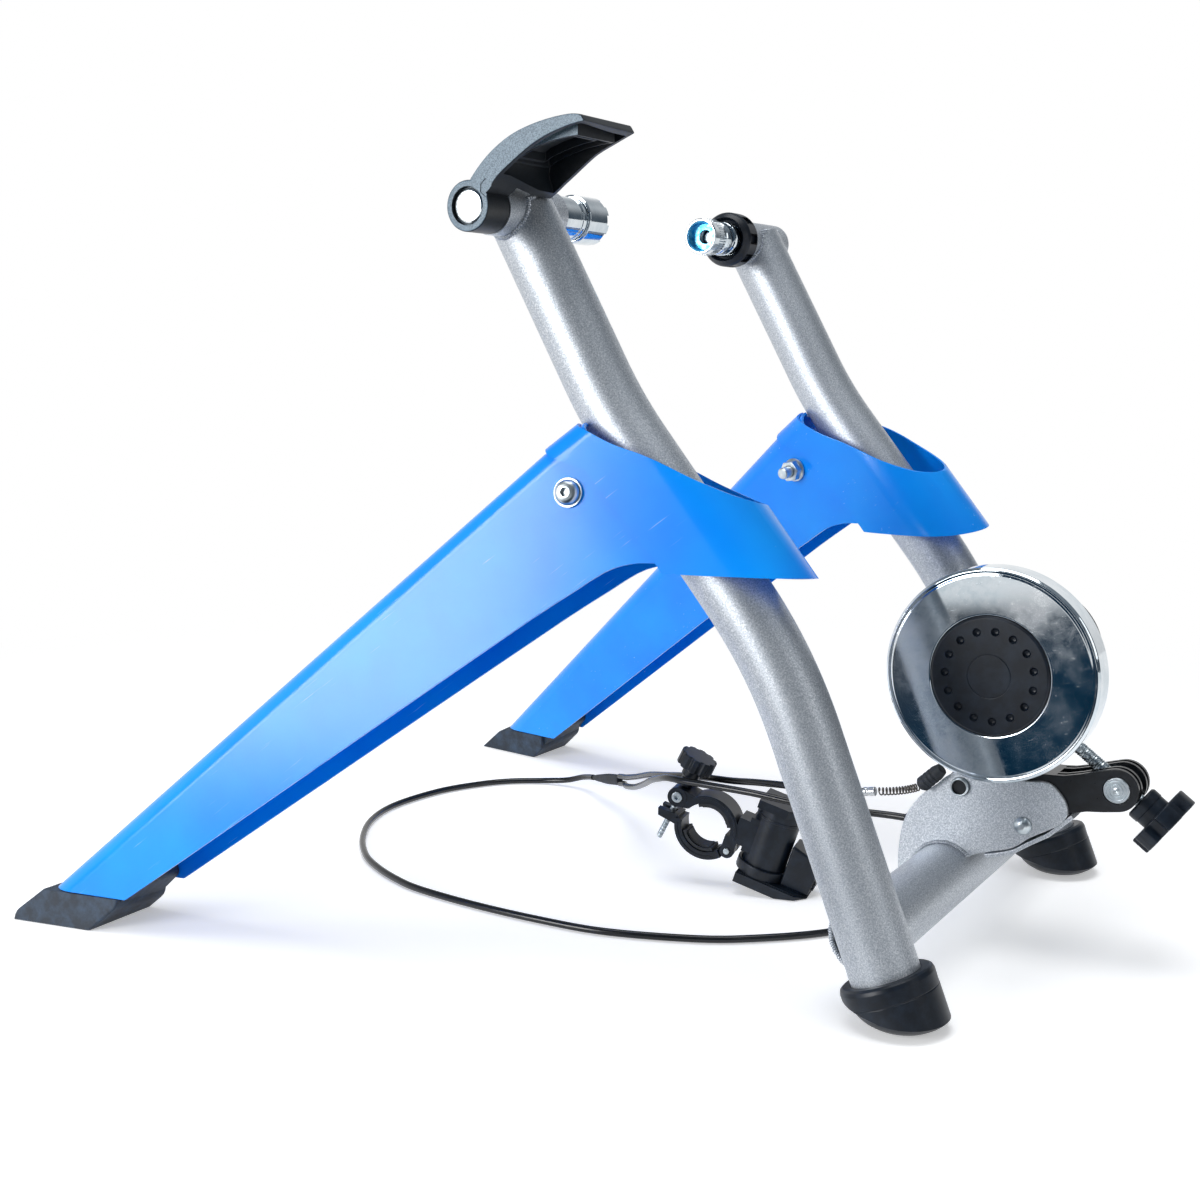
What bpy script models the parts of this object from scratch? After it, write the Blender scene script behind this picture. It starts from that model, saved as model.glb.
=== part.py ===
"""A folding bike trainer: two bent side tubes, folding front legs, an axle clamp and a magnetic brake.

The wheel's axle lies along Y at x = AXLE_X. The wheel stands towards -X, the flywheel is at +X.
The clamp lever is on the left (-Y). The floor is z = 0 and every length is in metres.
"""
import math

import bmesh
import bpy
from mathutils import Matrix, Vector

# Clearances between pieces
GAP = 0.0003
RUNNING_GAP = 0.0005

# Place of the axle over the footprint
AXLE_X = -0.02366
AXLE_HEIGHT = 0.424

# Side tubes: three straight runs joined by two bends, angles from the vertical
TUBE_RADIUS = 0.019
TUBE_WALL = 0.0015
TUBE_Y = 0.149
UPPER_ANGLE = math.radians(28.8)
MIDDLE_ANGLE = math.radians(38.7)
LOWER_ANGLE = math.radians(21.3)
UPPER_RUN = 0.1242
MIDDLE_RUN = 0.1647
BEND_RADIUS = 0.265

# Cross tube and the rear caps
CROSS_HEIGHT = 0.0380
CROSS_FORWARD = 0.0122
CROSS_END_INSET = 0.012
CAP_RADIUS = 0.0258
CAP_TOP = 0.0275
CAP_SOLE = ((0.0, 0.0), (0.011, 0.0), (0.0222, 0.0047), (0.0268, 0.0100), (0.040, 0.0150), (0.040, 0.060),
            (0.0, 0.060))
CAP_FLOOR_THICKNESS = 0.011

# Leg fold: the fold axis is square to the tube's middle run and toed in by TOE_ANGLE
TOE_ANGLE = math.radians(12.73)
COLLAR_RUN = 0.0773
BOLT_U = 0.0385
BOLT_V = 0.0485
BOLT_RADIUS = 0.004
BOLT_HEAD_RADIUS = 0.007
WASHER_RADIUS = 0.0082
WASHER_THICKNESS = 0.0013

# Leg channel, in the leg's own frame: u forward along the leg, v up along the tube
SHEET = 0.002
LEG_BACK_U = 0.012
LEG_CUT_HEIGHT = 0.021
LEG_HEAD_HALF_WIDTH = 0.0277
LEG_FOOT_HALF_WIDTH = 0.0238
LEG_CORNER_RADIUS = 0.012
LEG_TOP = 0.077
LEG_LENGTH = 0.455
LEG_FOOT_TOP = 0.0545
LEG_UNDERSIDE = ((0.012, -0.014), (0.019, -0.0115), (0.030, -0.0040), (0.044, 0.0015), (0.066, 0.0035),
                 (0.0967, 0.0057), (0.3708, 0.0171), (0.490, 0.0221))

# Collar round the side tube
COLLAR_WALL = 0.0014
COLLAR_REAR = 0.041
COLLAR_STRAIGHT = 0.008
COLLAR_FRONT = 0.0375
COLLAR_SIDE = ((0.0375, 0.092), (0.016, 0.092), (0.0150, 0.077), (0.0115, 0.070), (0.0037, 0.055),
               (-0.0067, 0.040), (-0.0127, 0.030), (-0.0204, 0.0155), (-0.026, 0.0060),
               (-0.036, -0.0095), (-0.048, -0.0240), (-0.048, -0.0680), (-0.030, -0.0560),
               (-0.010, -0.0410), (0.012, -0.0240), (0.020, -0.0175),
               (0.020, -0.011), (0.024, 0.053), (0.032, 0.064), (0.0375, 0.0745))

# Front foot: u is measured from where the leg's base line meets the floor
SHOE_HALF_WIDTH = 0.0248
SHOE_SIDE = ((0.0357, 0.0558), (0.0690, 0.0558), (0.0767, 0.0480), (0.0522, 0.0173), (0.0272, 0.0170),
             (0.0022, 0.0182), (-0.0078, 0.0300))
PLUG_SIDE = ((0.0522, 0.0506), (-0.0058, 0.0537), (-0.0208, 0.0400), (-0.0168, 0.0225), (0.0072, 0.0195),
             (0.0522, 0.0195))
PLUG_CLEARANCE = 0.0006

# Axle clamp
HOUSING_RADIUS = 0.014
HOUSING_BORE = 0.0127
LEFT_HOUSING = (-0.179, -0.121)
RIGHT_HOUSING = (0.121, 0.179)
PISTON_RADIUS = 0.0124
PISTON_BACK = -0.150
CUP_BACK = -0.0975
CUP_FRONT = -0.0780
CUP_RADIUS = 0.014
CUP_HOLLOW_RADIUS = 0.0105
CUP_TOOTH = 0.002
CUP_TEETH = 8
CONE_FACE = 0.0667
CONE_RADIUS = 0.0116
CONE_HOLLOW_RADIUS = 0.009
CONE_HOLLOW_DEPTH = 0.008
CONE_HOLE = 0.0045
CORE = (0.080, 0.162)
CORE_HEAD_RADIUS = 0.009
KNURL = (0.092, 0.100)
KNURL_RADIUS = 0.0122
THREAD_RADIUS = 0.0104
THREAD_END = 0.150
LOCK_RING = (0.1013, 0.1207)
LOCK_RING_RADIUS = 0.0184
LOCK_POCKETS = 8

# Clamp lever
LEVER_OUTER = -0.200
LEVER_EYE_INNER = -0.1793
LEVER_BLADE_INNER = -0.148
LEVER_EYE_RADIUS = 0.0135
LEVER_SHAFT_RADIUS = 0.007
LEVER_DISC_RADIUS = 0.0092
LEVER_SKIN = 0.0032
LEVER_HEEL_CLEARANCE = 0.0205
LEVER_OUTLINE = ((0.0016, 0.0136), (0.0066, 0.0193), (0.0128, 0.0252), (0.0207, 0.0309), (0.0294, 0.0355),
                 (0.0396, 0.0389), (0.0488, 0.0410), (0.0580, 0.0423), (0.0649, 0.0427), (0.0702, 0.0421))
LEVER_NEAR_EDGE = ((0.0729, 0.0385), (0.0652, 0.0374), (0.0570, 0.0353), (0.0487, 0.0325), (0.0403, 0.0286),
                   (0.0318, 0.0233), (0.0232, 0.0173), (0.0180, 0.0131), (0.0131, 0.0071), (0.0060, 0.0040))
LEVER_FAR_EDGE = ((0.0727, 0.0381), (0.0610, 0.0331), (0.0499, 0.0281), (0.0430, 0.0235), (0.0356, 0.0181),
                  (0.0290, 0.0134), (0.0241, 0.0097), (0.0180, 0.0060), (0.0120, 0.0050), (0.0060, 0.0050))

# Bracket on the cross tube: two plates and a web
BRACKET_MID_Y = 0.006
BRACKET_INNER_HALF = 0.0143
PLATE_THICKNESS = 0.0027
WEB_THICKNESS = 0.0025
PLATE_OUTLINE = ((0.1801, 0.0300), (0.1800, 0.0501), (0.1826, 0.0666), (0.1857, 0.0741), (0.1901, 0.0808),
                 (0.1940, 0.0855), (0.1986, 0.0894), (0.2030, 0.0930), (0.2075, 0.0975), (0.2120, 0.1005),
                 (0.2170, 0.1017), (0.2350, 0.1018), (0.2572, 0.1020),
                 (0.2679, 0.1027), (0.2720, 0.1010), (0.2752, 0.0979), (0.2782, 0.0944), (0.2801, 0.0903),
                 (0.2806, 0.0868), (0.2803, 0.0844), (0.2770, 0.0795), (0.2700, 0.0746), (0.2590, 0.0680),
                 (0.2500, 0.0610), (0.2341, 0.0556), (0.2250, 0.0520), (0.2150, 0.0400), (0.2000, 0.0300))
WEB_PATH = ((0.2330, 0.0530), (0.2500, 0.0580), (0.2590, 0.0645), (0.2700, 0.0715), (0.2832, 0.0843))
PIN_PLACE = (0.2173, 0.0934)
PIN_RADIUS = 0.0055
PIN_BORE = 0.0044
PIN_HEAD = 0.003
SCREW_PLACE = (0.2553, 0.0752)
SCREW_RADIUS = 0.004
SCREW_HEAD_RADIUS = 0.0053

# Black arm with four ears, which holds the cross dowel
DOWEL_PLACE = (0.3066, 0.1027)
DOWEL_RADIUS = 0.0075
EAR_RADIUS = 0.0124
EAR_SLOTS = ((-0.0110, -0.0075), (-0.005, 0.005), (0.0075, 0.0110))
EAR_SLOT_START = 0.272
ARM_OUTLINE = ((0.2340, 0.0745), (0.2480, 0.0655), (0.2600, 0.0693), (0.2700, 0.0765), (0.2812, 0.0855))
ARM_TOP = ((0.2774, 0.1074), (0.2600, 0.1060), (0.2400, 0.0985), (0.2325, 0.0900))

# Tension screw: its rod runs through the dowel, 0.8 back for 0.6 down
ROD_SLOPE = math.atan2(0.6, 0.8)
ROD_RADIUS = 0.004
ROD_TIP = -0.046
ROD_TIP_LENGTH = 0.006
ROD_SEAT = 0.012
HUB_START = 0.0129
KNOB_START = 0.0245
KNOB_END = 0.0350
KNOB_RADIUS = 0.0199
KNOB_GROOVE = 0.0055
KNOB_LOBES = 6
HUB_RADIUS = 0.0103

# Resistance unit, in a frame at the pivot pin whose Z runs through the roller's axis
UNIT_REACH = 0.0794
UNIT_ANGLE = math.radians(18.9)
FRAME_HALF_WIDTH = 0.024
FRAME_PLATE = 0.003
FRAME_BASE = (0.050, 0.054)
FRAME_BASE_SPAN = (-0.020, 0.030)
NECK_HALF_WIDTH = 0.010
NECK_HALF_DEPTH = 0.006
LUG_WIDTH = 0.014
LUG_THICKNESS = 0.005
LUG_HALF_HEIGHT = 0.008
HUB_OUTER = 0.0095
ROLLER_RADIUS = 0.018
ROLLER_HALF = 0.0175
SHAFT_RADIUS = 0.005
BEARING_RADIUS = 0.011
FLYWHEEL = (-0.046, -0.026)
FLYWHEEL_RADIUS = 0.0611
FLYWHEEL_CHAMFER = 0.0015
CAP_RECESS = 0.0025
CAP_PROUD = 0.0008
CAP_DISC_RADIUS = 0.034
DIMPLES = 15
DIMPLE_DEPTH = 0.0012
DIMPLE_RADIUS = 0.00235
DIMPLE_CIRCLE = 0.0255
MAGNET_HOUSING = (0.0243, 0.052)
MAGNET_HOUSING_RADIUS = 0.040
MAGNET_HOUSING_WALL = 0.0025
CARRIER = (0.0300, 0.0345)
MAGNET_HEIGHT = 0.003
MAGNET_CIRCLE = 0.0245
MAGNET_RADIUS = 0.006
MAGNETS = 8
BRAKE_DISC = (0.0390, 0.0430)
BRAKE_DISC_RADIUS = 0.0335

# Remote shifter, in a frame at the clamp's centre: p along, q up, turned and tipped as it lies
SHIFTER_PLACE = Vector((0.0444, 0.0023, 0.0400))
SHIFTER_YAW = math.radians(12)
SHIFTER_TIP = math.radians(18)
JAW_OUTER = 0.0215
JAW_INNER = 0.0165
JAW_HALF_WIDTH = 0.009
PAD_INNER = 0.0130
JAW_HINGE = (0.0178, -0.0092)
SWING_PIN = (-0.0245, 0.012)
THUMB_TILT = math.atan2(0.137, 0.99)
THUMB_SCREW_RADIUS = 0.002
THUMB_KNOB_RADIUS = 0.0125
DRUM_P = 0.042
DRUM_RADIUS = 0.0145
BASE_P = (0.029, 0.077)
BASE_Q = (-0.023, -0.0165)
BASE_CHAMFER = 0.007
TOP_PLATE_P = (0.028, 0.057)
TOP_PLATE_Q = (0.029, 0.0345)
TOP_PLATE_INSET = 0.003
TOP_PLATE_CHAMFER = 0.009
BODY_HALF_DEPTH = 0.018

# Cable: a ferrule, a spring and a boot on one strand, a splitter, and one housing to the shifter
CABLE_RADIUS = 0.00225
FERRULE_RADIUS = 0.0028
FERRULE_START = Vector((0.1588, -0.016, 0.0830))
FERRULE_END = Vector((0.1665, -0.016, 0.0843))
SPRING_MEAN_RADIUS = 0.00215
SPRING_WIRE_RADIUS = 0.00045
SPRING_TURNS = 13
BOOT_START = Vector((0.1945, -0.0162, 0.0915))
BOOT_END = Vector((0.2075, -0.0162, 0.1040))
BOOT_RADIUS = 0.0047
LOWER_BOOT_START = Vector((0.1815, -0.0035, 0.0669))
LOWER_BOOT_END = Vector((0.1935, -0.0035, 0.0669))
SPLITTER_TIP = Vector((-0.1300, 0.1430, 0.0150))
SPLITTER_MOUTH = Vector((-0.0880, 0.1120, 0.0260))
SPLITTER_SPREAD = 0.0052

# Steps round a turned piece
SPARSE = 12
COARSE = 16
ROUND = 20
BROAD = 28
FINE = 44

UP = Vector((0.0, 0.0, 1.0))
SIDEWAYS = Vector((0.0, 1.0, 0.0))


def clear_scene():
    for old in list(bpy.data.objects):
        bpy.data.objects.remove(old, do_unlink=True)


def new_collection(name):
    group = bpy.data.collections.new(name)
    bpy.context.scene.collection.children.link(group)
    return group


clear_scene()
PARTS = new_collection("bike_trainer")
CUTTERS = new_collection("cutters")


# Finishes: colour in sRGB, roughness, metallic
FINISHES = {
    "silver_powder_coat": ((0.79, 0.80, 0.82), 0.40, 0.75),
    "blue_enamel": ((0.00, 0.53, 0.96), 0.30, 0.0),
    "chrome": ((0.86, 0.87, 0.88), 0.10, 1.0),
    "zinc": ((0.74, 0.77, 0.79), 0.30, 1.0),
    "black_plastic": ((0.06, 0.065, 0.075), 0.45, 0.0),
    "black_paint": ((0.07, 0.072, 0.08), 0.35, 0.0),
    "black_rubber": ((0.09, 0.10, 0.12), 0.70, 0.0),
    "grey_plastic": ((0.14, 0.17, 0.20), 0.55, 0.0),
    "aluminium": ((0.80, 0.81, 0.82), 0.35, 1.0),
}


def linear(value):
    if value <= 0.04045:
        return value / 12.92
    return ((value + 0.055) / 1.055) ** 2.4


def finish(piece, name):
    colour, roughness, metallic = FINISHES[name]
    material = bpy.data.materials.new(piece.name + "_" + name)
    material.use_nodes = True
    shader = material.node_tree.nodes["Principled BSDF"]
    shader.inputs["Base Color"].default_value = [linear(c) for c in colour] + [1.0]
    shader.inputs["Roughness"].default_value = roughness
    shader.inputs["Metallic"].default_value = metallic
    piece.data.materials.clear()
    piece.data.materials.append(material)
    return piece


def empty(name, matrix, parent=None):
    guide = bpy.data.objects.new(name, None)
    guide.empty_display_size = 0.02
    PARTS.objects.link(guide)
    guide.parent = parent
    guide.matrix_local = matrix
    return guide


def place(name, data, parent, matrix):
    piece = bpy.data.objects.new(name, data)
    PARTS.objects.link(piece)
    piece.parent = parent
    piece.matrix_local = matrix
    return piece


def axes(origin, x_axis, y_axis, z_axis):
    matrix = Matrix.Identity(4)
    for column, axis in enumerate((x_axis, y_axis, z_axis)):
        matrix.col[column].xyz = axis
    matrix.translation = origin
    return matrix


def along(start, direction):
    """A frame at start whose Z runs along direction."""
    z_axis = Vector(direction).normalized()
    x_axis = SIDEWAYS.cross(z_axis)
    if x_axis.length < 0.01:
        x_axis = Vector((1.0, 0.0, 0.0))
    x_axis.normalize()
    return axes(start, x_axis, z_axis.cross(x_axis), z_axis)


def side_view(y_value):
    """A frame for outlines drawn in x and z, whose thickness runs along Y."""
    return axes(Vector((0.0, y_value, 0.0)), Vector((1, 0, 0)), Vector((0, 0, 1)), Vector((0, -1, 0)))


def shade(mesh):
    mesh.shade_smooth()
    mesh.set_sharp_from_angle(angle=math.radians(30))


def curve_to_mesh(piece):
    """Turn a curve object into a welded mesh object with the same name and place."""
    bpy.context.view_layer.update()
    graph = bpy.context.evaluated_depsgraph_get()
    mesh = bpy.data.meshes.new_from_object(piece.evaluated_get(graph))
    work = bmesh.new()
    work.from_mesh(mesh)
    bmesh.ops.remove_doubles(work, verts=work.verts, dist=1e-6)
    work.to_mesh(mesh)
    work.free()
    shade(mesh)
    name, parent, matrix = piece.name, piece.parent, piece.matrix_local.copy()
    bpy.data.objects.remove(piece, do_unlink=True)
    return place(name, mesh, parent, matrix)


def tube(name, points, radius, parent, sides=8, caps=True, matrix=None):
    curve = bpy.data.curves.new(name, "CURVE")
    curve.dimensions = "3D"
    curve.bevel_depth = radius
    curve.bevel_resolution = (sides - 4) // 2
    curve.use_fill_caps = caps
    spline = curve.splines.new("POLY")
    spline.points.add(len(points) - 1)
    for spline_point, point in zip(spline.points, points):
        spline_point.co = (*point, 1.0)
    return place(name, curve, parent, matrix or Matrix.Identity(4))


def flat(name, outlines, thickness, parent, matrix):
    """An outline, with any holes after it, given a thickness about its own plane."""
    curve = bpy.data.curves.new(name, "CURVE")
    curve.dimensions = "2D"
    curve.fill_mode = "BOTH"
    curve.extrude = thickness / 2
    for outline in outlines:
        spline = curve.splines.new("POLY")
        spline.use_cyclic_u = True
        spline.points.add(len(outline) - 1)
        for spline_point, point in zip(spline.points, outline):
            spline_point.co = (point[0], point[1], 0.0, 1.0)
    return curve_to_mesh(place(name, curve, parent, matrix))


def plate(name, outline, low_y, high_y, parent, holes=()):
    """A flat piece drawn in x and z, from low_y to high_y."""
    middle = (low_y + high_y) / 2
    return flat(name, [outline, *holes], high_y - low_y, parent, side_view(middle))


def loop_area(profile):
    total = 0.0
    for (r0, s0), (r1, s1) in zip(profile, profile[1:] + profile[:1]):
        total += r0 * s1 - r1 * s0
    return total / 2


def turned(name, profile, parent, matrix, steps=ROUND):
    """A profile of radius and height turned about its frame's Z, closed by itself or on the axis."""
    profile = list(profile)
    if loop_area(profile) > 0:
        profile.reverse()
    open_at = [i for i, (r, _) in enumerate(profile) if r == 0.0]
    if open_at:
        turn = next(i for i in open_at if profile[i - 1][0] == 0.0)
        profile = profile[turn:] + profile[:turn]
    count = len(profile)
    edges = [(i, i + 1) for i in range(count - 1)]
    if not open_at:
        edges.append((count - 1, 0))
    mesh = bpy.data.meshes.new(name)
    mesh.from_pydata([(r, 0.0, s) for r, s in profile], edges, [])
    piece = place(name, mesh, parent, matrix)
    screw = piece.modifiers.new("turn", "SCREW")
    screw.axis = "Z"
    screw.angle = math.tau
    screw.steps = steps
    screw.render_steps = steps
    screw.use_merge_vertices = True
    screw.merge_threshold = 0.00001
    screw.use_smooth_shade = False
    return piece


def rod(name, radius, start, end, parent, bore=0.0, steps=ROUND, base=Matrix()):
    """A round bar, or a tube where it has a bore, between two points of the base frame."""
    start, end = Vector(start), Vector(end)
    length = (end - start).length
    profile = [(bore, 0.0), (radius, 0.0), (radius, length), (bore, length)]
    return turned(name, profile, parent, base @ along(start, end - start), steps)


def block(name, low, high, parent, matrix=None):
    low, high = Vector(low), Vector(high)
    mesh = bpy.data.meshes.new(name)
    work = bmesh.new()
    scale = Matrix.Diagonal((*(high - low), 1.0))
    bmesh.ops.create_cube(work, size=1.0, matrix=Matrix.Translation((low + high) / 2) @ scale)
    work.to_mesh(mesh)
    work.free()
    return place(name, mesh, parent, matrix or Matrix.Identity(4))


def combine(piece, other, operation):
    """Boolean another shape into a piece. The other shape becomes a hidden cutter."""
    other.hide_render = True
    other.display_type = "WIRE"
    for group in list(other.users_collection):
        group.objects.unlink(other)
    CUTTERS.objects.link(other)
    change = piece.modifiers.new(other.name, "BOOLEAN")
    change.operation = operation
    change.solver = "EXACT"
    change.object = other
    return piece


def cut(piece, *others):
    for other in others:
        combine(piece, other, "DIFFERENCE")
    return piece


def fuse(piece, *others):
    for other in others:
        combine(piece, other, "UNION")
    return piece


def keep(piece, *others):
    for other in others:
        combine(piece, other, "INTERSECT")
    return piece


def arc(centre, radius, start, end, steps):
    """Points on an arc from one angle to another, in degrees."""
    points = []
    for i in range(steps + 1):
        angle = math.radians(start + (end - start) * i / steps)
        points.append((centre[0] + radius * math.cos(angle), centre[1] + radius * math.sin(angle)))
    return points


def circle(centre, radius, steps=SPARSE):
    return arc(centre, radius, 0.0, 360.0 * (steps - 1) / steps, steps - 1)


def hexagon(centre, radius):
    return circle(centre, radius, 6)


def lobed(radius, depth, lobes):
    """A knob's outline: square lobes with grooves between them, one lobe centred on X."""
    low = radius - depth
    corners = ((-0.27, radius), (-0.09, radius), (0.09, radius), (0.27, radius), (0.34, low), (0.50, low),
               (0.66, low))
    points = []
    for i in range(lobes):
        for share, reach in corners:
            angle = math.tau * (i + share) / lobes
            points.append((reach * math.cos(angle), reach * math.sin(angle)))
    return points


def smooth_path(route, spacing):
    """Points at even spacing on a smooth curve through a route's own points."""
    route = [Vector(p) for p in route]
    padded = [2 * route[0] - route[1], *route, 2 * route[-1] - route[-2]]
    fine = []
    for i in range(len(route) - 1):
        p0, p1, p2, p3 = padded[i:i + 4]
        for k in range(24):
            t = k / 24
            fine.append(0.5 * (2 * p1 + (p2 - p0) * t + (2 * p0 - 5 * p1 + 4 * p2 - p3) * t * t
                               + (3 * p1 - p0 - 3 * p2 + p3) * t ** 3))
    fine.append(route[-1])
    lengths = [0.0]
    for a, b in zip(fine, fine[1:]):
        lengths.append(lengths[-1] + (b - a).length)
    count = max(2, round(lengths[-1] / spacing))
    points, k = [], 0
    for i in range(count + 1):
        target = lengths[-1] * i / count
        while k < len(fine) - 2 and lengths[k + 1] < target:
            k += 1
        span = lengths[k + 1] - lengths[k]
        points.append(fine[k].lerp(fine[k + 1], (target - lengths[k]) / span))
    return points


# Frames of the whole part
ROOT = empty("bike_trainer_origin", Matrix.Translation((AXLE_X, 0.0, 0.0)))


def down(angle):
    """The direction down a tube that leans by angle from the vertical."""
    return Vector((math.sin(angle), 0.0, -math.cos(angle)))


TUBE_TOP = Vector((0.0, 0.0, AXLE_HEIGHT))
UPPER_CORNER = TUBE_TOP + UPPER_RUN * down(UPPER_ANGLE)
LOWER_CORNER = UPPER_CORNER + MIDDLE_RUN * down(MIDDLE_ANGLE)
FLOOR_POINT = LOWER_CORNER + down(LOWER_ANGLE) * (LOWER_CORNER.z / math.cos(LOWER_ANGLE))
TUBE_FOOT = FLOOR_POINT - down(LOWER_ANGLE) * (CAP_FLOOR_THICKNESS + GAP)


def bend(corner, before, after, steps):
    """Points on the bend that rounds a corner between two directions."""
    turn = before.angle(after)
    reach = BEND_RADIUS * math.tan(turn / 2)
    normal = (after - before).normalized()
    centre = corner + normal * (BEND_RADIUS / math.cos(turn / 2))
    start = corner - before * reach - centre
    axis = before.cross(after).normalized()
    return [centre + Matrix.Rotation(turn * i / steps, 3, axis) @ start for i in range(steps + 1)]


def side_path():
    upper, middle, lower = down(UPPER_ANGLE), down(MIDDLE_ANGLE), down(LOWER_ANGLE)
    first = bend(UPPER_CORNER, upper, middle, 3)
    second = bend(LOWER_CORNER, middle, lower, 5)
    return [TUBE_TOP, *first, *second, TUBE_FOOT]


def tube_centre_x(height):
    """Where the side tube's lower run stands at a height."""
    return FLOOR_POINT.x - height * math.tan(LOWER_ANGLE)


def at_side(points, side):
    return [Vector((p.x, side * TUBE_Y, p.z)) for p in points]


def tube_envelope(name, side):
    """The side tube's outside with its clearance, for cutting what meets it."""
    return curve_to_mesh(tube(name, at_side(side_path(), side), TUBE_RADIUS + GAP, ROOT, sides=16))


def side_tube(name, side):
    piece = curve_to_mesh(tube(name, at_side(side_path(), side), TUBE_RADIUS, ROOT, sides=16, caps=False))
    wall = piece.modifiers.new("wall", "SOLIDIFY")
    wall.thickness = TUBE_WALL
    wall.offset = -1.0
    wall.use_even_offset = True
    housing = rod(name + "_cope", HOUSING_RADIUS + GAP, (0, side * 0.110, AXLE_HEIGHT),
                  (0, side * 0.190, AXLE_HEIGHT), ROOT)
    cut(piece, housing)
    fuse(piece, *pivot_tab(name + "_tab", side))
    drill = rod(name + "_drill", BOLT_RADIUS + GAP, *across_leg(side, -0.04, 0.04), ROOT, steps=SPARSE)
    cut(piece, drill)
    return finish(piece, "silver_powder_coat")


def cross_tube():
    x = tube_centre_x(CROSS_HEIGHT) - CROSS_FORWARD
    reach = TUBE_Y - CROSS_END_INSET
    piece = rod("cross_tube", TUBE_RADIUS, (x, -reach, CROSS_HEIGHT), (x, reach, CROSS_HEIGHT), ROOT,
                bore=TUBE_RADIUS - TUBE_WALL, steps=COARSE)
    cut(piece, tube_envelope("cross_cope_left", -1), tube_envelope("cross_cope_right", 1))
    return finish(piece, "silver_powder_coat")


def rear_cap(name, side):
    bore = TUBE_RADIUS + GAP
    profile = [(0.0, -0.014), (CAP_RADIUS, -0.014), (CAP_RADIUS, CAP_TOP - 0.002),
               (CAP_RADIUS - 0.002, CAP_TOP), (bore, CAP_TOP), (bore, CAP_FLOOR_THICKNESS),
               (0.0, CAP_FLOOR_THICKNESS)]
    foot = Vector((FLOOR_POINT.x, side * TUBE_Y, 0.0))
    piece = turned(name, profile, ROOT, along(foot, -down(LOWER_ANGLE)))
    sole = turned(name + "_sole", CAP_SOLE, ROOT, Matrix.Translation(foot))
    keep(piece, sole)
    cut(piece, cross_envelope(name + "_relief"))
    return finish(piece, "black_plastic")


def axle_housing(name, span, bore):
    piece = rod(name, HOUSING_RADIUS, (0, span[0], AXLE_HEIGHT), (0, span[1], AXLE_HEIGHT), ROOT, bore=bore)
    return finish(piece, "silver_powder_coat")


# Leg frames: X is u, Z is v and Y is across the leg
def leg_axes(side):
    middle = down(MIDDLE_ANGLE)
    level = Vector((math.cos(MIDDLE_ANGLE), 0.0, math.sin(MIDDLE_ANGLE)))
    outward = math.cos(TOE_ANGLE) * side * SIDEWAYS + math.sin(TOE_ANGLE) * level
    forward = side * outward.cross(middle)
    return forward, (-middle).cross(forward), -middle


def leg_origin(side):
    centre = UPPER_CORNER + COLLAR_RUN * down(MIDDLE_ANGLE)
    return Vector((centre.x, side * TUBE_Y, centre.z))


def leg_pivot(name, side):
    """The fold's empty, on the bolt's axis."""
    forward, across, up = leg_axes(side)
    bolt = leg_origin(side) + BOLT_U * forward + BOLT_V * up
    return empty(name, axes(bolt, forward, across, up), ROOT)


LEG_SHIFT = Matrix.Translation((-BOLT_U, 0.0, -BOLT_V))


def in_leg_side(across=0.0):
    """The frame for outlines drawn in u and v, under a leg's pivot."""
    return LEG_SHIFT @ side_view(across)


def in_leg_plan(v_value):
    """The frame for outlines drawn in u and across, under a leg's pivot."""
    return LEG_SHIFT @ Matrix.Translation((0.0, 0.0, v_value))


def in_leg_front(u_value):
    """The frame for outlines drawn across and in v, under a leg's pivot."""
    return LEG_SHIFT @ axes(Vector((u_value, 0, 0)), Vector((0, 1, 0)), Vector((0, 0, 1)), Vector((1, 0, 0)))


def at_u(pairs, u):
    for (u0, v0), (u1, v1) in zip(pairs, pairs[1:]):
        if u <= u1:
            return v0 + (v1 - v0) * (u - u0) / (u1 - u0)
    return pairs[-1][1]


def leg_half_width(u):
    share = (u - BOLT_U) / (LEG_LENGTH - BOLT_U)
    return LEG_HEAD_HALF_WIDTH + (LEG_FOOT_HALF_WIDTH - LEG_HEAD_HALF_WIDTH) * max(0.0, share)


def leg_top(u):
    share = (u - COLLAR_FRONT) / (LEG_LENGTH - COLLAR_FRONT)
    return LEG_TOP + (LEG_FOOT_TOP - LEG_TOP) * max(0.0, share)


def arch(half, top, bottom, radius, steps=4):
    """A section open below: up one side, over two round corners and down the other."""
    left = arc((radius - half, top - radius), radius, 180.0, 90.0, steps)
    right = arc((half - radius, top - radius), radius, 90.0, 0.0, steps)
    return [(-half, bottom), *left, *right, (half, bottom)]


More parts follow.
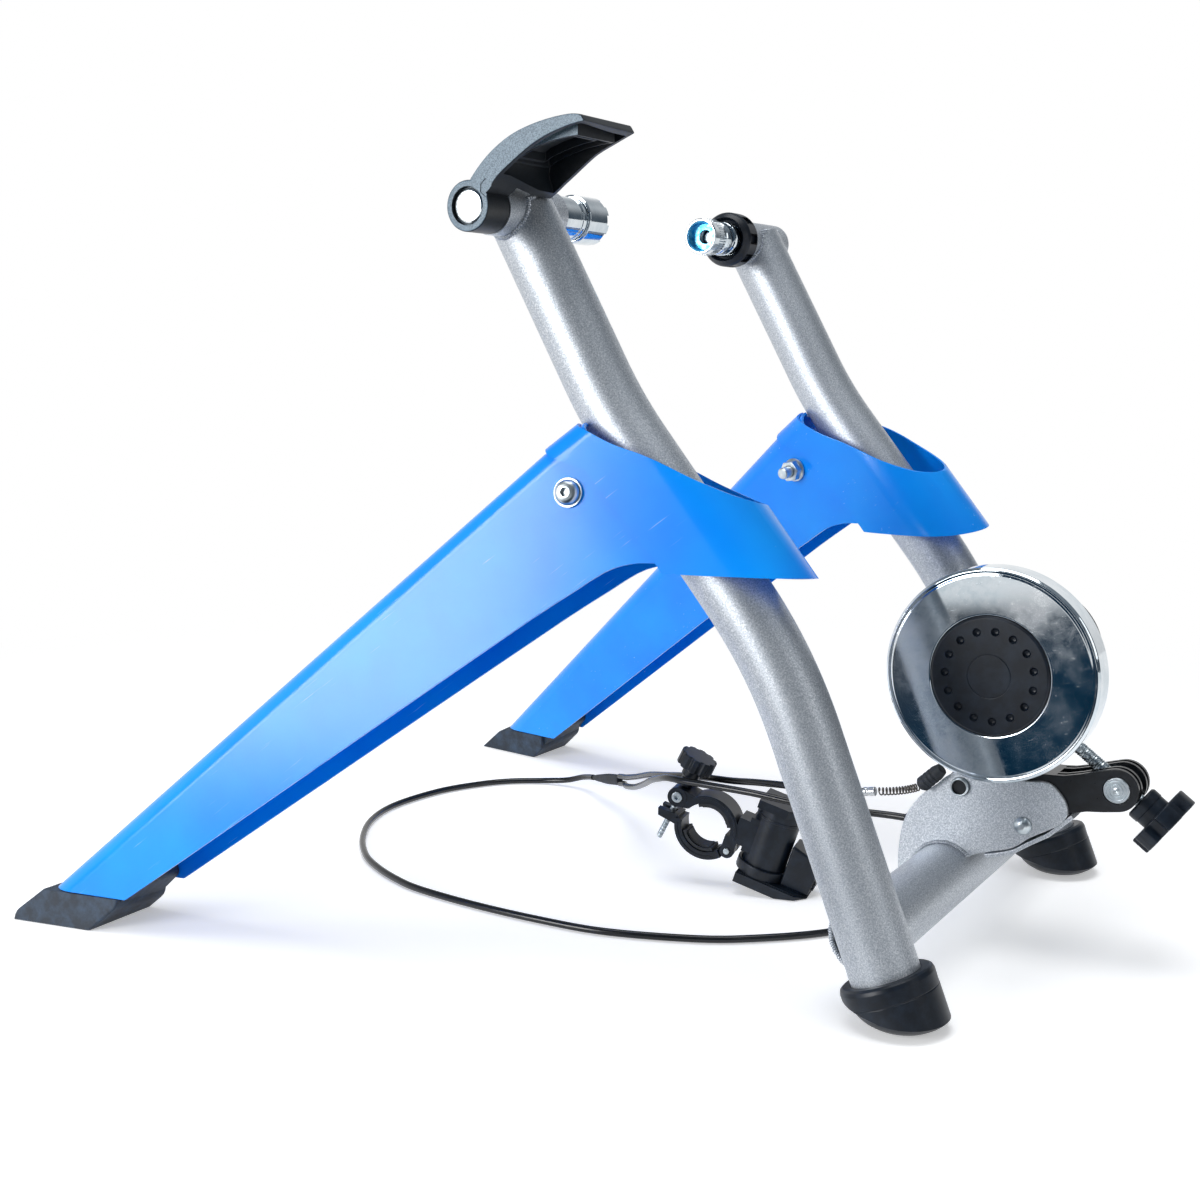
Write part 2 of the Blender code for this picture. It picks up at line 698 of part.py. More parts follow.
def leg_channel(name, pivot, side):
    """Sheet folded into a channel that tapers towards the foot and is open below."""
    stations = [p[0] for p in LEG_UNDERSIDE]
    mesh = bpy.data.meshes.new(name)
    work = bmesh.new()
    rows = []
    for u in stations:
        section = arch(leg_half_width(u), leg_top(u), at_u(LEG_UNDERSIDE, u), LEG_CORNER_RADIUS)
        rows.append([work.verts.new((u, across, v)) for across, v in section])
    for near, far in zip(rows, rows[1:]):
        for i in range(len(near) - 1):
            work.faces.new((near[i], near[i + 1], far[i + 1], far[i]))
    bmesh.ops.recalc_face_normals(work, faces=work.faces)
    work.faces.ensure_lookup_table()
    top_face = max(work.faces, key=lambda face: face.calc_center_median().z)
    if top_face.normal.z < 0:
        bmesh.ops.reverse_faces(work, faces=work.faces)
    work.to_mesh(mesh)
    work.free()
    piece = place(name, mesh, pivot, LEG_SHIFT)
    wall = piece.modifiers.new("sheet", "SOLIDIFY")
    wall.thickness = SHEET
    wall.offset = -1.0
    wall.use_even_offset = True
    notch = rod(name + "_notch", TUBE_RADIUS + GAP, (0, 0, -0.08), (0, 0, 0.10), pivot, base=LEG_SHIFT)
    hole = rod(name + "_hole", BOLT_RADIUS + GAP, (0, -0.04, 0), (0, 0.04, 0), pivot, steps=SPARSE)
    floor = leg_floor_cut(name + "_end", side, LEG_CUT_HEIGHT)
    cut(piece, notch, hole, floor)
    return finish(piece, "blue_enamel")


def leg_floor_cut(name, side, height):
    """Everything below a height, round a leg's foot."""
    return block(name, (-0.36, side * 0.25 - 0.12, height - 0.20), (-0.12, side * 0.25 + 0.12, height), ROOT)


def collar_plan(inset):
    half = LEG_HEAD_HALF_WIDTH + GAP + 0.0002 + COLLAR_WALL - inset
    rear = COLLAR_REAR - COLLAR_STRAIGHT - inset
    points = [(0.070, -half)]
    for i in range(13):
        angle = math.pi * i / 12
        points.append((-COLLAR_STRAIGHT - rear * math.sin(angle), -half * math.cos(angle)))
    return [*points, (0.070, half)]


def collar_arch(inset):
    half = LEG_HEAD_HALF_WIDTH + GAP + 0.0002 + COLLAR_WALL - inset
    top = LEG_TOP + GAP + 0.0001 + COLLAR_WALL - inset
    radius = LEG_CORNER_RADIUS + GAP + COLLAR_WALL - inset
    return arch(half, top, -0.075, radius)


def collar(name, pivot):
    """A thin cover that wraps behind the side tube and hoods the leg's head."""
    height = 0.180
    outer_plan = flat(name + "_plan", [collar_plan(0.0)], height, pivot, in_leg_plan(0.005))
    outer_arch = flat(name + "_arch", [collar_arch(0.0)], 0.160, pivot, in_leg_front(0.0))
    inner = flat(name + "_inner", [collar_plan(COLLAR_WALL)], height + 0.01, pivot, in_leg_plan(0.005))
    inner_arch = flat(name + "_inner_arch", [collar_arch(COLLAR_WALL)], 0.180, pivot, in_leg_front(0.0))
    keep(inner, inner_arch)
    piece = flat(name, [COLLAR_SIDE], 0.080, pivot, in_leg_side())
    keep(piece, outer_plan, outer_arch)
    notch = rod(name + "_notch", TUBE_RADIUS + 0.0013, (0, 0, 0.03), (0, 0, 0.10), pivot, base=LEG_SHIFT)
    cut(piece, inner, notch)
    return finish(piece, "blue_enamel")


def foot_outline(side, outline):
    """An outline moved along the leg to where the leg meets the floor."""
    run = leg_origin(side).z / -leg_axes(side)[0].z
    return [(u + run, v) for u, v in outline]


def front_foot(name, pivot, side):
    """A rubber shoe that closes the leg's end, with a plug up inside the channel."""
    piece = flat(name, [foot_outline(side, SHOE_SIDE)], 2 * SHOE_HALF_WIDTH, pivot, in_leg_side())
    above = block(name + "_above", (-0.36, side * 0.25 - 0.12, LEG_CUT_HEIGHT - GAP),
                  (-0.12, side * 0.25 + 0.12, 0.20), ROOT)
    cut(piece, above)
    half = LEG_FOOT_HALF_WIDTH - SHEET - PLUG_CLEARANCE
    plug_outline = foot_outline(side, PLUG_SIDE)
    plug = flat(name + "_plug", [plug_outline], 2 * LEG_FOOT_HALF_WIDTH, pivot, in_leg_side())
    slope = math.atan2(LEG_TOP - LEG_FOOT_TOP, LEG_LENGTH - COLLAR_FRONT)
    top = axes(Vector((LEG_LENGTH, 0, LEG_FOOT_TOP)), SIDEWAYS, Vector((math.sin(slope), 0, math.cos(slope))),
               Vector((math.cos(slope), 0, -math.sin(slope))))
    inside = arch(half, -SHEET - PLUG_CLEARANCE, -0.060, LEG_CORNER_RADIUS - SHEET)
    fuse(piece, keep(plug, flat(name + "_inside", [inside], 0.200, pivot, LEG_SHIFT @ top)))
    cut(piece, leg_floor_cut(name + "_floor", side, 0.0))
    return finish(piece, "black_rubber")


def across_leg(side, start, end):
    """Two points on a leg's fold axis, outward distances from the leg's middle."""
    forward, _, up = leg_axes(side)
    bolt = leg_origin(side) + BOLT_U * forward + BOLT_V * up
    outward = math.cos(TOE_ANGLE) * side * SIDEWAYS + math.sin(TOE_ANGLE) * Vector(
        (math.cos(MIDDLE_ANGLE), 0.0, math.sin(MIDDLE_ANGLE)))
    return bolt + outward * start, bolt + outward * end


def pivot_tab(name, side):
    """A sleeve for the fold bolt on a plate that is welded to the tube's front."""
    forward, across, up = leg_axes(side)
    half = LEG_HEAD_HALF_WIDTH - SHEET - GAP - 0.0002
    start, end = across_leg(side, -half, half)
    sleeve = rod(name, 0.009, start, end, ROOT)
    frame = axes(leg_origin(side), forward, across, up)
    outline = [(0.0182, 0.024), (BOLT_U, BOLT_V - 0.0088), (BOLT_U, BOLT_V + 0.0088), (0.0182, 0.066)]
    web = flat(name + "_web", [outline], 0.010, ROOT, frame @ side_view(0.0))
    return sleeve, web


WASHER_SEAT = LEG_HEAD_HALF_WIDTH + GAP + 0.0001
HEAD_SEAT = WASHER_SEAT + WASHER_THICKNESS + GAP


def fold_bolt(name, side):
    """A button-head bolt: head outside, thread end inside."""
    reach = HEAD_SEAT + 0.014
    start, end = across_leg(side, HEAD_SEAT + 0.0045, -reach)
    length = (end - start).length
    head = 0.0045
    profile = [(0.0, 0.0), (0.0028, 0.0), (0.005, 0.0004), (BOLT_HEAD_RADIUS - 0.0005, 0.002),
               (BOLT_HEAD_RADIUS, head), (BOLT_RADIUS, head), (BOLT_RADIUS, length - 0.0006),
               (BOLT_RADIUS - 0.0006, length), (0.0, length)]
    piece = turned(name, profile, ROOT, along(start, end - start), steps=COARSE)
    socket = flat(name + "_socket", [hexagon((0, 0), 0.0027)], 0.005, ROOT, along(start, end - start))
    cut(piece, socket)
    return finish(piece, "zinc")


def fold_washer(name, side):
    start, end = across_leg(side, WASHER_SEAT, WASHER_SEAT + WASHER_THICKNESS)
    piece = rod(name, WASHER_RADIUS, start, end, ROOT, bore=BOLT_RADIUS + GAP, steps=COARSE)
    return finish(piece, "zinc")


def fold_nut(name, side):
    """A hexagon nut on a round flange, inside the leg."""
    start, end = across_leg(side, -WASHER_SEAT, -WASHER_SEAT - 0.0075)
    profile = [(BOLT_RADIUS + GAP, 0.0), (WASHER_RADIUS, 0.0), (WASHER_RADIUS, 0.0013), (0.0068, 0.0022),
               (BOLT_RADIUS + GAP, 0.0022)]
    piece = turned(name, profile, ROOT, along(start, end - start), steps=COARSE)
    frame = along(start.lerp(end, 0.58), end - start)
    outlines = [hexagon((0, 0), 0.0075), circle((0, 0), BOLT_RADIUS + GAP, COARSE)]
    hexed = flat(name + "_hex", outlines, 0.0063, ROOT, frame)
    fuse(piece, hexed)
    return finish(piece, "zinc")


# Axle clamp, left side
def axle_pivot(name):
    return empty(name, Matrix.Translation((0.0, 0.0, AXLE_HEIGHT)), ROOT)


def clamp_lever(pivot):
    """An eye on the clamp's axis and a wide arched blade that is hollow below."""
    middle = (LEVER_OUTER + LEVER_BLADE_INNER) / 2
    blade = plate("clamp_lever", (*LEVER_OUTLINE, *LEVER_NEAR_EDGE), LEVER_OUTER, middle + 0.001, pivot)
    fuse(blade, plate("lever_far_half", (*LEVER_OUTLINE, *LEVER_FAR_EDGE), middle, LEVER_BLADE_INNER, pivot))
    hollow = plate("lever_hollow", lever_hollow_outline(), LEVER_OUTER + LEVER_SKIN,
                   LEVER_BLADE_INNER - LEVER_SKIN, pivot)
    heel = rod("lever_heel", LEVER_HEEL_CLEARANCE, (0, LEVER_EYE_INNER, 0), (0, -0.12, 0), pivot)
    cut(blade, hollow, heel)
    eye = rod("lever_eye", LEVER_EYE_RADIUS, (0, LEVER_OUTER, 0), (0, LEVER_EYE_INNER, 0), pivot)
    fuse(blade, eye)
    bore = rod("lever_bore", LEVER_SHAFT_RADIUS + GAP, (0, -0.21, 0), (0, -0.17, 0), pivot)
    recess = rod("lever_recess", LEVER_DISC_RADIUS + 0.001, (0, -0.21, 0), (0, LEVER_OUTER + 0.003, 0), pivot)
    cut(blade, bore, recess)
    return finish(blade, "grey_plastic")


def lever_hollow_outline():
    """The blade's outline drawn in by its skin above and open below."""
    top = [(x + LEVER_SKIN * 0.4, z - LEVER_SKIN) for x, z in LEVER_OUTLINE[3:9]]
    low = [(0.0690, 0.0250), (0.0513, 0.0150), (0.0326, 0.0050), (0.0257, 0.0020)]
    return [(0.0200, 0.0190), *top, (0.0690, 0.0385), *low]


def lever_shaft(pivot):
    """The chromed spindle: a disc in the eye's recess, and a flange that pushes the piston."""
    disc, shaft = LEVER_DISC_RADIUS, LEVER_SHAFT_RADIUS
    back = LEVER_OUTER + 0.003 - GAP
    profile = [(0.0, LEVER_OUTER + 0.001), (disc, LEVER_OUTER + 0.001), (disc, back), (shaft, back),
               (shaft, -0.174), (PISTON_RADIUS, -0.174), (PISTON_RADIUS, -0.1665), (0.0, -0.1665)]
    piece = turned("lever_shaft", profile, pivot, along(Vector((0, 0, 0)), SIDEWAYS))
    return finish(piece, "chrome")


def piston(pivot):
    profile = [(0.0, PISTON_BACK), (PISTON_RADIUS - 0.001, PISTON_BACK), (PISTON_RADIUS, PISTON_BACK + 0.001),
               (PISTON_RADIUS, CUP_BACK - GAP), (0.0, CUP_BACK - GAP)]
    piece = turned("clamp_piston", profile, pivot, along(Vector((0, 0, 0)), SIDEWAYS))
    return finish(piece, "chrome")


def axle_cup(pivot):
    """The cup that takes the axle's nut, with teeth on its rim."""
    hollow = CUP_HOLLOW_RADIUS
    profile = [(0.0, CUP_BACK), (CUP_RADIUS - 0.001, CUP_BACK), (CUP_RADIUS, CUP_BACK + 0.001),
               (CUP_RADIUS, CUP_FRONT + CUP_TOOTH), (hollow + 0.0012, CUP_FRONT + CUP_TOOTH),
               (hollow, CUP_FRONT - 0.002), (hollow, CUP_FRONT - 0.010), (0.005, CUP_FRONT - 0.012),
               (0.0, CUP_FRONT - 0.012)]
    piece = turned("axle_cup", profile, pivot, along(Vector((0, 0, 0)), SIDEWAYS))
    for i in range(CUP_TEETH // 2):
        angle = math.pi * i / (CUP_TEETH // 2)
        turn = Matrix.Rotation(angle, 4, "Y")
        slot = block("cup_slot_%d" % i, (-0.02, CUP_FRONT, -0.0028), (0.02, CUP_FRONT + 0.004, 0.0028),
                     pivot, turn)
        cut(piece, slot)
    return finish(piece, "chrome")


# Axle clamp, right side
def cone_sleeve(pivot):
    """The screwed sleeve that holds the axle's other nut, with its knurled band."""
    floor = CONE_FACE + CONE_HOLLOW_DEPTH
    profile = [(CONE_HOLE, floor), (CONE_HOLLOW_RADIUS, floor), (CONE_HOLLOW_RADIUS + 0.001, CONE_FACE),
               (CONE_RADIUS - 0.0008, CONE_FACE), (CONE_RADIUS, CONE_FACE + 0.0008), (CONE_RADIUS, KNURL[0]),
               (KNURL_RADIUS, KNURL[0] + 0.0006), (KNURL_RADIUS, KNURL[1] - 0.0006),
               (THREAD_RADIUS, KNURL[1]), (THREAD_RADIUS, THREAD_END), (CONE_HOLE, THREAD_END)]
    piece = turned("cone_sleeve", profile, pivot, along(Vector((0, 0, 0)), SIDEWAYS))
    return finish(piece, "chrome")


def cone_core(pivot):
    """The spindle inside the sleeve, which slides with it and doesn't turn."""
    shaft = CONE_HOLE - GAP
    shoulder = THREAD_END + RUNNING_GAP
    front, back = CORE
    head = CORE_HEAD_RADIUS
    profile = [(0.0, front), (shaft, front), (shaft, shoulder), (head, shoulder), (head, back), (0.0, back)]
    piece = turned("cone_core", profile, pivot, along(Vector((0, 0, 0)), SIDEWAYS))
    return finish(piece, "zinc")


def lock_ring(pivot):
    """The black ring that locks the sleeve, with finger pockets round its rim."""
    bore = THREAD_RADIUS + GAP + 0.0001
    low, high = LOCK_RING
    rim = LOCK_RING_RADIUS
    profile = [(bore, low), (rim - 0.004, low), (rim - 0.001, low + 0.003), (rim, low + 0.005),
               (rim, high - 0.003), (rim - 0.002, high), (bore, high)]
    piece = turned("lock_ring", profile, pivot, along(Vector((0, 0, 0)), SIDEWAYS))
    for i in range(LOCK_POCKETS):
        turn = Matrix.Rotation(math.tau * i / LOCK_POCKETS, 4, "Y")
        pocket = block("lock_pocket_%d" % i, (-0.0035, low + 0.006, rim - 0.002),
                       (0.0035, high - 0.004, 0.03), pivot, turn)
        cut(piece, pocket)
    return finish(piece, "black_plastic")


# Bracket
PLATE_LEFT = (BRACKET_MID_Y - BRACKET_INNER_HALF - PLATE_THICKNESS, BRACKET_MID_Y - BRACKET_INNER_HALF)
PLATE_RIGHT = (BRACKET_MID_Y + BRACKET_INNER_HALF, BRACKET_MID_Y + BRACKET_INNER_HALF + PLATE_THICKNESS)


def cross_envelope(name):
    x = tube_centre_x(CROSS_HEIGHT) - CROSS_FORWARD
    return rod(name, TUBE_RADIUS + 2 * GAP, (x, -0.14, CROSS_HEIGHT), (x, 0.14, CROSS_HEIGHT), ROOT, steps=32)


def bracket_plate(name, span):
    holes = [circle(PIN_PLACE, PIN_RADIUS + GAP), circle(SCREW_PLACE, SCREW_RADIUS + GAP)]
    return plate(name, PLATE_OUTLINE, span[0], span[1], ROOT, holes)


def offset_strip(path, thickness):
    """A strip of even thickness along a path, drawn as one outline."""
    path = [Vector(p) for p in path]
    left, right = [], []
    for i, point in enumerate(path):
        before = path[max(i - 1, 0)]
        after = path[min(i + 1, len(path) - 1)]
        direction = (after - before).normalized()
        normal = Vector((-direction.y, direction.x)) * thickness / 2
        left.append(point + normal)
        right.append(point - normal)
    return [tuple(p) for p in left + right[::-1]]


def brake_bracket():
    """Two plates on the cross tube, joined by a folded web below."""
    piece = bracket_plate("brake_bracket", PLATE_LEFT)
    strip = offset_strip(WEB_PATH, WEB_THICKNESS)
    web = plate("bracket_web", strip, PLATE_LEFT[0] + 0.001, PLATE_RIGHT[1] - 0.001, ROOT)
    fuse(piece, bracket_plate("bracket_right", PLATE_RIGHT), web)
    cut(piece, cross_envelope("bracket_cope"))
    return finish(piece, "silver_powder_coat")


def pivot_pin():
    """A hollow pin through both plates and the unit's hub, with a rolled head outside each plate."""
    low, high = PLATE_LEFT[0] - PIN_HEAD, PLATE_RIGHT[1] + PIN_HEAD
    x, z = PIN_PLACE
    piece = rod("pivot_pin", PIN_RADIUS, (x, low, z), (x, high, z), ROOT, bore=PIN_BORE, steps=COARSE)
    return finish(piece, "zinc")


def bracket_screw():
    """The domed screw that clamps the arm between the plates, with its nut end on the far side."""
    x, z = SCREW_PLACE
    low, high = PLATE_LEFT[0] - GAP, PLATE_RIGHT[1] + GAP
    head = SCREW_HEAD_RADIUS
    profile = [(0.0, low - 0.003), (head - 0.0025, low - 0.0026), (head - 0.0005, low - 0.0012), (head, low),
               (SCREW_RADIUS, low), (SCREW_RADIUS, high), (head, high), (head, high + 0.004),
               (0.0, high + 0.004)]
    piece = turned("bracket_screw", profile, ROOT, along(Vector((x, 0, z)), SIDEWAYS), steps=COARSE)
    return finish(piece, "zinc")


def screw_arm():
    """The black arm between the plates, slit into four ears at its end."""
    nose = arc(DOWEL_PLACE, EAR_RADIUS, -78.0, 108.0, 10)
    outline = [*ARM_OUTLINE, *nose, *ARM_TOP]
    holes = [circle(SCREW_PLACE, SCREW_RADIUS + GAP), circle(DOWEL_PLACE, DOWEL_RADIUS + GAP, ROUND)]
    half = BRACKET_INNER_HALF - GAP
    piece = plate("screw_arm", outline, BRACKET_MID_Y - half, BRACKET_MID_Y + half, ROOT, holes)
    for i, (low, high) in enumerate(EAR_SLOTS):
        slot = block("ear_slot_%d" % i, (EAR_SLOT_START, BRACKET_MID_Y + low, 0.05),
                     (0.35, BRACKET_MID_Y + high, 0.15), ROOT)
        cut(piece, slot)
    return finish(piece, "black_paint")


# Tension screw
ROD_DIRECTION = Vector((math.cos(ROD_SLOPE), 0.0, -math.sin(ROD_SLOPE)))


def dowel_pivot():
    """The dowel's empty, whose Z runs down the rod towards the knob."""
    centre = Vector((DOWEL_PLACE[0], BRACKET_MID_Y, DOWEL_PLACE[1]))
    return empty("dowel_pivot", along(centre, ROD_DIRECTION), ROOT)


def cross_dowel(pivot):
    half = BRACKET_INNER_HALF
    piece = rod("cross_dowel", DOWEL_RADIUS, (0, -half, 0), (0, half, 0), pivot)
    drill = rod("dowel_drill", ROD_RADIUS + GAP, (0, 0, -0.02), (0, 0, 0.02), pivot, steps=SPARSE)
    cut(piece, drill)
    return finish(piece, "zinc")


def rod_tip(pivot):
    """The thrust pad that turns on the rod's end and bears on the unit's lug."""
    start = ROD_TIP
    profile = [(0.0, start), (0.003, start + 0.0004), (0.006, start + 0.002), (0.006, start + ROD_TIP_LENGTH),
               (0.0, start + ROD_TIP_LENGTH)]
    piece = turned("rod_tip", profile, pivot, Matrix.Identity(4), steps=COARSE)
    return finish(piece, "zinc")


def threaded_rod(pivot):
    start = ROD_TIP + ROD_TIP_LENGTH + GAP
    piece = rod("threaded_rod", ROD_RADIUS, (0, 0, start), (0, 0, HUB_START + ROD_SEAT), pivot, steps=SPARSE)
    return finish(piece, "zinc")


def tension_knob(pivot):
    """A lobed head on a round hub, bored for the rod."""
    thickness = KNOB_END - KNOB_START
    middle = (KNOB_END + KNOB_START) / 2
    piece = flat("tension_knob", [lobed(KNOB_RADIUS, KNOB_GROOVE, KNOB_LOBES)], thickness, pivot,
                 Matrix.Translation((0, 0, middle)))
    profile = [(0.0, HUB_START), (HUB_RADIUS - 0.001, HUB_START), (HUB_RADIUS, HUB_START + 0.001),
               (HUB_RADIUS, KNOB_START + 0.001), (0.0, KNOB_START + 0.001)]
    hub = turned("knob_hub", profile, pivot, Matrix.Identity(4))
    fuse(piece, hub)
    depth = HUB_START + ROD_SEAT + GAP
    bore = rod("knob_bore", ROD_RADIUS + GAP, (0, 0, 0.0), (0, 0, depth), pivot, steps=SPARSE)
    cut(piece, bore)
    return finish(piece, "black_plastic")


# Resistance unit
def unit_pivot():
    """The unit's empty on the pivot pin: its Z runs to the roller's axis."""
    z_axis = Vector((math.sin(UNIT_ANGLE), 0.0, math.cos(UNIT_ANGLE)))
    centre = Vector((PIN_PLACE[0], 0.0, PIN_PLACE[1]))
    return empty("unit_pivot", axes(centre, SIDEWAYS.cross(z_axis), SIDEWAYS, z_axis), ROOT)


def spin_pivot(pivot):
    return empty("spin_pivot", Matrix.Translation((0.0, 0.0, UNIT_REACH)), pivot)


BEARING_SEAT_RADIUS = BEARING_RADIUS + GAP + 0.0025
BEARING_SEAT = (0.0182, 0.0254)


def frame_disc(pivot):
    """The round plate behind the brake's shell, with the right bearing's seat."""
    seat, low, high = BEARING_SEAT_RADIUS, FRAME_HALF_WIDTH - FRAME_PLATE, FRAME_HALF_WIDTH
    rim = MAGNET_HOUSING_RADIUS
    inner, outer = BEARING_SEAT
    profile = [(0.0, inner), (seat, inner), (seat, low), (rim, low), (rim, high), (seat, high), (seat, outer),
               (0.0, outer)]
    return turned("unit_disc", profile, pivot, along(Vector((0, 0, UNIT_REACH)), SIDEWAYS), steps=BROAD)


def unit_frame(pivot):
    """A hub on the pivot pin, a base under the roller, two side plates and the lug for the rod."""
    hub_half = BRACKET_INNER_HALF - RUNNING_GAP
    hub = [(0, BRACKET_MID_Y + end, 0) for end in (-hub_half, hub_half)]
    piece = rod("unit_frame", HUB_OUTER, *hub, pivot, steps=COARSE)
    low, high = FRAME_BASE
    half = NECK_HALF_WIDTH
    neck = block("unit_neck", (-NECK_HALF_DEPTH, BRACKET_MID_Y - half, HUB_OUTER / 2),
                 (NECK_HALF_DEPTH, BRACKET_MID_Y + half, (low + high) / 2), pivot)
    inside = FRAME_HALF_WIDTH - FRAME_PLATE / 2
    base = block("unit_base", (FRAME_BASE_SPAN[0], -inside, low), (FRAME_BASE_SPAN[1], inside, high), pivot)
    foot = -FRAME_BASE_SPAN[0] + 0.0005
    head = arc((0.0, UNIT_REACH), BEARING_SEAT_RADIUS + FRAME_PLATE, -20.0, 200.0, 12)
    side_outline = [(-foot, low - 0.0005), (foot, low - 0.0005), *head]
    wall = flat("unit_left", [side_outline], FRAME_PLATE, pivot, side_view(-inside))
    seat = rod("left_seat", BEARING_SEAT_RADIUS, (0, -BEARING_SEAT[1], UNIT_REACH),
               (0, -BEARING_SEAT[0], UNIT_REACH), pivot)
    lug = flat("unit_lug", [lug_outline()], LUG_WIDTH, pivot, side_view(BRACKET_MID_Y))
    fuse(piece, neck, base, wall, seat, frame_disc(pivot), lug)
    drill = rod("unit_hub_bore", PIN_RADIUS + GAP, (0, -0.03, 0), (0, 0.03, 0), pivot, steps=COARSE)
    bore = rod("unit_seat_bore", BEARING_RADIUS + GAP, (0, -0.04, UNIT_REACH), (0, 0.026, UNIT_REACH), pivot)
    cut(piece, drill, bore)
    return finish(piece, "black_paint")


def rod_tip_in_unit():
    """The rod tip's middle and direction in the unit's frame, as x and z."""
    tip = Vector((DOWEL_PLACE[0] - PIN_PLACE[0], DOWEL_PLACE[1] - PIN_PLACE[1]))
    tip += ROD_TIP * Vector((math.cos(ROD_SLOPE), -math.sin(ROD_SLOPE)))
    x_axis = Vector((math.cos(UNIT_ANGLE), -math.sin(UNIT_ANGLE)))
    z_axis = Vector((math.sin(UNIT_ANGLE), math.cos(UNIT_ANGLE)))
    direction = Vector((math.cos(ROD_SLOPE), -math.sin(ROD_SLOPE)))
    return (Vector((tip.dot(x_axis), tip.dot(z_axis))),
            Vector((direction.dot(x_axis), direction.dot(z_axis))))


def lug_outline():
    """An upright behind the base whose rear face is square to the rod."""
    tip, direction = rod_tip_in_unit()
    face = tip - direction * (GAP + 0.0003)
    across = Vector((-direction.y, direction.x))
    top, bottom = face + across * LUG_HALF_HEIGHT, face - across * LUG_HALF_HEIGHT
    inner = LUG_THICKNESS
    root = FRAME_BASE_SPAN[1] - FRAME_PLATE - 0.001
    return [tuple(bottom), tuple(top), tuple(top - direction * inner), (root, FRAME_BASE[1] - 0.0005),
            (root, FRAME_BASE[0] + 0.0005), tuple(bottom - direction * inner)]


def bearing(name, low, pivot):
    piece = rod(name, BEARING_RADIUS, (0, low, UNIT_REACH), (0, low + 0.0065, UNIT_REACH), pivot,
                bore=SHAFT_RADIUS + GAP)
    return finish(piece, "zinc")


def magnet_housing(pivot):
    """The brake's shell on the right, closed outside, with the frame's plate behind it."""
    low, high = MAGNET_HOUSING
    outer, wall = MAGNET_HOUSING_RADIUS, MAGNET_HOUSING_WALL
    profile = [(outer - wall, low), (outer, low), (outer, high - 0.006), (outer - 0.006, high), (0.0, high),
               (0.0, high - wall), (outer - wall - 0.005, high - wall), (outer - wall, high - wall - 0.005)]
    frame = along(Vector((0, 0, UNIT_REACH)), SIDEWAYS)
    piece = turned("magnet_housing", profile, pivot, frame, steps=BROAD)
    return finish(piece, "black_plastic")


def roller(pivot):
    """The roller and its spindle, turned from one bar."""
    half, rim, spindle = ROLLER_HALF, ROLLER_RADIUS, SHAFT_RADIUS
    low, high = FLYWHEEL[0] + 0.0035, MAGNET_HOUSING[1] - MAGNET_HOUSING_WALL - 0.001
    profile = [(0.0, low), (spindle, low), (spindle, -half), (rim - 0.001, -half), (rim, -half + 0.001),
               (rim, half - 0.001), (rim - 0.001, half), (spindle, half), (spindle, high), (0.0, high)]
    piece = turned("roller", profile, pivot, along(Vector((0, 0, 0)), SIDEWAYS))
    return finish(piece, "aluminium")


def flywheel(pivot):
    """A chromed disc with chamfered rims, recessed a little where its cap sits."""
    low, high = FLYWHEEL
    rim, bore = FLYWHEEL_RADIUS, SHAFT_RADIUS + GAP
    seat = CAP_DISC_RADIUS + GAP
    edge, recess = FLYWHEEL_CHAMFER, CAP_RECESS
    profile = [(bore, low + recess), (seat, low + recess), (seat, low), (rim - edge, low), (rim, low + edge),
               (rim, high - edge), (rim - edge, high), (bore, high)]
    piece = turned("flywheel", profile, pivot, along(Vector((0, 0, 0)), SIDEWAYS), steps=FINE)
    return finish(piece, "chrome")


def flywheel_cap(pivot):
    """A black disc in the flywheel's face with a ring of dimples."""
    front = FLYWHEEL[0] - CAP_PROUD
    back = FLYWHEEL[0] + CAP_RECESS - GAP
    rim = CAP_DISC_RADIUS
    profile = [(0.0, front), (rim - 0.0008, front), (rim, front + 0.0008), (rim, back), (0.0, back)]
    piece = turned("flywheel_cap", profile, pivot, along(Vector((0, 0, 0)), SIDEWAYS), steps=BROAD)
    for i in range(DIMPLES):
        angle = math.tau * (i + 0.5) / DIMPLES
        x, z = DIMPLE_CIRCLE * math.sin(angle), DIMPLE_CIRCLE * math.cos(angle)
        ends = (x, front - 0.001, z), (x, front + DIMPLE_DEPTH, z)
        dimple = rod("dimple_%d" % i, DIMPLE_RADIUS, *ends, pivot, steps=6)
        cut(piece, dimple)
    return finish(piece, "black_plastic")


def brake_disc(pivot):
    low, high = BRAKE_DISC
    piece = rod("brake_disc", BRAKE_DISC_RADIUS, (0, low, 0), (0, high, 0), pivot,
                bore=SHAFT_RADIUS + GAP, steps=BROAD)
    return finish(piece, "aluminium")


def magnet_carrier(pivot):
    """A plate that turns in the housing and holds a ring of magnets facing the brake disc."""
    low, high = CARRIER
    rim = MAGNET_HOUSING_RADIUS - MAGNET_HOUSING_WALL - GAP - 0.0002
    piece = rod("magnet_carrier", rim, (0, low, 0), (0, high, 0), pivot, bore=0.012, steps=BROAD)
    for i in range(MAGNETS):
        angle = math.tau * i / MAGNETS
        x, z = MAGNET_CIRCLE * math.sin(angle), MAGNET_CIRCLE * math.cos(angle)
        ends = (x, high - 0.001, z), (x, high + MAGNET_HEIGHT, z)
        magnet = rod("magnet_%d" % i, MAGNET_RADIUS, *ends, pivot, steps=8)
        fuse(piece, magnet)
    return finish(piece, "zinc")


# Remote shifter
def shifter_axes():
    ahead = Vector((math.cos(SHIFTER_YAW), math.sin(SHIFTER_YAW), 0.0))
    p_axis = ahead * math.cos(SHIFTER_TIP) - UP * math.sin(SHIFTER_TIP)
    q_axis = ahead * math.sin(SHIFTER_TIP) + UP * math.cos(SHIFTER_TIP)
    return axes(SHIFTER_PLACE, p_axis, q_axis.cross(p_axis), q_axis)


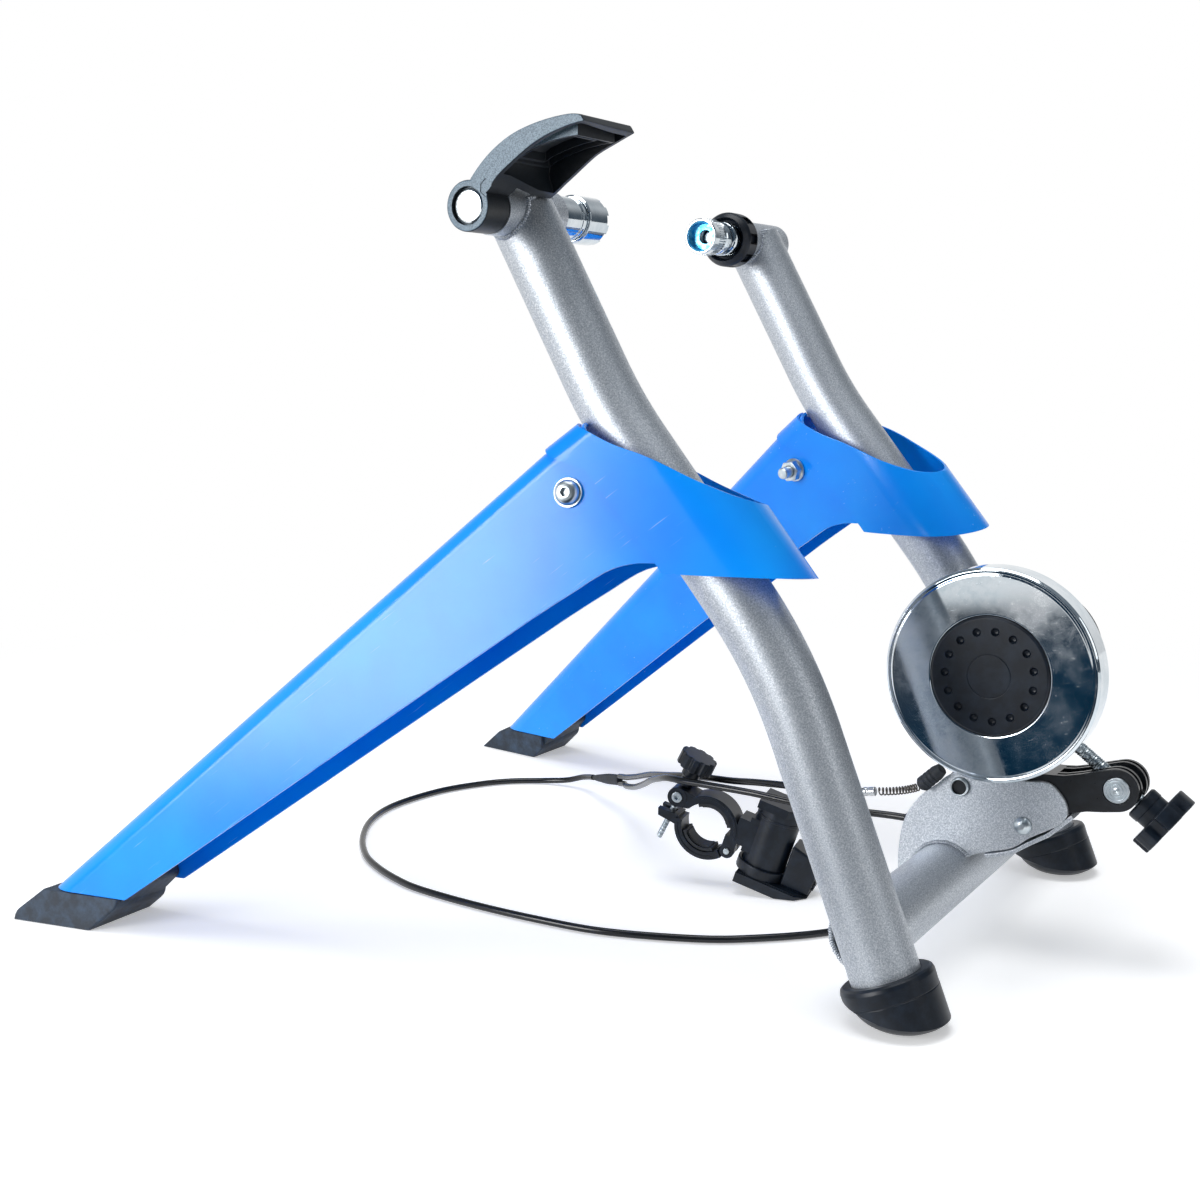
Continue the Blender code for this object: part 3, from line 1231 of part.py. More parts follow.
def jaw_band(outer, inner, start, end, steps=11):
    """A band of a ring between two angles, as one outline."""
    return [*arc((0, 0), outer, start, end, steps), *arc((0, 0), inner, end, start, steps)]


def fixed_jaw(frame):
    """The clamp's fixed jaw: from the swing pin's eye over the bar and down to the jaw hinge."""
    width = 2 * JAW_HALF_WIDTH
    jaw = flat("upper_jaw", [jaw_band(JAW_OUTER, JAW_INNER, -12.0, 152.0)], width, frame, side_view(0.0))
    round_end = arc(JAW_HINGE, 0.0048, 200.0, 380.0, 6)
    knuckle_outline = [(0.0135, 0.001), (0.0135, -0.006), *round_end, (0.0225, 0.001)]
    knuckle = flat("jaw_knuckle", [knuckle_outline], width, frame, side_view(0.0))
    eye = flat("jaw_eye", [circle(SWING_PIN, 0.0066, COARSE)], width, frame, side_view(0.0))
    neck = block("jaw_neck", (0.0190, -JAW_HALF_WIDTH, -0.002), (0.0290, JAW_HALF_WIDTH, 0.016), frame)
    return jaw, knuckle, eye, neck


def jaw_openings(frame):
    gap = block("knuckle_gap", (0.0125, -0.0043, -0.0160), (0.0245, 0.0043, -0.0036), frame)
    hinge_bore = rod("hinge_bore", 0.0020 + GAP, (JAW_HINGE[0], -0.02, JAW_HINGE[1]),
                     (JAW_HINGE[0], 0.02, JAW_HINGE[1]), frame, steps=SPARSE)
    pin_bore = rod("swing_bore", 0.0035 + GAP, (SWING_PIN[0], -0.02, SWING_PIN[1]),
                   (SWING_PIN[0], 0.02, SWING_PIN[1]), frame, steps=SPARSE)
    return gap, hinge_bore, pin_bore, thumb_clearance("jaw_thumb_slot", frame)


def thumb_axis():
    return Vector((math.sin(THUMB_TILT), 0.0, math.cos(THUMB_TILT)))


def thumb_clearance(name, frame):
    """The hole along the thumb screw's axis."""
    centre = Vector((SWING_PIN[0], 0.0, SWING_PIN[1]))
    return rod(name, THUMB_SCREW_RADIUS + GAP + 0.0001, centre - thumb_axis() * 0.012,
               centre + thumb_axis() * 0.012, frame, steps=SPARSE)


def jaw_hinge_pin(frame):
    x, z = JAW_HINGE
    reach = JAW_HALF_WIDTH + 0.001
    piece = rod("jaw_hinge_pin", 0.0020, (x, -reach, z), (x, reach, z), frame, steps=SPARSE)
    return finish(piece, "zinc")


def swing_pin(frame):
    """The cross pin in the jaw's eye, drilled for the thumb screw."""
    x, z = SWING_PIN
    reach = JAW_HALF_WIDTH + 0.001
    piece = rod("swing_pin", 0.0035, (x, -reach, z), (x, reach, z), frame, steps=SPARSE)
    cut(piece, thumb_clearance("pin_thumb_hole", frame))
    return finish(piece, "zinc")


def jaw_pad(name, frame, start, end, base=Matrix()):
    outer = JAW_INNER - GAP - 0.0001
    width = 2 * JAW_HALF_WIDTH - 0.002
    piece = flat(name, [jaw_band(outer, PAD_INNER, start, end, 9)], width, frame, base @ side_view(0.0))
    return finish(piece, "black_rubber")


JAW_SHIFT = Matrix.Translation((-JAW_HINGE[0], 0.0, -JAW_HINGE[1]))


def jaw_pivot(frame):
    return empty("jaw_pivot", Matrix.Translation((JAW_HINGE[0], 0.0, JAW_HINGE[1])), frame)


def lower_jaw(pivot):
    """The clamp's swinging jaw, from its knuckle under the bar to the forked tab."""
    shift, width = JAW_SHIFT, 2 * JAW_HALF_WIDTH
    middle = shift @ side_view(0.0)
    piece = flat("lower_jaw", [jaw_band(JAW_OUTER, JAW_INNER, -176.0, -44.0)], width, pivot, middle)
    round_end = arc(JAW_HINGE, 0.0044, -80.0, 150.0, 7)
    knuckle_outline = [(0.0110, -0.0185), *round_end, (0.0105, -0.0125)]
    knuckle = flat("lower_knuckle", [knuckle_outline], 0.0078, pivot, middle)
    tab = flat("jaw_tab", [[(-0.0195, 0.0005), (-0.0185, -0.0065), (-0.0330, -0.0048), (-0.0345, 0.0000)]],
               width - 0.002, pivot, middle)
    fuse(piece, knuckle, tab)
    fork = block("tab_fork", (-0.0400, -0.0026, -0.0120), (-0.0232, 0.0026, 0.0080), pivot, shift)
    bore = rod("lower_hinge_bore", 0.0020 + GAP, (0, -0.02, 0), (0, 0.02, 0), pivot, steps=SPARSE)
    cut(piece, fork, bore)
    return finish(piece, "black_plastic")


def thumb_pivot(frame):
    centre = Vector((SWING_PIN[0], 0.0, SWING_PIN[1]))
    return empty("thumb_pivot", along(centre, thumb_axis()), frame)


def thumb_screw(pivot):
    piece = rod("thumb_screw", THUMB_SCREW_RADIUS, (0, 0, -0.0345), (0, 0, 0.0200), pivot, steps=SPARSE)
    return finish(piece, "zinc")


def thumb_knob(pivot):
    """A fluted thumb knob on a stepped hub."""
    piece = flat("thumb_knob", [lobed(THUMB_KNOB_RADIUS, 0.0014, 10)], 0.0095, pivot,
                 Matrix.Translation((0, 0, 0.0250)))
    hub = turned("thumb_hub", [(0.0, 0.0072), (0.0048, 0.0072), (0.0048, 0.013), (0.0062, 0.0145),
                               (0.0062, 0.0215), (0.0, 0.0215)], pivot, Matrix.Identity(4), steps=COARSE)
    fuse(piece, hub)
    bore = rod("thumb_bore", THUMB_SCREW_RADIUS + GAP, (0, 0, 0.0), (0, 0, 0.0200 + GAP), pivot, steps=SPARSE)
    cut(piece, bore)
    return finish(piece, "black_plastic")


def chamfered(span, half, chamfer):
    """A rectangle's outline with its two far corners cut off."""
    near, far = span
    return [(near, -half), (far - chamfer, -half), (far, -half + chamfer), (far, half - chamfer),
            (far - chamfer, half), (near, half)]


def shifter_body(frame):
    """The shifter's drum between a top plate and a base, in one piece with the clamp's fixed jaw."""
    depth = BODY_HALF_DEPTH
    piece = flat("shifter_body", [chamfered(BASE_P, depth, BASE_CHAMFER)], BASE_Q[1] - BASE_Q[0], frame,
                 Matrix.Translation((0, 0, (BASE_Q[0] + BASE_Q[1]) / 2)))
    top_outline = chamfered(TOP_PLATE_P, depth - TOP_PLATE_INSET, TOP_PLATE_CHAMFER)
    top = flat("shifter_top", [top_outline], TOP_PLATE_Q[1] - TOP_PLATE_Q[0], frame,
               Matrix.Translation((0, 0, (TOP_PLATE_Q[0] + TOP_PLATE_Q[1]) / 2)))
    ends = (DRUM_P, 0, BASE_Q[1] - 0.001), (DRUM_P, 0, TOP_PLATE_Q[0] + 0.001)
    drum = rod("shifter_drum", DRUM_RADIUS, *ends, frame, steps=COARSE)
    neck = block("shifter_neck", (0.0265, -0.011, -0.004), (0.034, 0.011, 0.020), frame)
    fuse(piece, top, drum, neck, *fixed_jaw(frame))
    floor = block("shifter_floor", (0.03, -0.06, -0.03), (0.16, 0.08, GAP), ROOT)
    cut(piece, floor, *jaw_openings(frame))
    return finish(piece, "black_plastic")


def paddle_pivot(frame):
    return empty("paddle_pivot", Matrix.Translation((DRUM_P, 0.0, 0.0)), frame)


def shifter_paddle(pivot):
    """The lever: a ring round the drum's foot and a thumb paddle standing out from it."""
    low = BASE_Q[1] + GAP
    ring = rod("shifter_paddle", DRUM_RADIUS + 0.0025, (0, 0, low), (0, 0, low + 0.007), pivot,
               bore=DRUM_RADIUS + GAP)
    outline = [(0.0155, low), (0.0345, low), (0.0362, 0.001), (0.0340, 0.0075), (0.0155, 0.0125)]
    thumb = flat("paddle_thumb", [outline], 0.020, pivot, side_view(0.0))
    fuse(ring, thumb)
    return finish(ring, "black_plastic")


# Cable
def ferrule():
    piece = rod("cable_ferrule", FERRULE_RADIUS, FERRULE_START, FERRULE_END, ROOT, steps=SPARSE)
    return finish(piece, "aluminium")


def spring_centre(share):
    """A point of the sagging line between ferrule and boot, and its direction."""
    start, end = FERRULE_END, BOOT_START
    bend_point = Vector((0.1850, -0.0160, 0.0865))
    a = start.lerp(bend_point, share)
    b = bend_point.lerp(end, share)
    return a.lerp(b, share), (b - a).normalized()


def boot_spring():
    """The coil over the inner wire, one unbroken wire whose ends run straight for one diameter."""
    per_turn = 8
    total = SPRING_TURNS * per_turn
    wire = 2 * SPRING_WIRE_RADIUS
    run = (BOOT_START - FERRULE_END).length
    first_margin = (wire + GAP + 0.0002) / run
    last_margin = (wire + GAP + 0.0010) / run
    points = []
    for i in range(total + 1):
        share = first_margin + (1 - first_margin - last_margin) * i / total
        centre, direction = spring_centre(share)
        out = direction.cross(SIDEWAYS).normalized()
        angle = math.tau * i / per_turn
        points.append(centre + SPRING_MEAN_RADIUS * (math.cos(angle) * SIDEWAYS + math.sin(angle) * out))
    first, last = spring_centre(0.0)[1], spring_centre(1.0)[1]
    points = [points[0] - first * wire, *points, points[-1] + last * wire]
    piece = tube("boot_spring", points, SPRING_WIRE_RADIUS, ROOT, sides=6)
    least = min((points[i] - points[j]).length for i in range(len(points))
                for j in range(i + per_turn // 2, len(points))) - wire
    print("spring: least gap between turns %.2f mm" % (least * 1000))
    return finish(piece, "zinc")


def boot(name, start, end, radius):
    length = (end - start).length
    profile = [(0.0, 0.0), (radius * 0.86, 0.0), (radius, 0.0015), (radius, length * 0.7),
               (radius * 0.8, length), (0.0, length)]
    piece = turned(name, profile, ROOT, along(start, end - start), steps=SPARSE)
    return finish(piece, "black_rubber")


def splitter_axis():
    return (SPLITTER_MOUTH - SPLITTER_TIP).normalized()


def splitter_port(sign):
    """Where one strand leaves the splitter's wide end."""
    across = UP - splitter_axis() * UP.dot(splitter_axis())
    return SPLITTER_MOUTH + across.normalized() * sign * SPLITTER_SPREAD / 2


def cable_splitter():
    """The tapered block where the two strands become one housing."""
    axis = splitter_axis()
    across = (UP - axis * UP.dot(axis)).normalized()
    length = (SPLITTER_MOUTH - SPLITTER_TIP).length
    tall, slim = SPLITTER_SPREAD + 0.0030, 0.0034
    outline = [(0.0, -slim / 2), (length * 0.45, -tall * 0.42), (length, -tall / 2), (length, tall / 2),
               (length * 0.45, tall * 0.42), (0.0, slim / 2)]
    frame = axes(SPLITTER_TIP, axis, across, axis.cross(across))
    piece = flat("cable_splitter", [outline], 0.0056, ROOT, frame)
    return finish(piece, "black_rubber")


UPPER_ROUTE = ((0.1300, -0.0130, 0.0795), (0.1050, -0.0070, 0.0770),
               (0.0800, -0.0005, 0.0740), (0.0600, 0.0060, 0.0707), (0.0400, 0.0125, 0.0683),
               (0.0200, 0.0190, 0.0655), (-0.0020, 0.0320, 0.0600), (-0.0300, 0.0560, 0.0510),
               (-0.0560, 0.0820, 0.0400), (-0.0750, 0.1010, 0.0325))
LOWER_ROUTE = ((0.1600, -0.0045, 0.0668), (0.1350, -0.0075, 0.0665),
               (0.1080, -0.0095, 0.0675), (0.0850, -0.0110, 0.0696), (0.0620, -0.0118, 0.0705),
               (0.0420, -0.0115, 0.0707), (0.0280, -0.0105, 0.0707), (0.0160, -0.0050, 0.0692),
               (0.0050, 0.0045, 0.0650), (-0.0080, 0.0180, 0.0590), (-0.0280, 0.0430, 0.0475),
               (-0.0530, 0.0740, 0.0345), (-0.0740, 0.0980, 0.0265))
MAIN_ROUTE = ((-0.1420, 0.1500, 0.0105), (-0.1560, 0.1560, 0.0058), (-0.1720, 0.1590, 0.0032),
              (-0.1885, 0.1510, 0.0025), (-0.2055, 0.1390, 0.0024), (-0.2220, 0.1190, 0.0024),
              (-0.2380, 0.0840, 0.0024), (-0.2435, 0.0353, 0.0024), (-0.2338, -0.0053, 0.0024),
              (-0.2108, -0.0438, 0.0024), (-0.1837, -0.0736, 0.0024), (-0.1600, -0.0905, 0.0024),
              (-0.1331, -0.1040, 0.0024), (-0.1067, -0.1125, 0.0024), (-0.0594, -0.1185, 0.0024),
              (-0.0093, -0.1200, 0.0024), (0.0361, -0.1165, 0.0024), (0.0893, -0.0985, 0.0024),
              (0.1200, -0.0786, 0.0024), (0.1480, -0.0520, 0.0024), (0.1640, -0.0250, 0.0024),
              (0.1650, 0.0050, 0.0024), (0.1520, 0.0320, 0.0024), (0.1290, 0.0480, 0.0024),
              (0.1060, 0.0490, 0.0030))
SHIFTER_ENTRY = (0.060, 0.018, -0.0195)


def strand(name, start, start_direction, route, end, end_direction):
    """A cable housing with straight ends, a third of a millimetre short of what it meets."""
    first = start + start_direction * GAP
    last = end - end_direction * GAP
    lead = 4 * CABLE_RADIUS
    points = [first + start_direction * lead, *[Vector(p) for p in route], last - end_direction * lead]
    path = [first, *smooth_path(points, 6 * CABLE_RADIUS), last]
    length = sum((b - a).length for a, b in zip(path, path[1:]))
    print("%s: %.3f m in %d points" % (name, length, len(path)))
    piece = tube(name, path, CABLE_RADIUS, ROOT, sides=8)
    return finish(piece, "black_plastic")


def cables():
    inward = -splitter_axis()
    strand("cable_upper", FERRULE_START, (FERRULE_START - FERRULE_END).normalized(), UPPER_ROUTE,
           splitter_port(1), inward)
    strand("cable_lower", LOWER_BOOT_START, (LOWER_BOOT_START - LOWER_BOOT_END).normalized(), LOWER_ROUTE,
           splitter_port(-1), inward)
    entry = shifter_axes() @ Vector(SHIFTER_ENTRY)
    into = -(shifter_axes().to_3x3() @ SIDEWAYS)
    strand("cable_main", SPLITTER_TIP, inward, MAIN_ROUTE, entry, into)


# The whole trainer
def build_frame():
    side_tube("left_side_tube", -1)
    side_tube("right_side_tube", 1)
    cross_tube()
    rear_cap("left_rear_cap", -1)
    rear_cap("right_rear_cap", 1)
    axle_housing("left_axle_housing", LEFT_HOUSING, HOUSING_BORE)
    axle_housing("right_axle_housing", RIGHT_HOUSING, THREAD_RADIUS + GAP + 0.0001)
    for word, side in (("left", -1), ("right", 1)):
        fold_bolt(word + "_fold_bolt", side)
        fold_washer(word + "_fold_washer", side)
        fold_nut(word + "_fold_nut", side)
    brake_bracket()
    pivot_pin()
    bracket_screw()
    screw_arm()


def build_legs():
    for word, side in (("left", -1), ("right", 1)):
        pivot = leg_pivot(word + "_leg_pivot", side)
        leg_channel(word + "_leg_channel", pivot, side)
        collar(word + "_collar", pivot)
        front_foot(word + "_front_foot", pivot, side)


def build_axle_clamp():
    lever = axle_pivot("lever_pivot")
    clamp_lever(lever)
    lever_shaft(lever)
    slide = axle_pivot("cup_slide")
    piston(slide)
    axle_cup(slide)
    screw = axle_pivot("cone_pivot")
    cone_sleeve(screw)
    cone_core(screw)
    lock_ring(axle_pivot("lock_ring_pivot"))


def build_tension_screw():
    pivot = dowel_pivot()
    cross_dowel(pivot)
    rod_tip(pivot)
    threaded_rod(pivot)
    tension_knob(pivot)


def build_unit():
    pivot = unit_pivot()
    unit_frame(pivot)
    bearing("left_bearing", -0.0250, pivot)
    bearing("right_bearing", 0.0185, pivot)
    magnet_housing(pivot)
    spin = spin_pivot(pivot)
    roller(spin)
    flywheel(spin)
    flywheel_cap(spin)
    brake_disc(spin)
    magnet_carrier(spin)


def build_shifter():
    frame = empty("shifter_frame", shifter_axes(), ROOT)
    shifter_body(frame)
    jaw_pad("upper_pad", frame, 22.0, 128.0)
    jaw_hinge_pin(frame)
    swing_pin(frame)
    jaw = jaw_pivot(frame)
    lower_jaw(jaw)
    jaw_pad("lower_pad", jaw, -150.0, -56.0, JAW_SHIFT)
    thumb = thumb_pivot(frame)
    thumb_screw(thumb)
    thumb_knob(thumb)
    shifter_paddle(paddle_pivot(frame))


def build_cables():
    ferrule()
    boot_spring()
    boot("upper_boot", BOOT_START, BOOT_END, BOOT_RADIUS)
    boot("lower_boot", LOWER_BOOT_START, LOWER_BOOT_END, 0.0042)
    cable_splitter()
    cables()


build_frame()
build_legs()
build_axle_clamp()
build_tension_screw()
build_unit()
build_shifter()
build_cables()
bpy.context.view_layer.update()
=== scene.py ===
# %% [markdown]
# # A folding bike trainer
# A bicycle's rear axle is clamped between the two tubes at the top, and its tyre runs on a roller behind.
# A magnetic brake on the roller's spindle gives the drag, and a heavy chromed flywheel keeps it turning.
# The solids come in as a fixed frame. This lesson dresses them: it rebuilds what shows most with finer
# surfaces, adds threads, welds and knurls, and gives every piece a finish worked out from the real one.

# %% Load the fixed frame
import math

import bmesh
import bpy
from mathutils import Matrix, Vector


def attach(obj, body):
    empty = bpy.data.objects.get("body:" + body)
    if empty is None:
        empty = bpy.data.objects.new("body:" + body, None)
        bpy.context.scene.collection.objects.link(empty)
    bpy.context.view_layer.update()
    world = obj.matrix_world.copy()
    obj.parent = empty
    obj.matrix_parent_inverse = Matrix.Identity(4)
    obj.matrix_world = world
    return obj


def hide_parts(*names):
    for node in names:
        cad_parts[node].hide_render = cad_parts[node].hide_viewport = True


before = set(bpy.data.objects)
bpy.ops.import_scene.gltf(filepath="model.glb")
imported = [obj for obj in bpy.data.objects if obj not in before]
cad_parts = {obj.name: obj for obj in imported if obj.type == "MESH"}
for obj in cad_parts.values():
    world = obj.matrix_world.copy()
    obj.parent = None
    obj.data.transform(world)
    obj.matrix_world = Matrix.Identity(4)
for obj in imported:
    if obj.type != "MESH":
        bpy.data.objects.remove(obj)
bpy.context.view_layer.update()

# %% [markdown]
# ## Camera
# The picture was taken from the rider's left, a little above the axle, with a lens that sees about 41
# degrees. A camera is set by its place and the direction it looks in. A track quaternion turns one into
# the other.

# %% Camera
CAMERA_YAW, CAMERA_PITCH = math.radians(31.03), math.radians(8.80)
camera = bpy.data.objects.new("camera", bpy.data.cameras.new("camera"))
camera.data.lens, camera.data.sensor_width = 48.26, 36.0
camera.location = (0.48714, -0.9126, 0.3480)
look = Vector((-math.sin(CAMERA_YAW) * math.cos(CAMERA_PITCH), math.cos(CAMERA_YAW) * math.cos(CAMERA_PITCH),
               -math.sin(CAMERA_PITCH)))
camera.rotation_euler = look.to_track_quat("-Z", "Y").to_euler()
bpy.context.collection.objects.link(camera)
bpy.context.scene.camera = camera
print("camera: %.1f mm lens, %.2f m from the origin" % (camera.data.lens, camera.location.length))

# %% [markdown]
# ## Colours and material trees
# A colour picked on a screen is an sRGB value. Shaders add light, so they need it linear.
# Every finish below is a small tree of nodes. One function adds any node: it sets what is a plain value and
# links what is another node. Patterns read Object coordinates, so their sizes are real ones.

# %% Helpers for materials
MM = 0.001


def colour(code):
    """An sRGB hex code as a linear colour."""
    parts = [int(code[i:i + 2], 16) / 255 for i in (1, 3, 5)]
    return tuple(v / 12.92 if v <= 0.04045 else ((v + 0.055) / 1.055) ** 2.4 for v in parts) + (1.0,)


def feed(node, *values, **named):
    """Fills a node's inputs, in order or by name. A node or socket is linked, a hex code is a colour."""
    for key, value in (*enumerate(values), *named.items()):
        target = node.inputs[key.replace("_", " ") if isinstance(key, str) else key]
        if isinstance(value, bpy.types.Node):
            value = next(socket for socket in value.outputs if socket.enabled)
        if isinstance(value, bpy.types.NodeSocket):
            node.id_data.links.new(value, target)
        else:
            target.default_value = colour(value) if isinstance(value, str) else value


def add(tree, kind, *values, stops=(), **named):
    """Adds a node. Names with a capital are inputs and the others settings. Stops are a colour ramp's
    places, each with a grey or a hex code."""
    made = tree.nodes.new(kind)
    for key in [key for key in named if key[0].islower()]:
        setattr(made, key, named.pop(key))
    feed(made, *values, **named)
    for _ in stops[2:]:
        made.color_ramp.elements.new(0.5)
    for number, (place, shade) in enumerate(stops):
        made.color_ramp.elements[number].position = place
        shade = colour(shade) if isinstance(shade, str) else (shade, shade, shade, 1.0)
        made.color_ramp.elements[number].color = shade
    return made


def new_material(name, slot, **sockets):
    """A Principled material, with its tree, shader and Object coordinates. The slot is not used."""
    material = bpy.data.materials.new(name)
    material.use_nodes = True
    tree = material.node_tree
    shader = tree.nodes["Principled BSDF"]
    feed(shader, **sockets)
    return material, tree, shader, add(tree, "ShaderNodeTexCoord").outputs["Object"]


def brushed(tree, place, direction, along, across):
    """Noise drawn out along one direction, as rubs and fine scratches are. Its sizes are in millimetres."""
    turn = Vector(direction).to_track_quat("X", "Z").inverted().to_euler()
    turned = add(tree, "ShaderNodeMapping", place, Rotation=tuple(turn))
    sized = add(tree, "ShaderNodeMapping", turned, Scale=(1000 / along, 1000 / across, 1000 / across))
    return add(tree, "ShaderNodeTexNoise", sized, Scale=1.0, Detail=3.0)


# %% [markdown]
# ## Silver powder coat
# The tubes are steel with a silver powder coat: flakes of aluminium in a clear binder, baked on.
# Close up it is grainy, bright flakes beside darker pits, with a soft broad highlight.
# A noise 0.8 mm across carries the flakes, coarser than they are so that they show. Its bright half is
# smoother than its dark half. A coarser noise breaks the coat in dark specks, which are dust and small chips.

# %% Silver powder coat
SILVER, tree, shader, place = new_material("silver_powder_coat", "silver_powder_coat", Metallic=0.75)
flakes = add(tree, "ShaderNodeTexNoise", place, Scale=1000 / 0.8, Detail=3.0, Roughness=0.7)
tint = add(tree, "ShaderNodeValToRGB", flakes, stops=((0.3, "#969ea8"), (0.5, "#bcc2c9"), (0.64, "#e2e5e9")))
chips = add(tree, "ShaderNodeTexNoise", place, Scale=1000 / 4, Detail=6.0, Roughness=0.85)
chipped = add(tree, "ShaderNodeValToRGB", chips, stops=((0.665, 0.0), (0.70, 1.0)))
mixed = add(tree, "ShaderNodeMix", Factor=chipped, A=tint, B="#4a4c50", data_type="RGBA")
rough = add(tree, "ShaderNodeValToRGB", flakes, stops=((0.3, 0.56), (0.65, 0.40)))
relief = add(tree, "ShaderNodeBump", 0.4, 0.05 * MM, Height=flakes)
feed(shader, Base_Color=mixed, Roughness=rough, Normal=relief)

# %% [markdown]
# ## Blue gloss enamel
# The legs are pressed steel in bright blue enamel. It is glossy, so it mirrors the studio as a pale
# sheen, and the sheen shows every fine rub along the leg. Rubbed-through spots are paler, never another
# colour.

# %% Blue gloss enamel
BLUE, tree, shader, place = new_material("blue_gloss_enamel", "blue_enamel", IOR=1.5, Specular_IOR_Level=0.42)
cloud = add(tree, "ShaderNodeTexNoise", place, Scale=1000 / 60, Detail=3.0)
body = add(tree, "ShaderNodeValToRGB", cloud, stops=((0.3, "#0086fa"), (0.7, "#0098ff")))
rub = brushed(tree, place, (-0.76, -0.22, -0.61), 45, 1.6)
lines = add(tree, "ShaderNodeValToRGB", rub, stops=((0.66, 0.0), (0.74, 1.0)))
where = add(tree, "ShaderNodeTexNoise", place, Scale=1000 / 34)
patch = add(tree, "ShaderNodeValToRGB", where, stops=((0.52, 0.0), (0.66, 0.75)))
scuff = add(tree, "ShaderNodeMath", lines, patch, operation="MULTIPLY")
mixed = add(tree, "ShaderNodeMix", Factor=scuff, A=body, B="#7ec0fa", data_type="RGBA")
rough = add(tree, "ShaderNodeMath", scuff, 0.35, 0.20, operation="MULTIPLY_ADD")
peel = add(tree, "ShaderNodeTexNoise", place, Scale=1000 / 3, Detail=1.0)
relief = add(tree, "ShaderNodeBump", 0.25, 0.05 * MM, Height=peel)
feed(shader, Base_Color=mixed, Roughness=rough, Normal=relief)

# %% [markdown]
# ## Chrome
# The flywheel and the clamp's cups are steel, polished and chromed. Chrome is a neutral mirror, a little
# cool. What tells the eye that it is metal and not glass is its wear: hazy patches, with fine scratches
# and specks where the mirror is rougher.

# %% Mirror chrome
CHROME, tree, shader, place = new_material("mirror_chrome", "chrome", Metallic=1.0)
haze = add(tree, "ShaderNodeTexNoise", place, Scale=1000 / 30, Detail=5.0, Roughness=0.65)
tint = add(tree, "ShaderNodeValToRGB", haze, stops=((0.35, "#bcc8d0"), (0.65, "#e4e9ed")))
rough = add(tree, "ShaderNodeValToRGB", haze, stops=((0.44, 0.05), (0.66, 0.15)))
fine = brushed(tree, place, (1.0, 0.0, 0.35), 9, 0.35)
speck = add(tree, "ShaderNodeTexNoise", place, Scale=1000 / 0.9, Roughness=0.6)
for wear, low, high, share in ((fine, 0.66, 0.78, 0.16), (speck, 0.64, 0.72, 0.14)):
    mask = add(tree, "ShaderNodeValToRGB", wear, stops=((low, 0.0), (high, share)))
    rough = add(tree, "ShaderNodeMath", rough, mask, operation="ADD")
feed(shader, Base_Color=tint, Roughness=rough)

# %% [markdown]
# ## Zinc plate and turned metal
# Bolts, washers and pins are steel with a bright zinc plate: softer than chrome and very slightly blue.
# The hollow end of the screwed sleeve is lined in a clear pale blue, and the cable's spring is bare steel,
# dark from its heat treatment. The roller and the brake disc are machined aluminium, with the faint marks of
# the tool.

# %% Zinc plate and machined aluminium
def metal(name, slot, size, detail, dark, light, roughness):
    """A metal whose tint drifts from patch to patch. The size of a patch is in millimetres."""
    material, tree, shader, place = new_material(name, slot, Metallic=1.0, Roughness=roughness)
    patch = add(tree, "ShaderNodeTexNoise", place, Scale=1000 / size, Detail=detail)
    feed(shader, Base_Color=add(tree, "ShaderNodeValToRGB", patch, stops=((0.35, dark), (0.65, light))))
    return material, tree, shader, patch


ZINC, tree, shader, patch = metal("zinc_plate", "zinc", 3.5, 4.0, "#b4bfc5", "#d3dade", 0.28)
feed(shader, Roughness=add(tree, "ShaderNodeValToRGB", patch, stops=((0.3, 0.38), (0.7, 0.28))))
PALE_BLUE_LINING = metal("pale_blue_lining", "zinc", 3.0, 4.0, "#2aa7dc", "#8fdcf5", 0.34)[0]
SPRING_STEEL = metal("spring_steel", "zinc", 2.0, 3.0, "#4b4642", "#7f7a74", 0.34)[0]

ALUMINIUM, tree, shader, place = new_material("machined_aluminium", "aluminium", Metallic=1.0, Roughness=0.32)
marks = brushed(tree, place, (0.0, 1.0, 0.0), 60, 0.8)
tint = add(tree, "ShaderNodeValToRGB", marks, stops=((0.3, "#b3b6b9"), (0.7, "#d8dadb")))
feed(shader, Base_Color=tint, Normal=add(tree, "ShaderNodeBump", 0.4, 0.05 * MM, Height=marks))

# %% [markdown]
# ## Plastics, rubber and black paint
# Moulded plastic copies its mould: the lever's has a spark-eroded grain, the knobs' a plain satin one.
# Rubber is duller and picks up dust, so its colour drifts towards grey in patches.
# The brake's steel frame is painted black, smoother than either.

# %% One recipe for the black finishes
def moulded(name, slot, dark, light, roughness, size, depth, strength, **sockets):
    """A dark moulded or painted surface: dust in patches, and a grain whose size is in millimetres."""
    material, tree, shader, place = new_material(name, slot, Roughness=roughness, **sockets)
    dust = add(tree, "ShaderNodeTexNoise", place, Scale=1000 / 9, Detail=5.0, Roughness=0.65)
    body = add(tree, "ShaderNodeValToRGB", dust, stops=((0.40, dark), (0.72, light)))
    texture = add(tree, "ShaderNodeTexNoise", place, Scale=1000 / size)
    rough = add(tree, "ShaderNodeMath", texture, 0.12, roughness - 0.06, operation="MULTIPLY_ADD")
    relief = add(tree, "ShaderNodeBump", strength, depth * MM, Height=texture)
    feed(shader, Base_Color=body, Roughness=rough, Normal=relief)
    return material


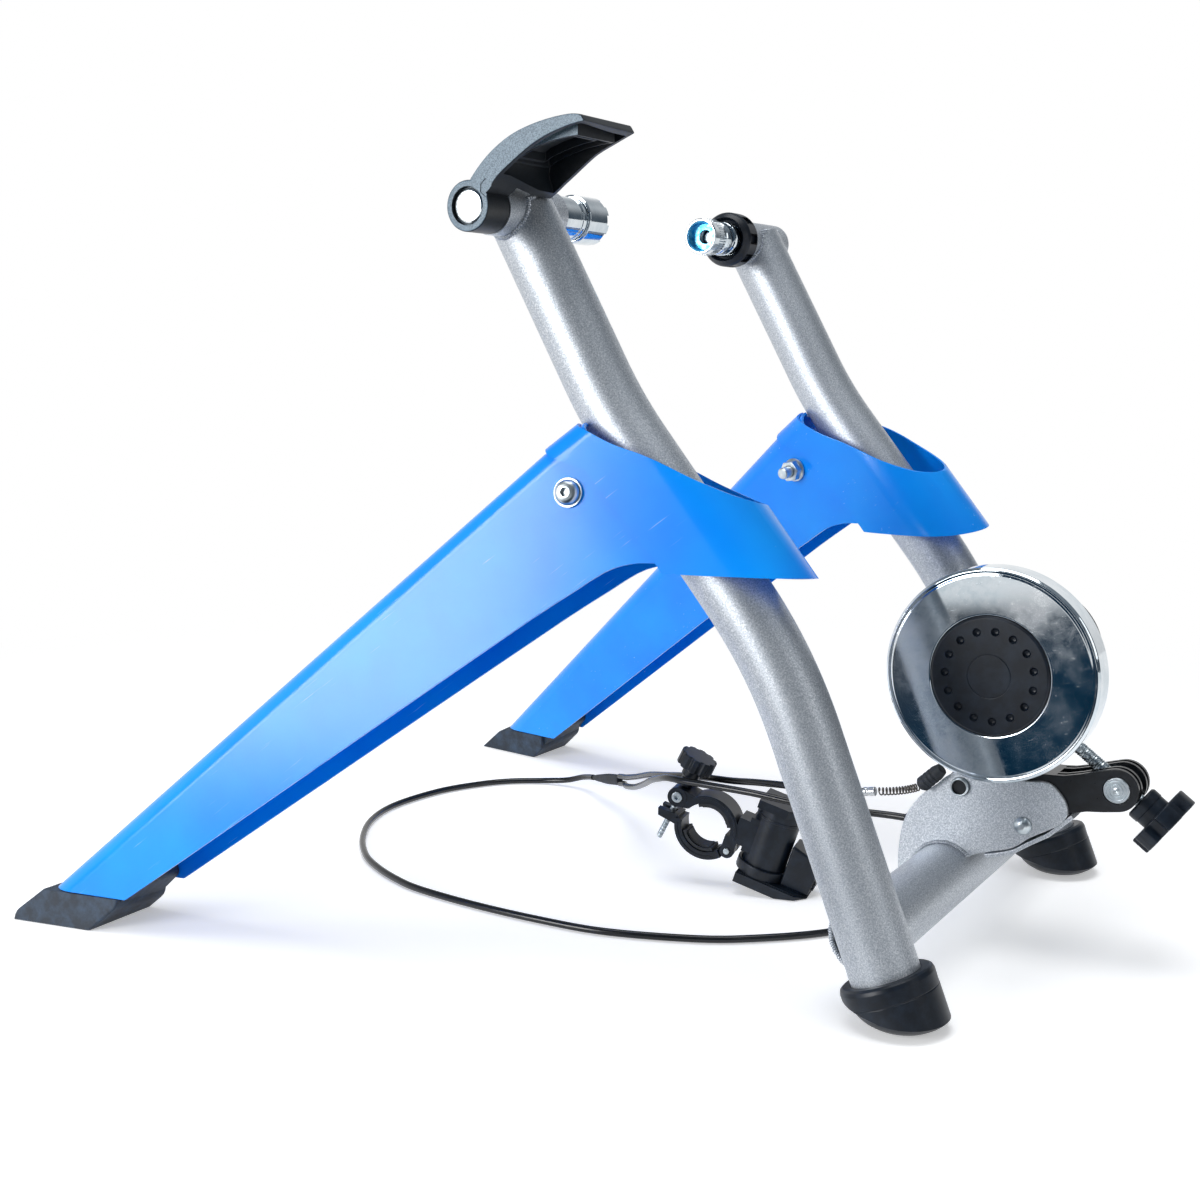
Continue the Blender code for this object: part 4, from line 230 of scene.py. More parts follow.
BLACK_ABS = moulded("black_abs", "black_plastic", "#09111b", "#17222f", 0.38, 0.8, 0.05, 0.4,
                    Specular_IOR_Level=0.35)
RUBBER = moulded("black_rubber", "black_rubber", "#11151b", "#252c35", 0.62, 1.4, 0.08, 0.5)
FOOT_RUBBER = moulded("foot_rubber", "black_rubber", "#152230", "#30445a", 0.60, 1.4, 0.08, 0.5)
BLACK_PAINT = moulded("black_paint", "black_paint", "#0b0e12", "#1a1f26", 0.30, 2.0, 0.05, 0.4)
CABLE_PVC = moulded("cable_pvc", "black_plastic", "#0b0d10", "#15181c", 0.24, 3.0, 0.01, 0.1)

# %% [markdown]
# The lever is moulded nylon, sandy on its outer face, where the mould was spark-eroded, and smooth inside.
# The outer face, which the lamps light, is painted pale, a painted highlight, and the rest is painted dark, a
# painted shade. The face is told from the rest by where it lies and by which way it points.

# %% Lever nylon, with a painted highlight and a painted shade
LEVER_NYLON_PAINTED_LIGHT, tree, shader, place = new_material("lever_nylon_painted_light", "grey_plastic", Roughness=0.42)
normal = add(tree, "ShaderNodeTexCoord").outputs["Normal"]
# Mask of the lit outer face: it gets a painted highlight, and the rest a painted shade.
face = 1.0
for vector, nought, one in ((normal, -0.75, -0.95), (place, -0.186, -0.191)):
    y = add(tree, "ShaderNodeSeparateXYZ", vector).outputs["Y"]
    part = add(tree, "ShaderNodeMapRange", y, nought, one)
    face = add(tree, "ShaderNodeMath", part, face, operation="MULTIPLY")
sand = add(tree, "ShaderNodeTexNoise", place, Scale=1000 / 0.7)
# Two copies of one nylon: the dark one is painted shade and the pale one a painted highlight; the sand grain
# is the mould's.
dark, pale = (add(tree, "ShaderNodeValToRGB", sand, stops=((0.35, low), (0.65, high)))
              for low, high in (("#0b1015", "#1a222a"), ("#4f6474", "#7b91a1")))
body = add(tree, "ShaderNodeMix", Factor=face, A=dark, B=pale, data_type="RGBA")
feed(shader, Base_Color=body, Normal=add(tree, "ShaderNodeBump", 0.6, 0.06 * MM, Height=sand))

# %% [markdown]
# ## Meshes from rules
# Most of this object is turned, bent or cut from sheet, so a few makers cover it: a lathe that rounds the
# corners of its profile, a sweep along a path, and a plate with softened edges. Each gives a plain mesh
# whose object stays at the origin, so a pattern on Object coordinates keeps its real size.

# %% Small helpers for meshes
AXLE_X, AXLE_HEIGHT = -0.02366, 0.424
SIDEWAYS, UP = Vector((0.0, 1.0, 0.0)), Vector((0.0, 0.0, 1.0))
NO_TURN = Matrix.Identity(4)


def at(x, y, z):
    """A point measured from under the axle."""
    return Vector((x + AXLE_X, y, z))


def mm(*numbers, size=2):
    """Points from numbers in millimetres, two to a point, or three in space."""
    return [tuple(n / 1000 for n in numbers[i:i + size]) for i in range(0, len(numbers), size)]


def settled(mesh, sharp=38):
    """Merged, turned outwards and shaded smooth up to an angle."""
    work = bmesh.new()
    work.from_mesh(mesh)
    bmesh.ops.remove_doubles(work, verts=work.verts, dist=2e-6)
    bmesh.ops.recalc_face_normals(work, faces=work.faces)
    work.to_mesh(mesh)
    work.free()
    mesh.shade_smooth()
    mesh.set_sharp_from_angle(angle=math.radians(sharp))
    return mesh


def link(name, data):
    made = bpy.data.objects.new(name, data)
    bpy.context.collection.objects.link(made)
    return made


def poured(name, work):
    """The mesh that a bmesh holds."""
    mesh = bpy.data.meshes.new(name)
    work.to_mesh(mesh)
    work.free()
    return mesh


def frozen(piece):
    """The piece with its modifiers applied and its place moved into its mesh."""
    bpy.context.view_layer.update()
    graph = bpy.context.evaluated_depsgraph_get()
    mesh = bpy.data.meshes.new_from_object(piece.evaluated_get(graph))
    mesh.transform(piece.matrix_world)
    name = piece.name
    bpy.data.objects.remove(piece, do_unlink=True)
    mesh.name = name
    return link(name, mesh)


def drop(*pieces):
    for piece in pieces:
        bpy.data.objects.remove(piece, do_unlink=True)


def changed(piece, kind, **settings):
    """The piece with one more modifier."""
    change = piece.modifiers.new(kind.lower(), kind)
    for key, value in settings.items():
        setattr(change, key, value)
    return piece


def carved(piece, cutters, operation="DIFFERENCE"):
    """One piece after Booleans with others, which are used up."""
    for cutter in cutters:
        changed(piece, "BOOLEAN", operation=operation, solver="EXACT", object=cutter)
    done = frozen(piece)
    drop(*cutters)
    settled(done.data)
    return done


def rounded(piece, width, angle=40):
    """A narrow bevel on the sharp edges."""
    done = frozen(changed(piece, "BEVEL", width=width, segments=2, limit_method="ANGLE",
                          angle_limit=math.radians(angle)))
    settled(done.data, angle)
    return done


def merged(name, pieces):
    """Several pieces as one object."""
    work = bmesh.new()
    for piece in pieces:
        work.from_mesh(piece.data)
    mesh = poured(name, work)
    drop(*pieces)
    mesh.shade_smooth()
    mesh.set_sharp_from_angle(angle=math.radians(38))
    return link(name, mesh)


def dress(piece, body, material, *nodes):
    """Gives a finished piece even shading, its finish and its body, and hides the solids that it stands for.
    """
    piece = frozen(changed(piece, "WEIGHTED_NORMAL", keep_sharp=True, weight=50))
    piece.data.materials.clear()
    piece.data.materials.append(material)
    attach(piece, body)
    if nodes:
        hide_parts(*nodes)
    print("%s: %d faces" % (piece.name, len(piece.data.polygons)))
    return piece


# %% [markdown]
# Lathe, sweep and loft all join one ring of points to the next, so they share a maker. A lathe part's corners
# are never sharp: a tool leaves a small radius. So the corners of its profile are rounded first, each by a
# short curve that starts and ends a fillet's length away, and then the profile is turned.

# %% Skin, loft and lathe
def skin(name, rings, around=False, ends=True, sharp=38):
    """Faces between rings of points. A ring of one point closes the shape there."""
    work = bmesh.new()
    count = max(len(ring) for ring in rings)
    rows = [[work.verts.new(point) for point in ring] * (count if len(ring) == 1 else 1) for ring in rings]
    for near, far in zip(rows, rows[1:] + (rows[:1] if around else [])):
        for i in range(count):
            j = (i + 1) % count
            corners = list(dict.fromkeys((near[i], near[j], far[j], far[i])))
            if len(corners) > 2:
                work.faces.new(corners)
    if ends and not around:
        work.faces.new(rows[0][::-1])
        work.faces.new(rows[-1])
    return link(name, settled(poured(name, work), sharp))


def lofted(name, sections, matrix):
    """Closed sections joined in order and capped, each a list of points in a frame."""
    return skin(name, [[matrix @ Vector(p) for p in section] for section in sections])


def prism(name, outline, low, high, matrix):
    return lofted(name, [[(x, y, z) for x, y in outline] for z in (low, high)], matrix)


def box(name, low, high, matrix=NO_TURN):
    """A cutter with square sides."""
    (x0, y0, z0), (x1, y1, z1) = low, high
    return prism(name, ((x0, y0), (x1, y0), (x1, y1), (x0, y1)), z0, z1, matrix)


def axes(place, x, y, z):
    """A frame at a place from its three directions."""
    matrix = Matrix((x, y, z)).transposed().to_4x4()
    matrix.translation = place
    return matrix


def basis(start, direction):
    """A frame at start whose Z runs along direction."""
    z = Vector(direction).normalized()
    x = SIDEWAYS.cross(z)
    x = x.normalized() if x.length >= 0.01 else Vector((1.0, 0.0, 0.0))
    return axes(start, x, z.cross(x), z)


def softened(profile, fillet, steps=3):
    """A profile with each corner rounded, except on the axis."""
    points = [Vector(p) for p in profile]
    result = []
    for i, point in enumerate(points):
        if point.x < 1e-7:
            result.append(point)
            continue
        before, after = points[i - 1] - point, points[(i + 1) % len(points)] - point
        reach = min(fillet, before.length * 0.45, after.length * 0.45)
        start, end = point + before.normalized() * reach, point + after.normalized() * reach
        for k in range(steps + 1):
            t = k / steps
            result.append(start.lerp(point, t).lerp(point.lerp(end, t), t))
    return [tuple(p) for p in result]


def lathe(name, profile, matrix, steps=96, fillet=0.0003):
    """A closed profile of radius and height turned about the Z axis of a frame."""
    rings = []
    for radius, height in softened(profile, fillet):
        turns = [math.tau * i / steps for i in range(steps)] if radius >= 1e-7 else [0.0]
        rings.append([matrix @ Vector((radius * math.cos(a), radius * math.sin(a), height)) for a in turns])
    return skin(name, rings, around=True)


def bar(name, radius, start, end, bore=0.0, steps=96, fillet=0.0004):
    """A round bar or tube between two points."""
    start, end = Vector(start), Vector(end)
    length = (end - start).length
    profile = [(bore, 0.0), (radius, 0.0), (radius, length), (bore, length)]
    return lathe(name, profile, basis(start, end - start), steps, fillet)


# %% [markdown]
# The sweep carries a circle along a path without twisting it: each ring turns from the last by the smallest
# turn that follows the path. That is what a bent tube or a cable does.

# %% The sweep
def sweep(name, path, radius, sides=24, ends=True):
    """A round tube along a path."""
    path = [Vector(p) for p in path]
    rings, normal = [], None
    for i, point in enumerate(path):
        direction = (path[min(i + 1, len(path) - 1)] - path[max(i - 1, 0)]).normalized()
        if normal is None:
            normal = direction.orthogonal().normalized()
        normal = (normal - direction * normal.dot(direction)).normalized()
        side = direction.cross(normal)
        rings.append([point + radius * (math.cos(math.tau * k / sides) * normal
                                        + math.sin(math.tau * k / sides) * side) for k in range(sides)])
    return skin(name, rings, ends=ends, sharp=50)


# %% [markdown]
# A plate is a flat curve with a depth. The curve's own bevel softens its edges, and a negative offset of the
# same size keeps its outline. Between marked corners an outline bends smoothly through its points.

# %% The plate
def eased(start, end, leave, arrive, t):
    """A smooth step from start to end that leaves and arrives in given directions."""
    return (start * (2 * t ** 3 - 3 * t ** 2 + 1) + leave * (t ** 3 - 2 * t ** 2 + t)
            + end * (3 * t ** 2 - 2 * t ** 3) + arrive * (t ** 3 - t ** 2))


def flowing(points, corner=34.0, steps=4):
    """A closed outline that bends smoothly through its points and stays sharp at its corners."""
    points = [Vector(p) for p in points]
    count = len(points)

    def tangents(i):
        before = (points[i] - points[i - 1]).normalized()
        after = (points[(i + 1) % count] - points[i]).normalized()
        if math.degrees(before.angle(after)) > corner:
            return before, after
        return [(before + after).normalized()] * 2

    result = []
    for i in range(count):
        start, end = points[i], points[(i + 1) % count]
        span = (end - start).length
        leave, arrive = tangents(i)[1] * span, tangents((i + 1) % count)[0] * span
        result += [tuple(eased(start, end, leave, arrive, k / steps)) for k in range(steps)]
    return result


def line_of(name, points, dimensions, cyclic):
    """A curve object through points."""
    curve = bpy.data.curves.new(name, "CURVE")
    curve.dimensions = dimensions
    spline = curve.splines.new("POLY")
    spline.use_cyclic_u = cyclic
    spline.points.add(len(points) - 1)
    for target, point in zip(spline.points, points):
        target.co = (*point, 0.0)[:3] + (1.0,)
    return link(name, curve)


def plate(name, outline, low, high, matrix, edge=0.0004):
    """A flat piece from its outline, between two heights of a frame."""
    piece = line_of(name, outline, "2D", True)
    for key, value in {"fill_mode": "BOTH", "extrude": (high - low) / 2 - edge, "bevel_depth": edge,
                       "bevel_resolution": 2, "offset": -edge}.items():
        setattr(piece.data, key, value)
    piece.matrix_world = matrix @ Matrix.Translation((0, 0, (low + high) / 2))
    done = frozen(piece)
    settled(done.data)
    return done


FROM_SIDE = Matrix(((1, 0, 0, 0), (0, 0, -1, 0), (0, 1, 0, 0), (0, 0, 0, 1)))


def side_plate(name, outline, low_y, high_y, edge=0.0004):
    """A plate drawn in x and z from under the axle, between two values of y."""
    return plate(name, outline, -high_y, -low_y, Matrix.Translation((AXLE_X, 0, 0)) @ FROM_SIDE, edge)


# %% [markdown]
# ## Floor, world and lamps
# The floor is plain and pale. Round the trainer it takes light and shadow as any matt floor does, and further
# off it fades into an even white, so no horizon shows. What polished metal mirrors is another matter: a dark
# strip on the floor in front of the trainer and darker walls in front and to the right are painted
# reflections, which only glossy rays see. They are fixed in the room, and they are what makes chrome look
# like chrome.

# %% Light paths and the painted reflections of the room
def ray_kind(tree, *kinds):
    """One for rays of these kinds and nought for the rest."""
    path = add(tree, "ShaderNodeLightPath")
    value = path.outputs[kinds[0]]
    for kind in kinds[1:]:
        value = add(tree, "ShaderNodeMath", value, path.outputs[kind], operation="MAXIMUM")
    return value


def mirrored(tree, vector, *limits):
    """A share for glossy rays only. A limit is an axis, where the share is nought and where it is one."""
    axis_of = add(tree, "ShaderNodeSeparateXYZ", vector).outputs
    share = ray_kind(tree, "Is Glossy Ray")
    for axis, nought, one in limits:
        part = add(tree, "ShaderNodeMapRange", axis_of[axis], nought, one, interpolation_type="SMOOTHSTEP")
        share = add(tree, "ShaderNodeMath", share, part, operation="MULTIPLY")
    return share


def cleared(data):
    """The emptied tree of a floor or world, and one for the rays that see it directly."""
    data.use_nodes = True
    data.node_tree.nodes.clear()
    return data.node_tree, ray_kind(data.node_tree, "Is Camera Ray", "Is Glossy Ray", "Is Transmission Ray")


# %% Floor
floor_finish = bpy.data.materials.new("studio_floor")
tree, seen = cleared(floor_finish)
place = add(tree, "ShaderNodeTexCoord").outputs["Object"]
reach = add(tree, "ShaderNodeVectorMath", place, operation="LENGTH")
far = add(tree, "ShaderNodeMapRange", reach, 0.45, 1.15, interpolation_type="SMOOTHSTEP")
matt = add(tree, "ShaderNodeBsdfDiffuse", "#f4f5f6")
lift = add(tree, "ShaderNodeMath", seen, 0.36, operation="MULTIPLY")
near = add(tree, "ShaderNodeAddShader", matt, add(tree, "ShaderNodeEmission", "#ffffff", lift))
white = add(tree, "ShaderNodeEmission", "#ffffff", seen)
pale = add(tree, "ShaderNodeMixShader", far, near, white)

# Painted reflection: a strip that only glossy rays see, brownish grey to dark teal along x, for the dark
# bands on the flywheel and tubes.
x = add(tree, "ShaderNodeSeparateXYZ", place).outputs["X"]
along_strip = add(tree, "ShaderNodeMapRange", x, -0.42, 0.02)
tone = add(tree, "ShaderNodeValToRGB", along_strip, stops=((0.0, "#5e5a5a"), (1.0, "#123247")))
painted_reflection_strip = add(tree, "ShaderNodeEmission", tone, 1.0)
turned = add(tree, "ShaderNodeMapping", place, Rotation=(0.0, 0.0, math.radians(31)))
share = mirrored(tree, turned, ("X", 0.02, 0.10), ("Y", 0.0, -0.25), ("Y", -1.36, -1.12))
mixed = add(tree, "ShaderNodeMixShader", share, pale, painted_reflection_strip)
add(tree, "ShaderNodeOutputMaterial", mixed)

work = bmesh.new()
bmesh.ops.create_circle(work, cap_ends=True, segments=64, radius=8.0)
floor = link("floor", poured("floor", work))
floor.data.transform(Matrix.Translation((0, 0, -0.4 * MM)))
floor.data.materials.append(floor_finish)

# %% World
world = bpy.data.worlds.new("studio")
bpy.context.scene.world = world
tree, seen = cleared(world)
direction = add(tree, "ShaderNodeTexCoord").outputs["Generated"]
height = add(tree, "ShaderNodeSeparateXYZ", direction).outputs["Z"]
room = add(tree, "ShaderNodeValToRGB", height, stops=((0.30, "#ffffff"), (0.62, "#7d868e")))
# Painted reflections: two walls that only glossy rays see, which darken the mirror finishes from the front
# and the right.
for wall, limits in (("#22384a", [("Y", -0.58, -0.80)]), ("#4a545d", [("X", 0.15, 0.55), ("Z", 0.80, 0.40)])):
    room = add(tree, "ShaderNodeMix", Factor=mirrored(tree, direction, *limits), A=room, B=wall,
               data_type="RGBA")
shown = add(tree, "ShaderNodeBackground", room, 1.0)
light = add(tree, "ShaderNodeBackground", "#f4f7fb", 0.36)
add(tree, "ShaderNodeOutputWorld", add(tree, "ShaderNodeMixShader", seen, light, shown))
bpy.context.scene.view_settings.view_transform = "Standard"

# %% Lamps
for name, place, target, width, height, power in (
        ("front_softbox", (-0.85, -2.05, 0.62), (-0.1, -0.1, 0.25), 0.9, 1.1, 34),
        ("top_softbox", (0.0, -0.2, 2.3), (0.0, 0.0, 0.1), 1.5, 1.5, 26),
        ("side_softbox", (1.9, -0.3, 0.9), (0.1, 0.0, 0.2), 0.6, 1.0, 3)):
    lamp = link(name, bpy.data.lights.new(name, "AREA"))
    lamp.data.shape = "RECTANGLE"
    lamp.data.size, lamp.data.size_y, lamp.data.energy = width, height, power
    lamp.location = place
    lamp.rotation_euler = (Vector(target) - Vector(place)).to_track_quat("-Z", "Y").to_euler()
    print("%s: %g W, %.1f m by %.1f m" % (name, power, width, height))

# %% [markdown]
# ## The brake cable
# Two black housings run from the brake to a flat splitter on the floor, and one goes on in a wide loop round
# to the shifter. A cable keeps its length and lies under its own weight, so its route is given point by point
# and a smooth curve is drawn through them, then a round housing is swept along it.

# %% Routes of the cable
CABLE_RADIUS = 0.00225
GAP = 0.0003
UPPER_ROUTE = mm(130, -13, 79.5, 105, -7, 77, 80, -0.5, 74, 60, 6, 70.7, 40, 12.5, 68.3, 20, 19, 65.5,
                 -2, 32, 60, -30, 56, 51, -56, 82, 40, -75, 101, 32.5, size=3)
LOWER_ROUTE = mm(160, -4.5, 66.8, 135, -7.5, 66.5, 108, -9.5, 67.5, 85, -11, 69.6, 62, -11.8, 70.5,
                 42, -11.5, 70.7, 28, -10.5, 70.7, 16, -5, 69.2, 5, 4.5, 65, -8, 18, 59, -28, 43, 47.5,
                 -53, 74, 34.5, -74, 98, 26.5, size=3)
MAIN_ROUTE = mm(-148, 154, 10, -164, 156, 5, -185, 152, 2.6, -205.5, 139, 2.4, -222, 119, 2.4, -238, 84, 2.4,
                -243.5, 35.3, 2.4, -233.8, -5.3, 2.4, -210.8, -43.8, 2.4, -183.7, -73.6, 2.4,
                -160, -90.5, 2.4, -133.1, -104, 2.4, -106.7, -112.5, 2.4, -59.4, -118.5, 2.4,
                -9.3, -120, 2.4, 36.1, -116.5, 2.4, 89.3, -98.5, 2.4, 120, -78.6, 2.4, 148, -52, 2.4,
                164, -25, 2.4, 165, 5, 2.4, 136, 48, 2.4, 115.3, 58.9, 2.7, 106.3, 61.3, 2.7,
                97.3, 58.9, 2.7, 90.7, 52.3, 2.7, 88.5, 45.8, 2.7, size=3)
SPLITTER_TIP, SPLITTER_MOUTH = at(-0.1300, 0.1430, 0.0150), at(-0.0880, 0.1120, 0.0260)
SPLITTER_SPREAD = 0.0052
SPLITTER_AXIS = (SPLITTER_MOUTH - SPLITTER_TIP).normalized()
SPLITTER_ACROSS = (UP - SPLITTER_AXIS * SPLITTER_AXIS.z).normalized()
FERRULE = at(0.1588, -0.016, 0.0830), at(0.1665, -0.016, 0.0843)
UPPER_BOOT = at(0.1945, -0.0162, 0.0915), at(0.2075, -0.0162, 0.1040)
LOWER_BOOT = at(0.1815, -0.0035, 0.0669), at(0.1935, -0.0035, 0.0669)

# %% [markdown]
# The shifter lies turned and tipped on the floor, so its pieces are drawn in a frame of their own, whose
# X runs along the shifter and whose Z runs up its drum.

# %% The shifter's frame and a smooth path
SHIFTER_TURN, SHIFTER_TIP = math.radians(12), math.radians(18)
ahead = Vector((math.cos(SHIFTER_TURN), math.sin(SHIFTER_TURN), 0.0))
along = ahead * math.cos(SHIFTER_TIP) - UP * math.sin(SHIFTER_TIP)
upward = ahead * math.sin(SHIFTER_TIP) + UP * math.cos(SHIFTER_TIP)
SHIFTER = axes(at(0.0444, 0.0023, 0.0400), along, upward.cross(along), upward)
SHIFTER_SIDEWAYS = SHIFTER.to_3x3() @ SIDEWAYS


def smooth_path(route, spacing):
    """Points at even spacing on a smooth curve through a route's own points."""
    padded = [2 * route[0] - route[1], *route, 2 * route[-1] - route[-2]]
    fine = []
    for i in range(len(route) - 1):
        p0, p1, p2, p3 = padded[i:i + 4]
        for k in range(24):
            t = k / 24
            fine.append(0.5 * (2 * p1 + (p2 - p0) * t + (2 * p0 - 5 * p1 + 4 * p2 - p3) * t * t
                               + (3 * p1 - p0 - 3 * p2 + p3) * t ** 3))
    fine.append(route[-1])
    lengths = [0.0]
    for a, b in zip(fine, fine[1:]):
        lengths.append(lengths[-1] + (b - a).length)
    count = max(2, round(lengths[-1] / spacing))
    points, k = [], 0
    for i in range(count + 1):
        target = lengths[-1] * i / count
        while k < len(fine) - 2 and lengths[k + 1] < target:
            k += 1
        points.append(fine[k].lerp(fine[k + 1], (target - lengths[k]) / (lengths[k + 1] - lengths[k])))
    return points


# %% Housings
def housing(name, start, start_direction, route, end, end_direction):
    first, last = start + start_direction * GAP, end - end_direction * GAP
    lead = 4 * CABLE_RADIUS
    points = [first + start_direction * lead, *[at(*p) for p in route], last - end_direction * lead]
    path = [first, *smooth_path(points, 0.004), last]
    length = sum((b - a).length for a, b in zip(path, path[1:]))
    piece = dress(sweep(name + "_housing", path, CABLE_RADIUS, 20), "frame", CABLE_PVC, name)
    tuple(first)
    print("%s: %.3f m" % (name, length))


upper_port, lower_port = (SPLITTER_MOUTH + SPLITTER_ACROSS * sign * SPLITTER_SPREAD / 2 for sign in (1, -1))
housing("cable_upper", FERRULE[0], (FERRULE[0] - FERRULE[1]).normalized(), UPPER_ROUTE, upper_port,
        -SPLITTER_AXIS)
housing("cable_lower", LOWER_BOOT[0], (LOWER_BOOT[0] - LOWER_BOOT[1]).normalized(), LOWER_ROUTE, lower_port,
        -SPLITTER_AXIS)
housing("cable_main", SPLITTER_TIP, -SPLITTER_AXIS, MAIN_ROUTE, SHIFTER @ Vector((0.060, 0.018, -0.0195)),
        -SHIFTER_SIDEWAYS)

# %% [markdown]
# ## Trees for what repeats
# Threads, knurls, teeth, dimples and weld ripples all repeat, so each is a small Geometry Nodes tree with its
# sizes as named inputs. The result is taken as a plain mesh, because an exported model has no modifiers.

# %% Helpers for geometry trees
def new_tree(name, **sockets):
    """A geometry tree with named inputs after its geometry, its group input and its group output."""
    tree = bpy.data.node_groups.new(name, "GeometryNodeTree")
    for label, kind in {"Geometry": "Geometry", **sockets, "Material": "Material"}.items():
        tree.interface.new_socket(label, in_out="INPUT", socket_type="NodeSocket" + kind)
    tree.interface.new_socket("Geometry", in_out="OUTPUT", socket_type="NodeSocketGeometry")
    return tree, tree.nodes.new("NodeGroupInput").outputs, tree.nodes.new("NodeGroupOutput")


def end_tree(tree, geometry, given, result):
    """Realizes the instances and gives them their finish."""
    whole = add(tree, "GeometryNodeRealizeInstances", geometry)
    feed(result, add(tree, "GeometryNodeSetMaterial", whole, Material=given["Material"]))


def grown(piece, tree, **values):
    """Runs a geometry tree on a piece and keeps the result as a plain mesh."""
    change = piece.modifiers.new(tree.name, "NODES")
    change.node_group = tree
    for item in tree.interface.items_tree:
        if item.in_out == "INPUT" and item.name in values:
            change[item.identifier] = values[item.name]
    return frozen(piece)


# %% A tree that repeats a shape round an axis
RING, given, result = new_tree("ring_of_copies", Count="Int")
spots = add(RING, "GeometryNodeMeshLine", Count=given["Count"], Offset=(0, 0, 0))
share = add(RING, "ShaderNodeMath", add(RING, "GeometryNodeInputIndex"), given["Count"], operation="DIVIDE")
angle = add(RING, "ShaderNodeMath", share, math.tau, operation="MULTIPLY")
turn = add(RING, "ShaderNodeCombineXYZ", Z=angle)
copies = add(RING, "GeometryNodeInstanceOnPoints", spots, Instance=given["Geometry"], Rotation=turn)
end_tree(RING, copies, given, result)

# %% A tree that winds a thread
THREAD, given, result = new_tree("thread", Turns="Float", Radius="Float", Length="Float", Depth="Float")
helix = add(THREAD, "GeometryNodeCurveSpiral", 22, given["Turns"], given["Radius"], given["Radius"],
            given["Length"])
ridge = add(THREAD, "GeometryNodeCurvePrimitiveCircle", 4, Radius=given["Depth"])
wound = add(THREAD, "GeometryNodeCurveToMesh", helix, ridge, Fill_Caps=True)
end_tree(THREAD, wound, given, result)

# %% A tree that lays weld ripples along a path
WELD, given, result = new_tree("weld_bead", Spacing="Float", Radius="Float", Seed="Int")
spots = add(WELD, "GeometryNodeCurveToPoints", given["Geometry"], Length=given["Spacing"], mode="LENGTH")
ripple = add(WELD, "GeometryNodeMeshUVSphere", 12, 8, given["Radius"])
size = add(WELD, "FunctionNodeRandomValue", (0.85, 0.85, 0.42), (1.15, 1.15, 0.55), Seed=given["Seed"],
           data_type="FLOAT_VECTOR")
copies = add(WELD, "GeometryNodeInstanceOnPoints", spots, Instance=ripple, Rotation=spots.outputs["Rotation"],
             Scale=size)
end_tree(WELD, copies, given, result)


# %% Makers that use the trees
def ringed(piece, matrix, count, material):
    """Copies of a shape round the Z axis of a frame. The shape is drawn in that frame."""
    piece.matrix_world = matrix
    return grown(piece, RING, Count=count, Material=material)


def thread(name, start, direction, length, radius, pitch, material):
    """A helical ridge round a screw, from a start and along its direction."""
    seed = link(name, bpy.data.meshes.new(name))
    seed.matrix_world = basis(Vector(start), direction)
    done = grown(seed, THREAD, Turns=length / pitch, Radius=radius, Length=length, Depth=pitch * 0.42,
                 Material=material)
    done.data.shade_flat()
    return done


def weld(name, path, radius, seed, closed=False):
    """A bead of weld along a path."""
    done = grown(line_of(name, path, "3D", closed), WELD, Spacing=radius * 0.8, Radius=radius, Seed=seed,
                 Material=SILVER)
    done.data.shade_smooth()
    dress(done, "frame", SILVER)


# %% [markdown]
# ## The side tubes
# Each side is one 38 mm tube with two gentle bends, coped at its top round the axle housing and welded to it.
# A sweep along straight runs and arcs gives the tube, Solidify gives its wall, and a Boolean cuts the cope.

# %% Lines of the side tubes
TUBE_RADIUS, TUBE_WALL, TUBE_Y = 0.019, 0.0015, 0.149
BEND_RADIUS = 0.265
UPPER_ANGLE, MIDDLE_ANGLE, LOWER_ANGLE = (math.radians(angle) for angle in (28.8, 38.7, 21.3))
CAP_FLOOR_THICKNESS = 0.011
CROSS_HEIGHT = 0.0380


def down(angle):
    return Vector((math.sin(angle), 0.0, -math.cos(angle)))


TUBE_TOP = at(0, 0, AXLE_HEIGHT)
UPPER_CORNER = TUBE_TOP + 0.1242 * down(UPPER_ANGLE)
LOWER_CORNER = UPPER_CORNER + 0.1647 * down(MIDDLE_ANGLE)
FLOOR_POINT = LOWER_CORNER + down(LOWER_ANGLE) * (LOWER_CORNER.z / math.cos(LOWER_ANGLE))
TUBE_FOOT = FLOOR_POINT - down(LOWER_ANGLE) * (CAP_FLOOR_THICKNESS + GAP)
CROSS_X = FLOOR_POINT.x - CROSS_HEIGHT * math.tan(LOWER_ANGLE) - 0.0122


def bend(corner, before, after, steps):
    turn = before.angle(after)
    centre = corner + (after - before).normalized() * (BEND_RADIUS / math.cos(turn / 2))
    start = corner - before * BEND_RADIUS * math.tan(turn / 2) - centre
    axis = before.cross(after).normalized()
    return [centre + Matrix.Rotation(turn * i / steps, 3, axis) @ start for i in range(steps + 1)]


def side_path(side):
    upper, middle, lower = down(UPPER_ANGLE), down(MIDDLE_ANGLE), down(LOWER_ANGLE)
    path = [TUBE_TOP, *bend(UPPER_CORNER, upper, middle, 10), *bend(LOWER_CORNER, middle, lower, 16),
            TUBE_FOOT]
    return [Vector((p.x, side * TUBE_Y, p.z)) for p in path]


# %% [markdown]
# The legs fold about a bolt that runs through a sleeve on the tube's front. The fold is toed in a little, so
# each leg has its own three directions: forward along the leg, across it, and up along the tube.

# %% The legs' frames
TOE_ANGLE = math.radians(12.73)
BOLT_U, BOLT_V, BOLT_RADIUS = 0.0385, 0.0485, 0.004
SIDES = (("left", -1), ("right", 1))


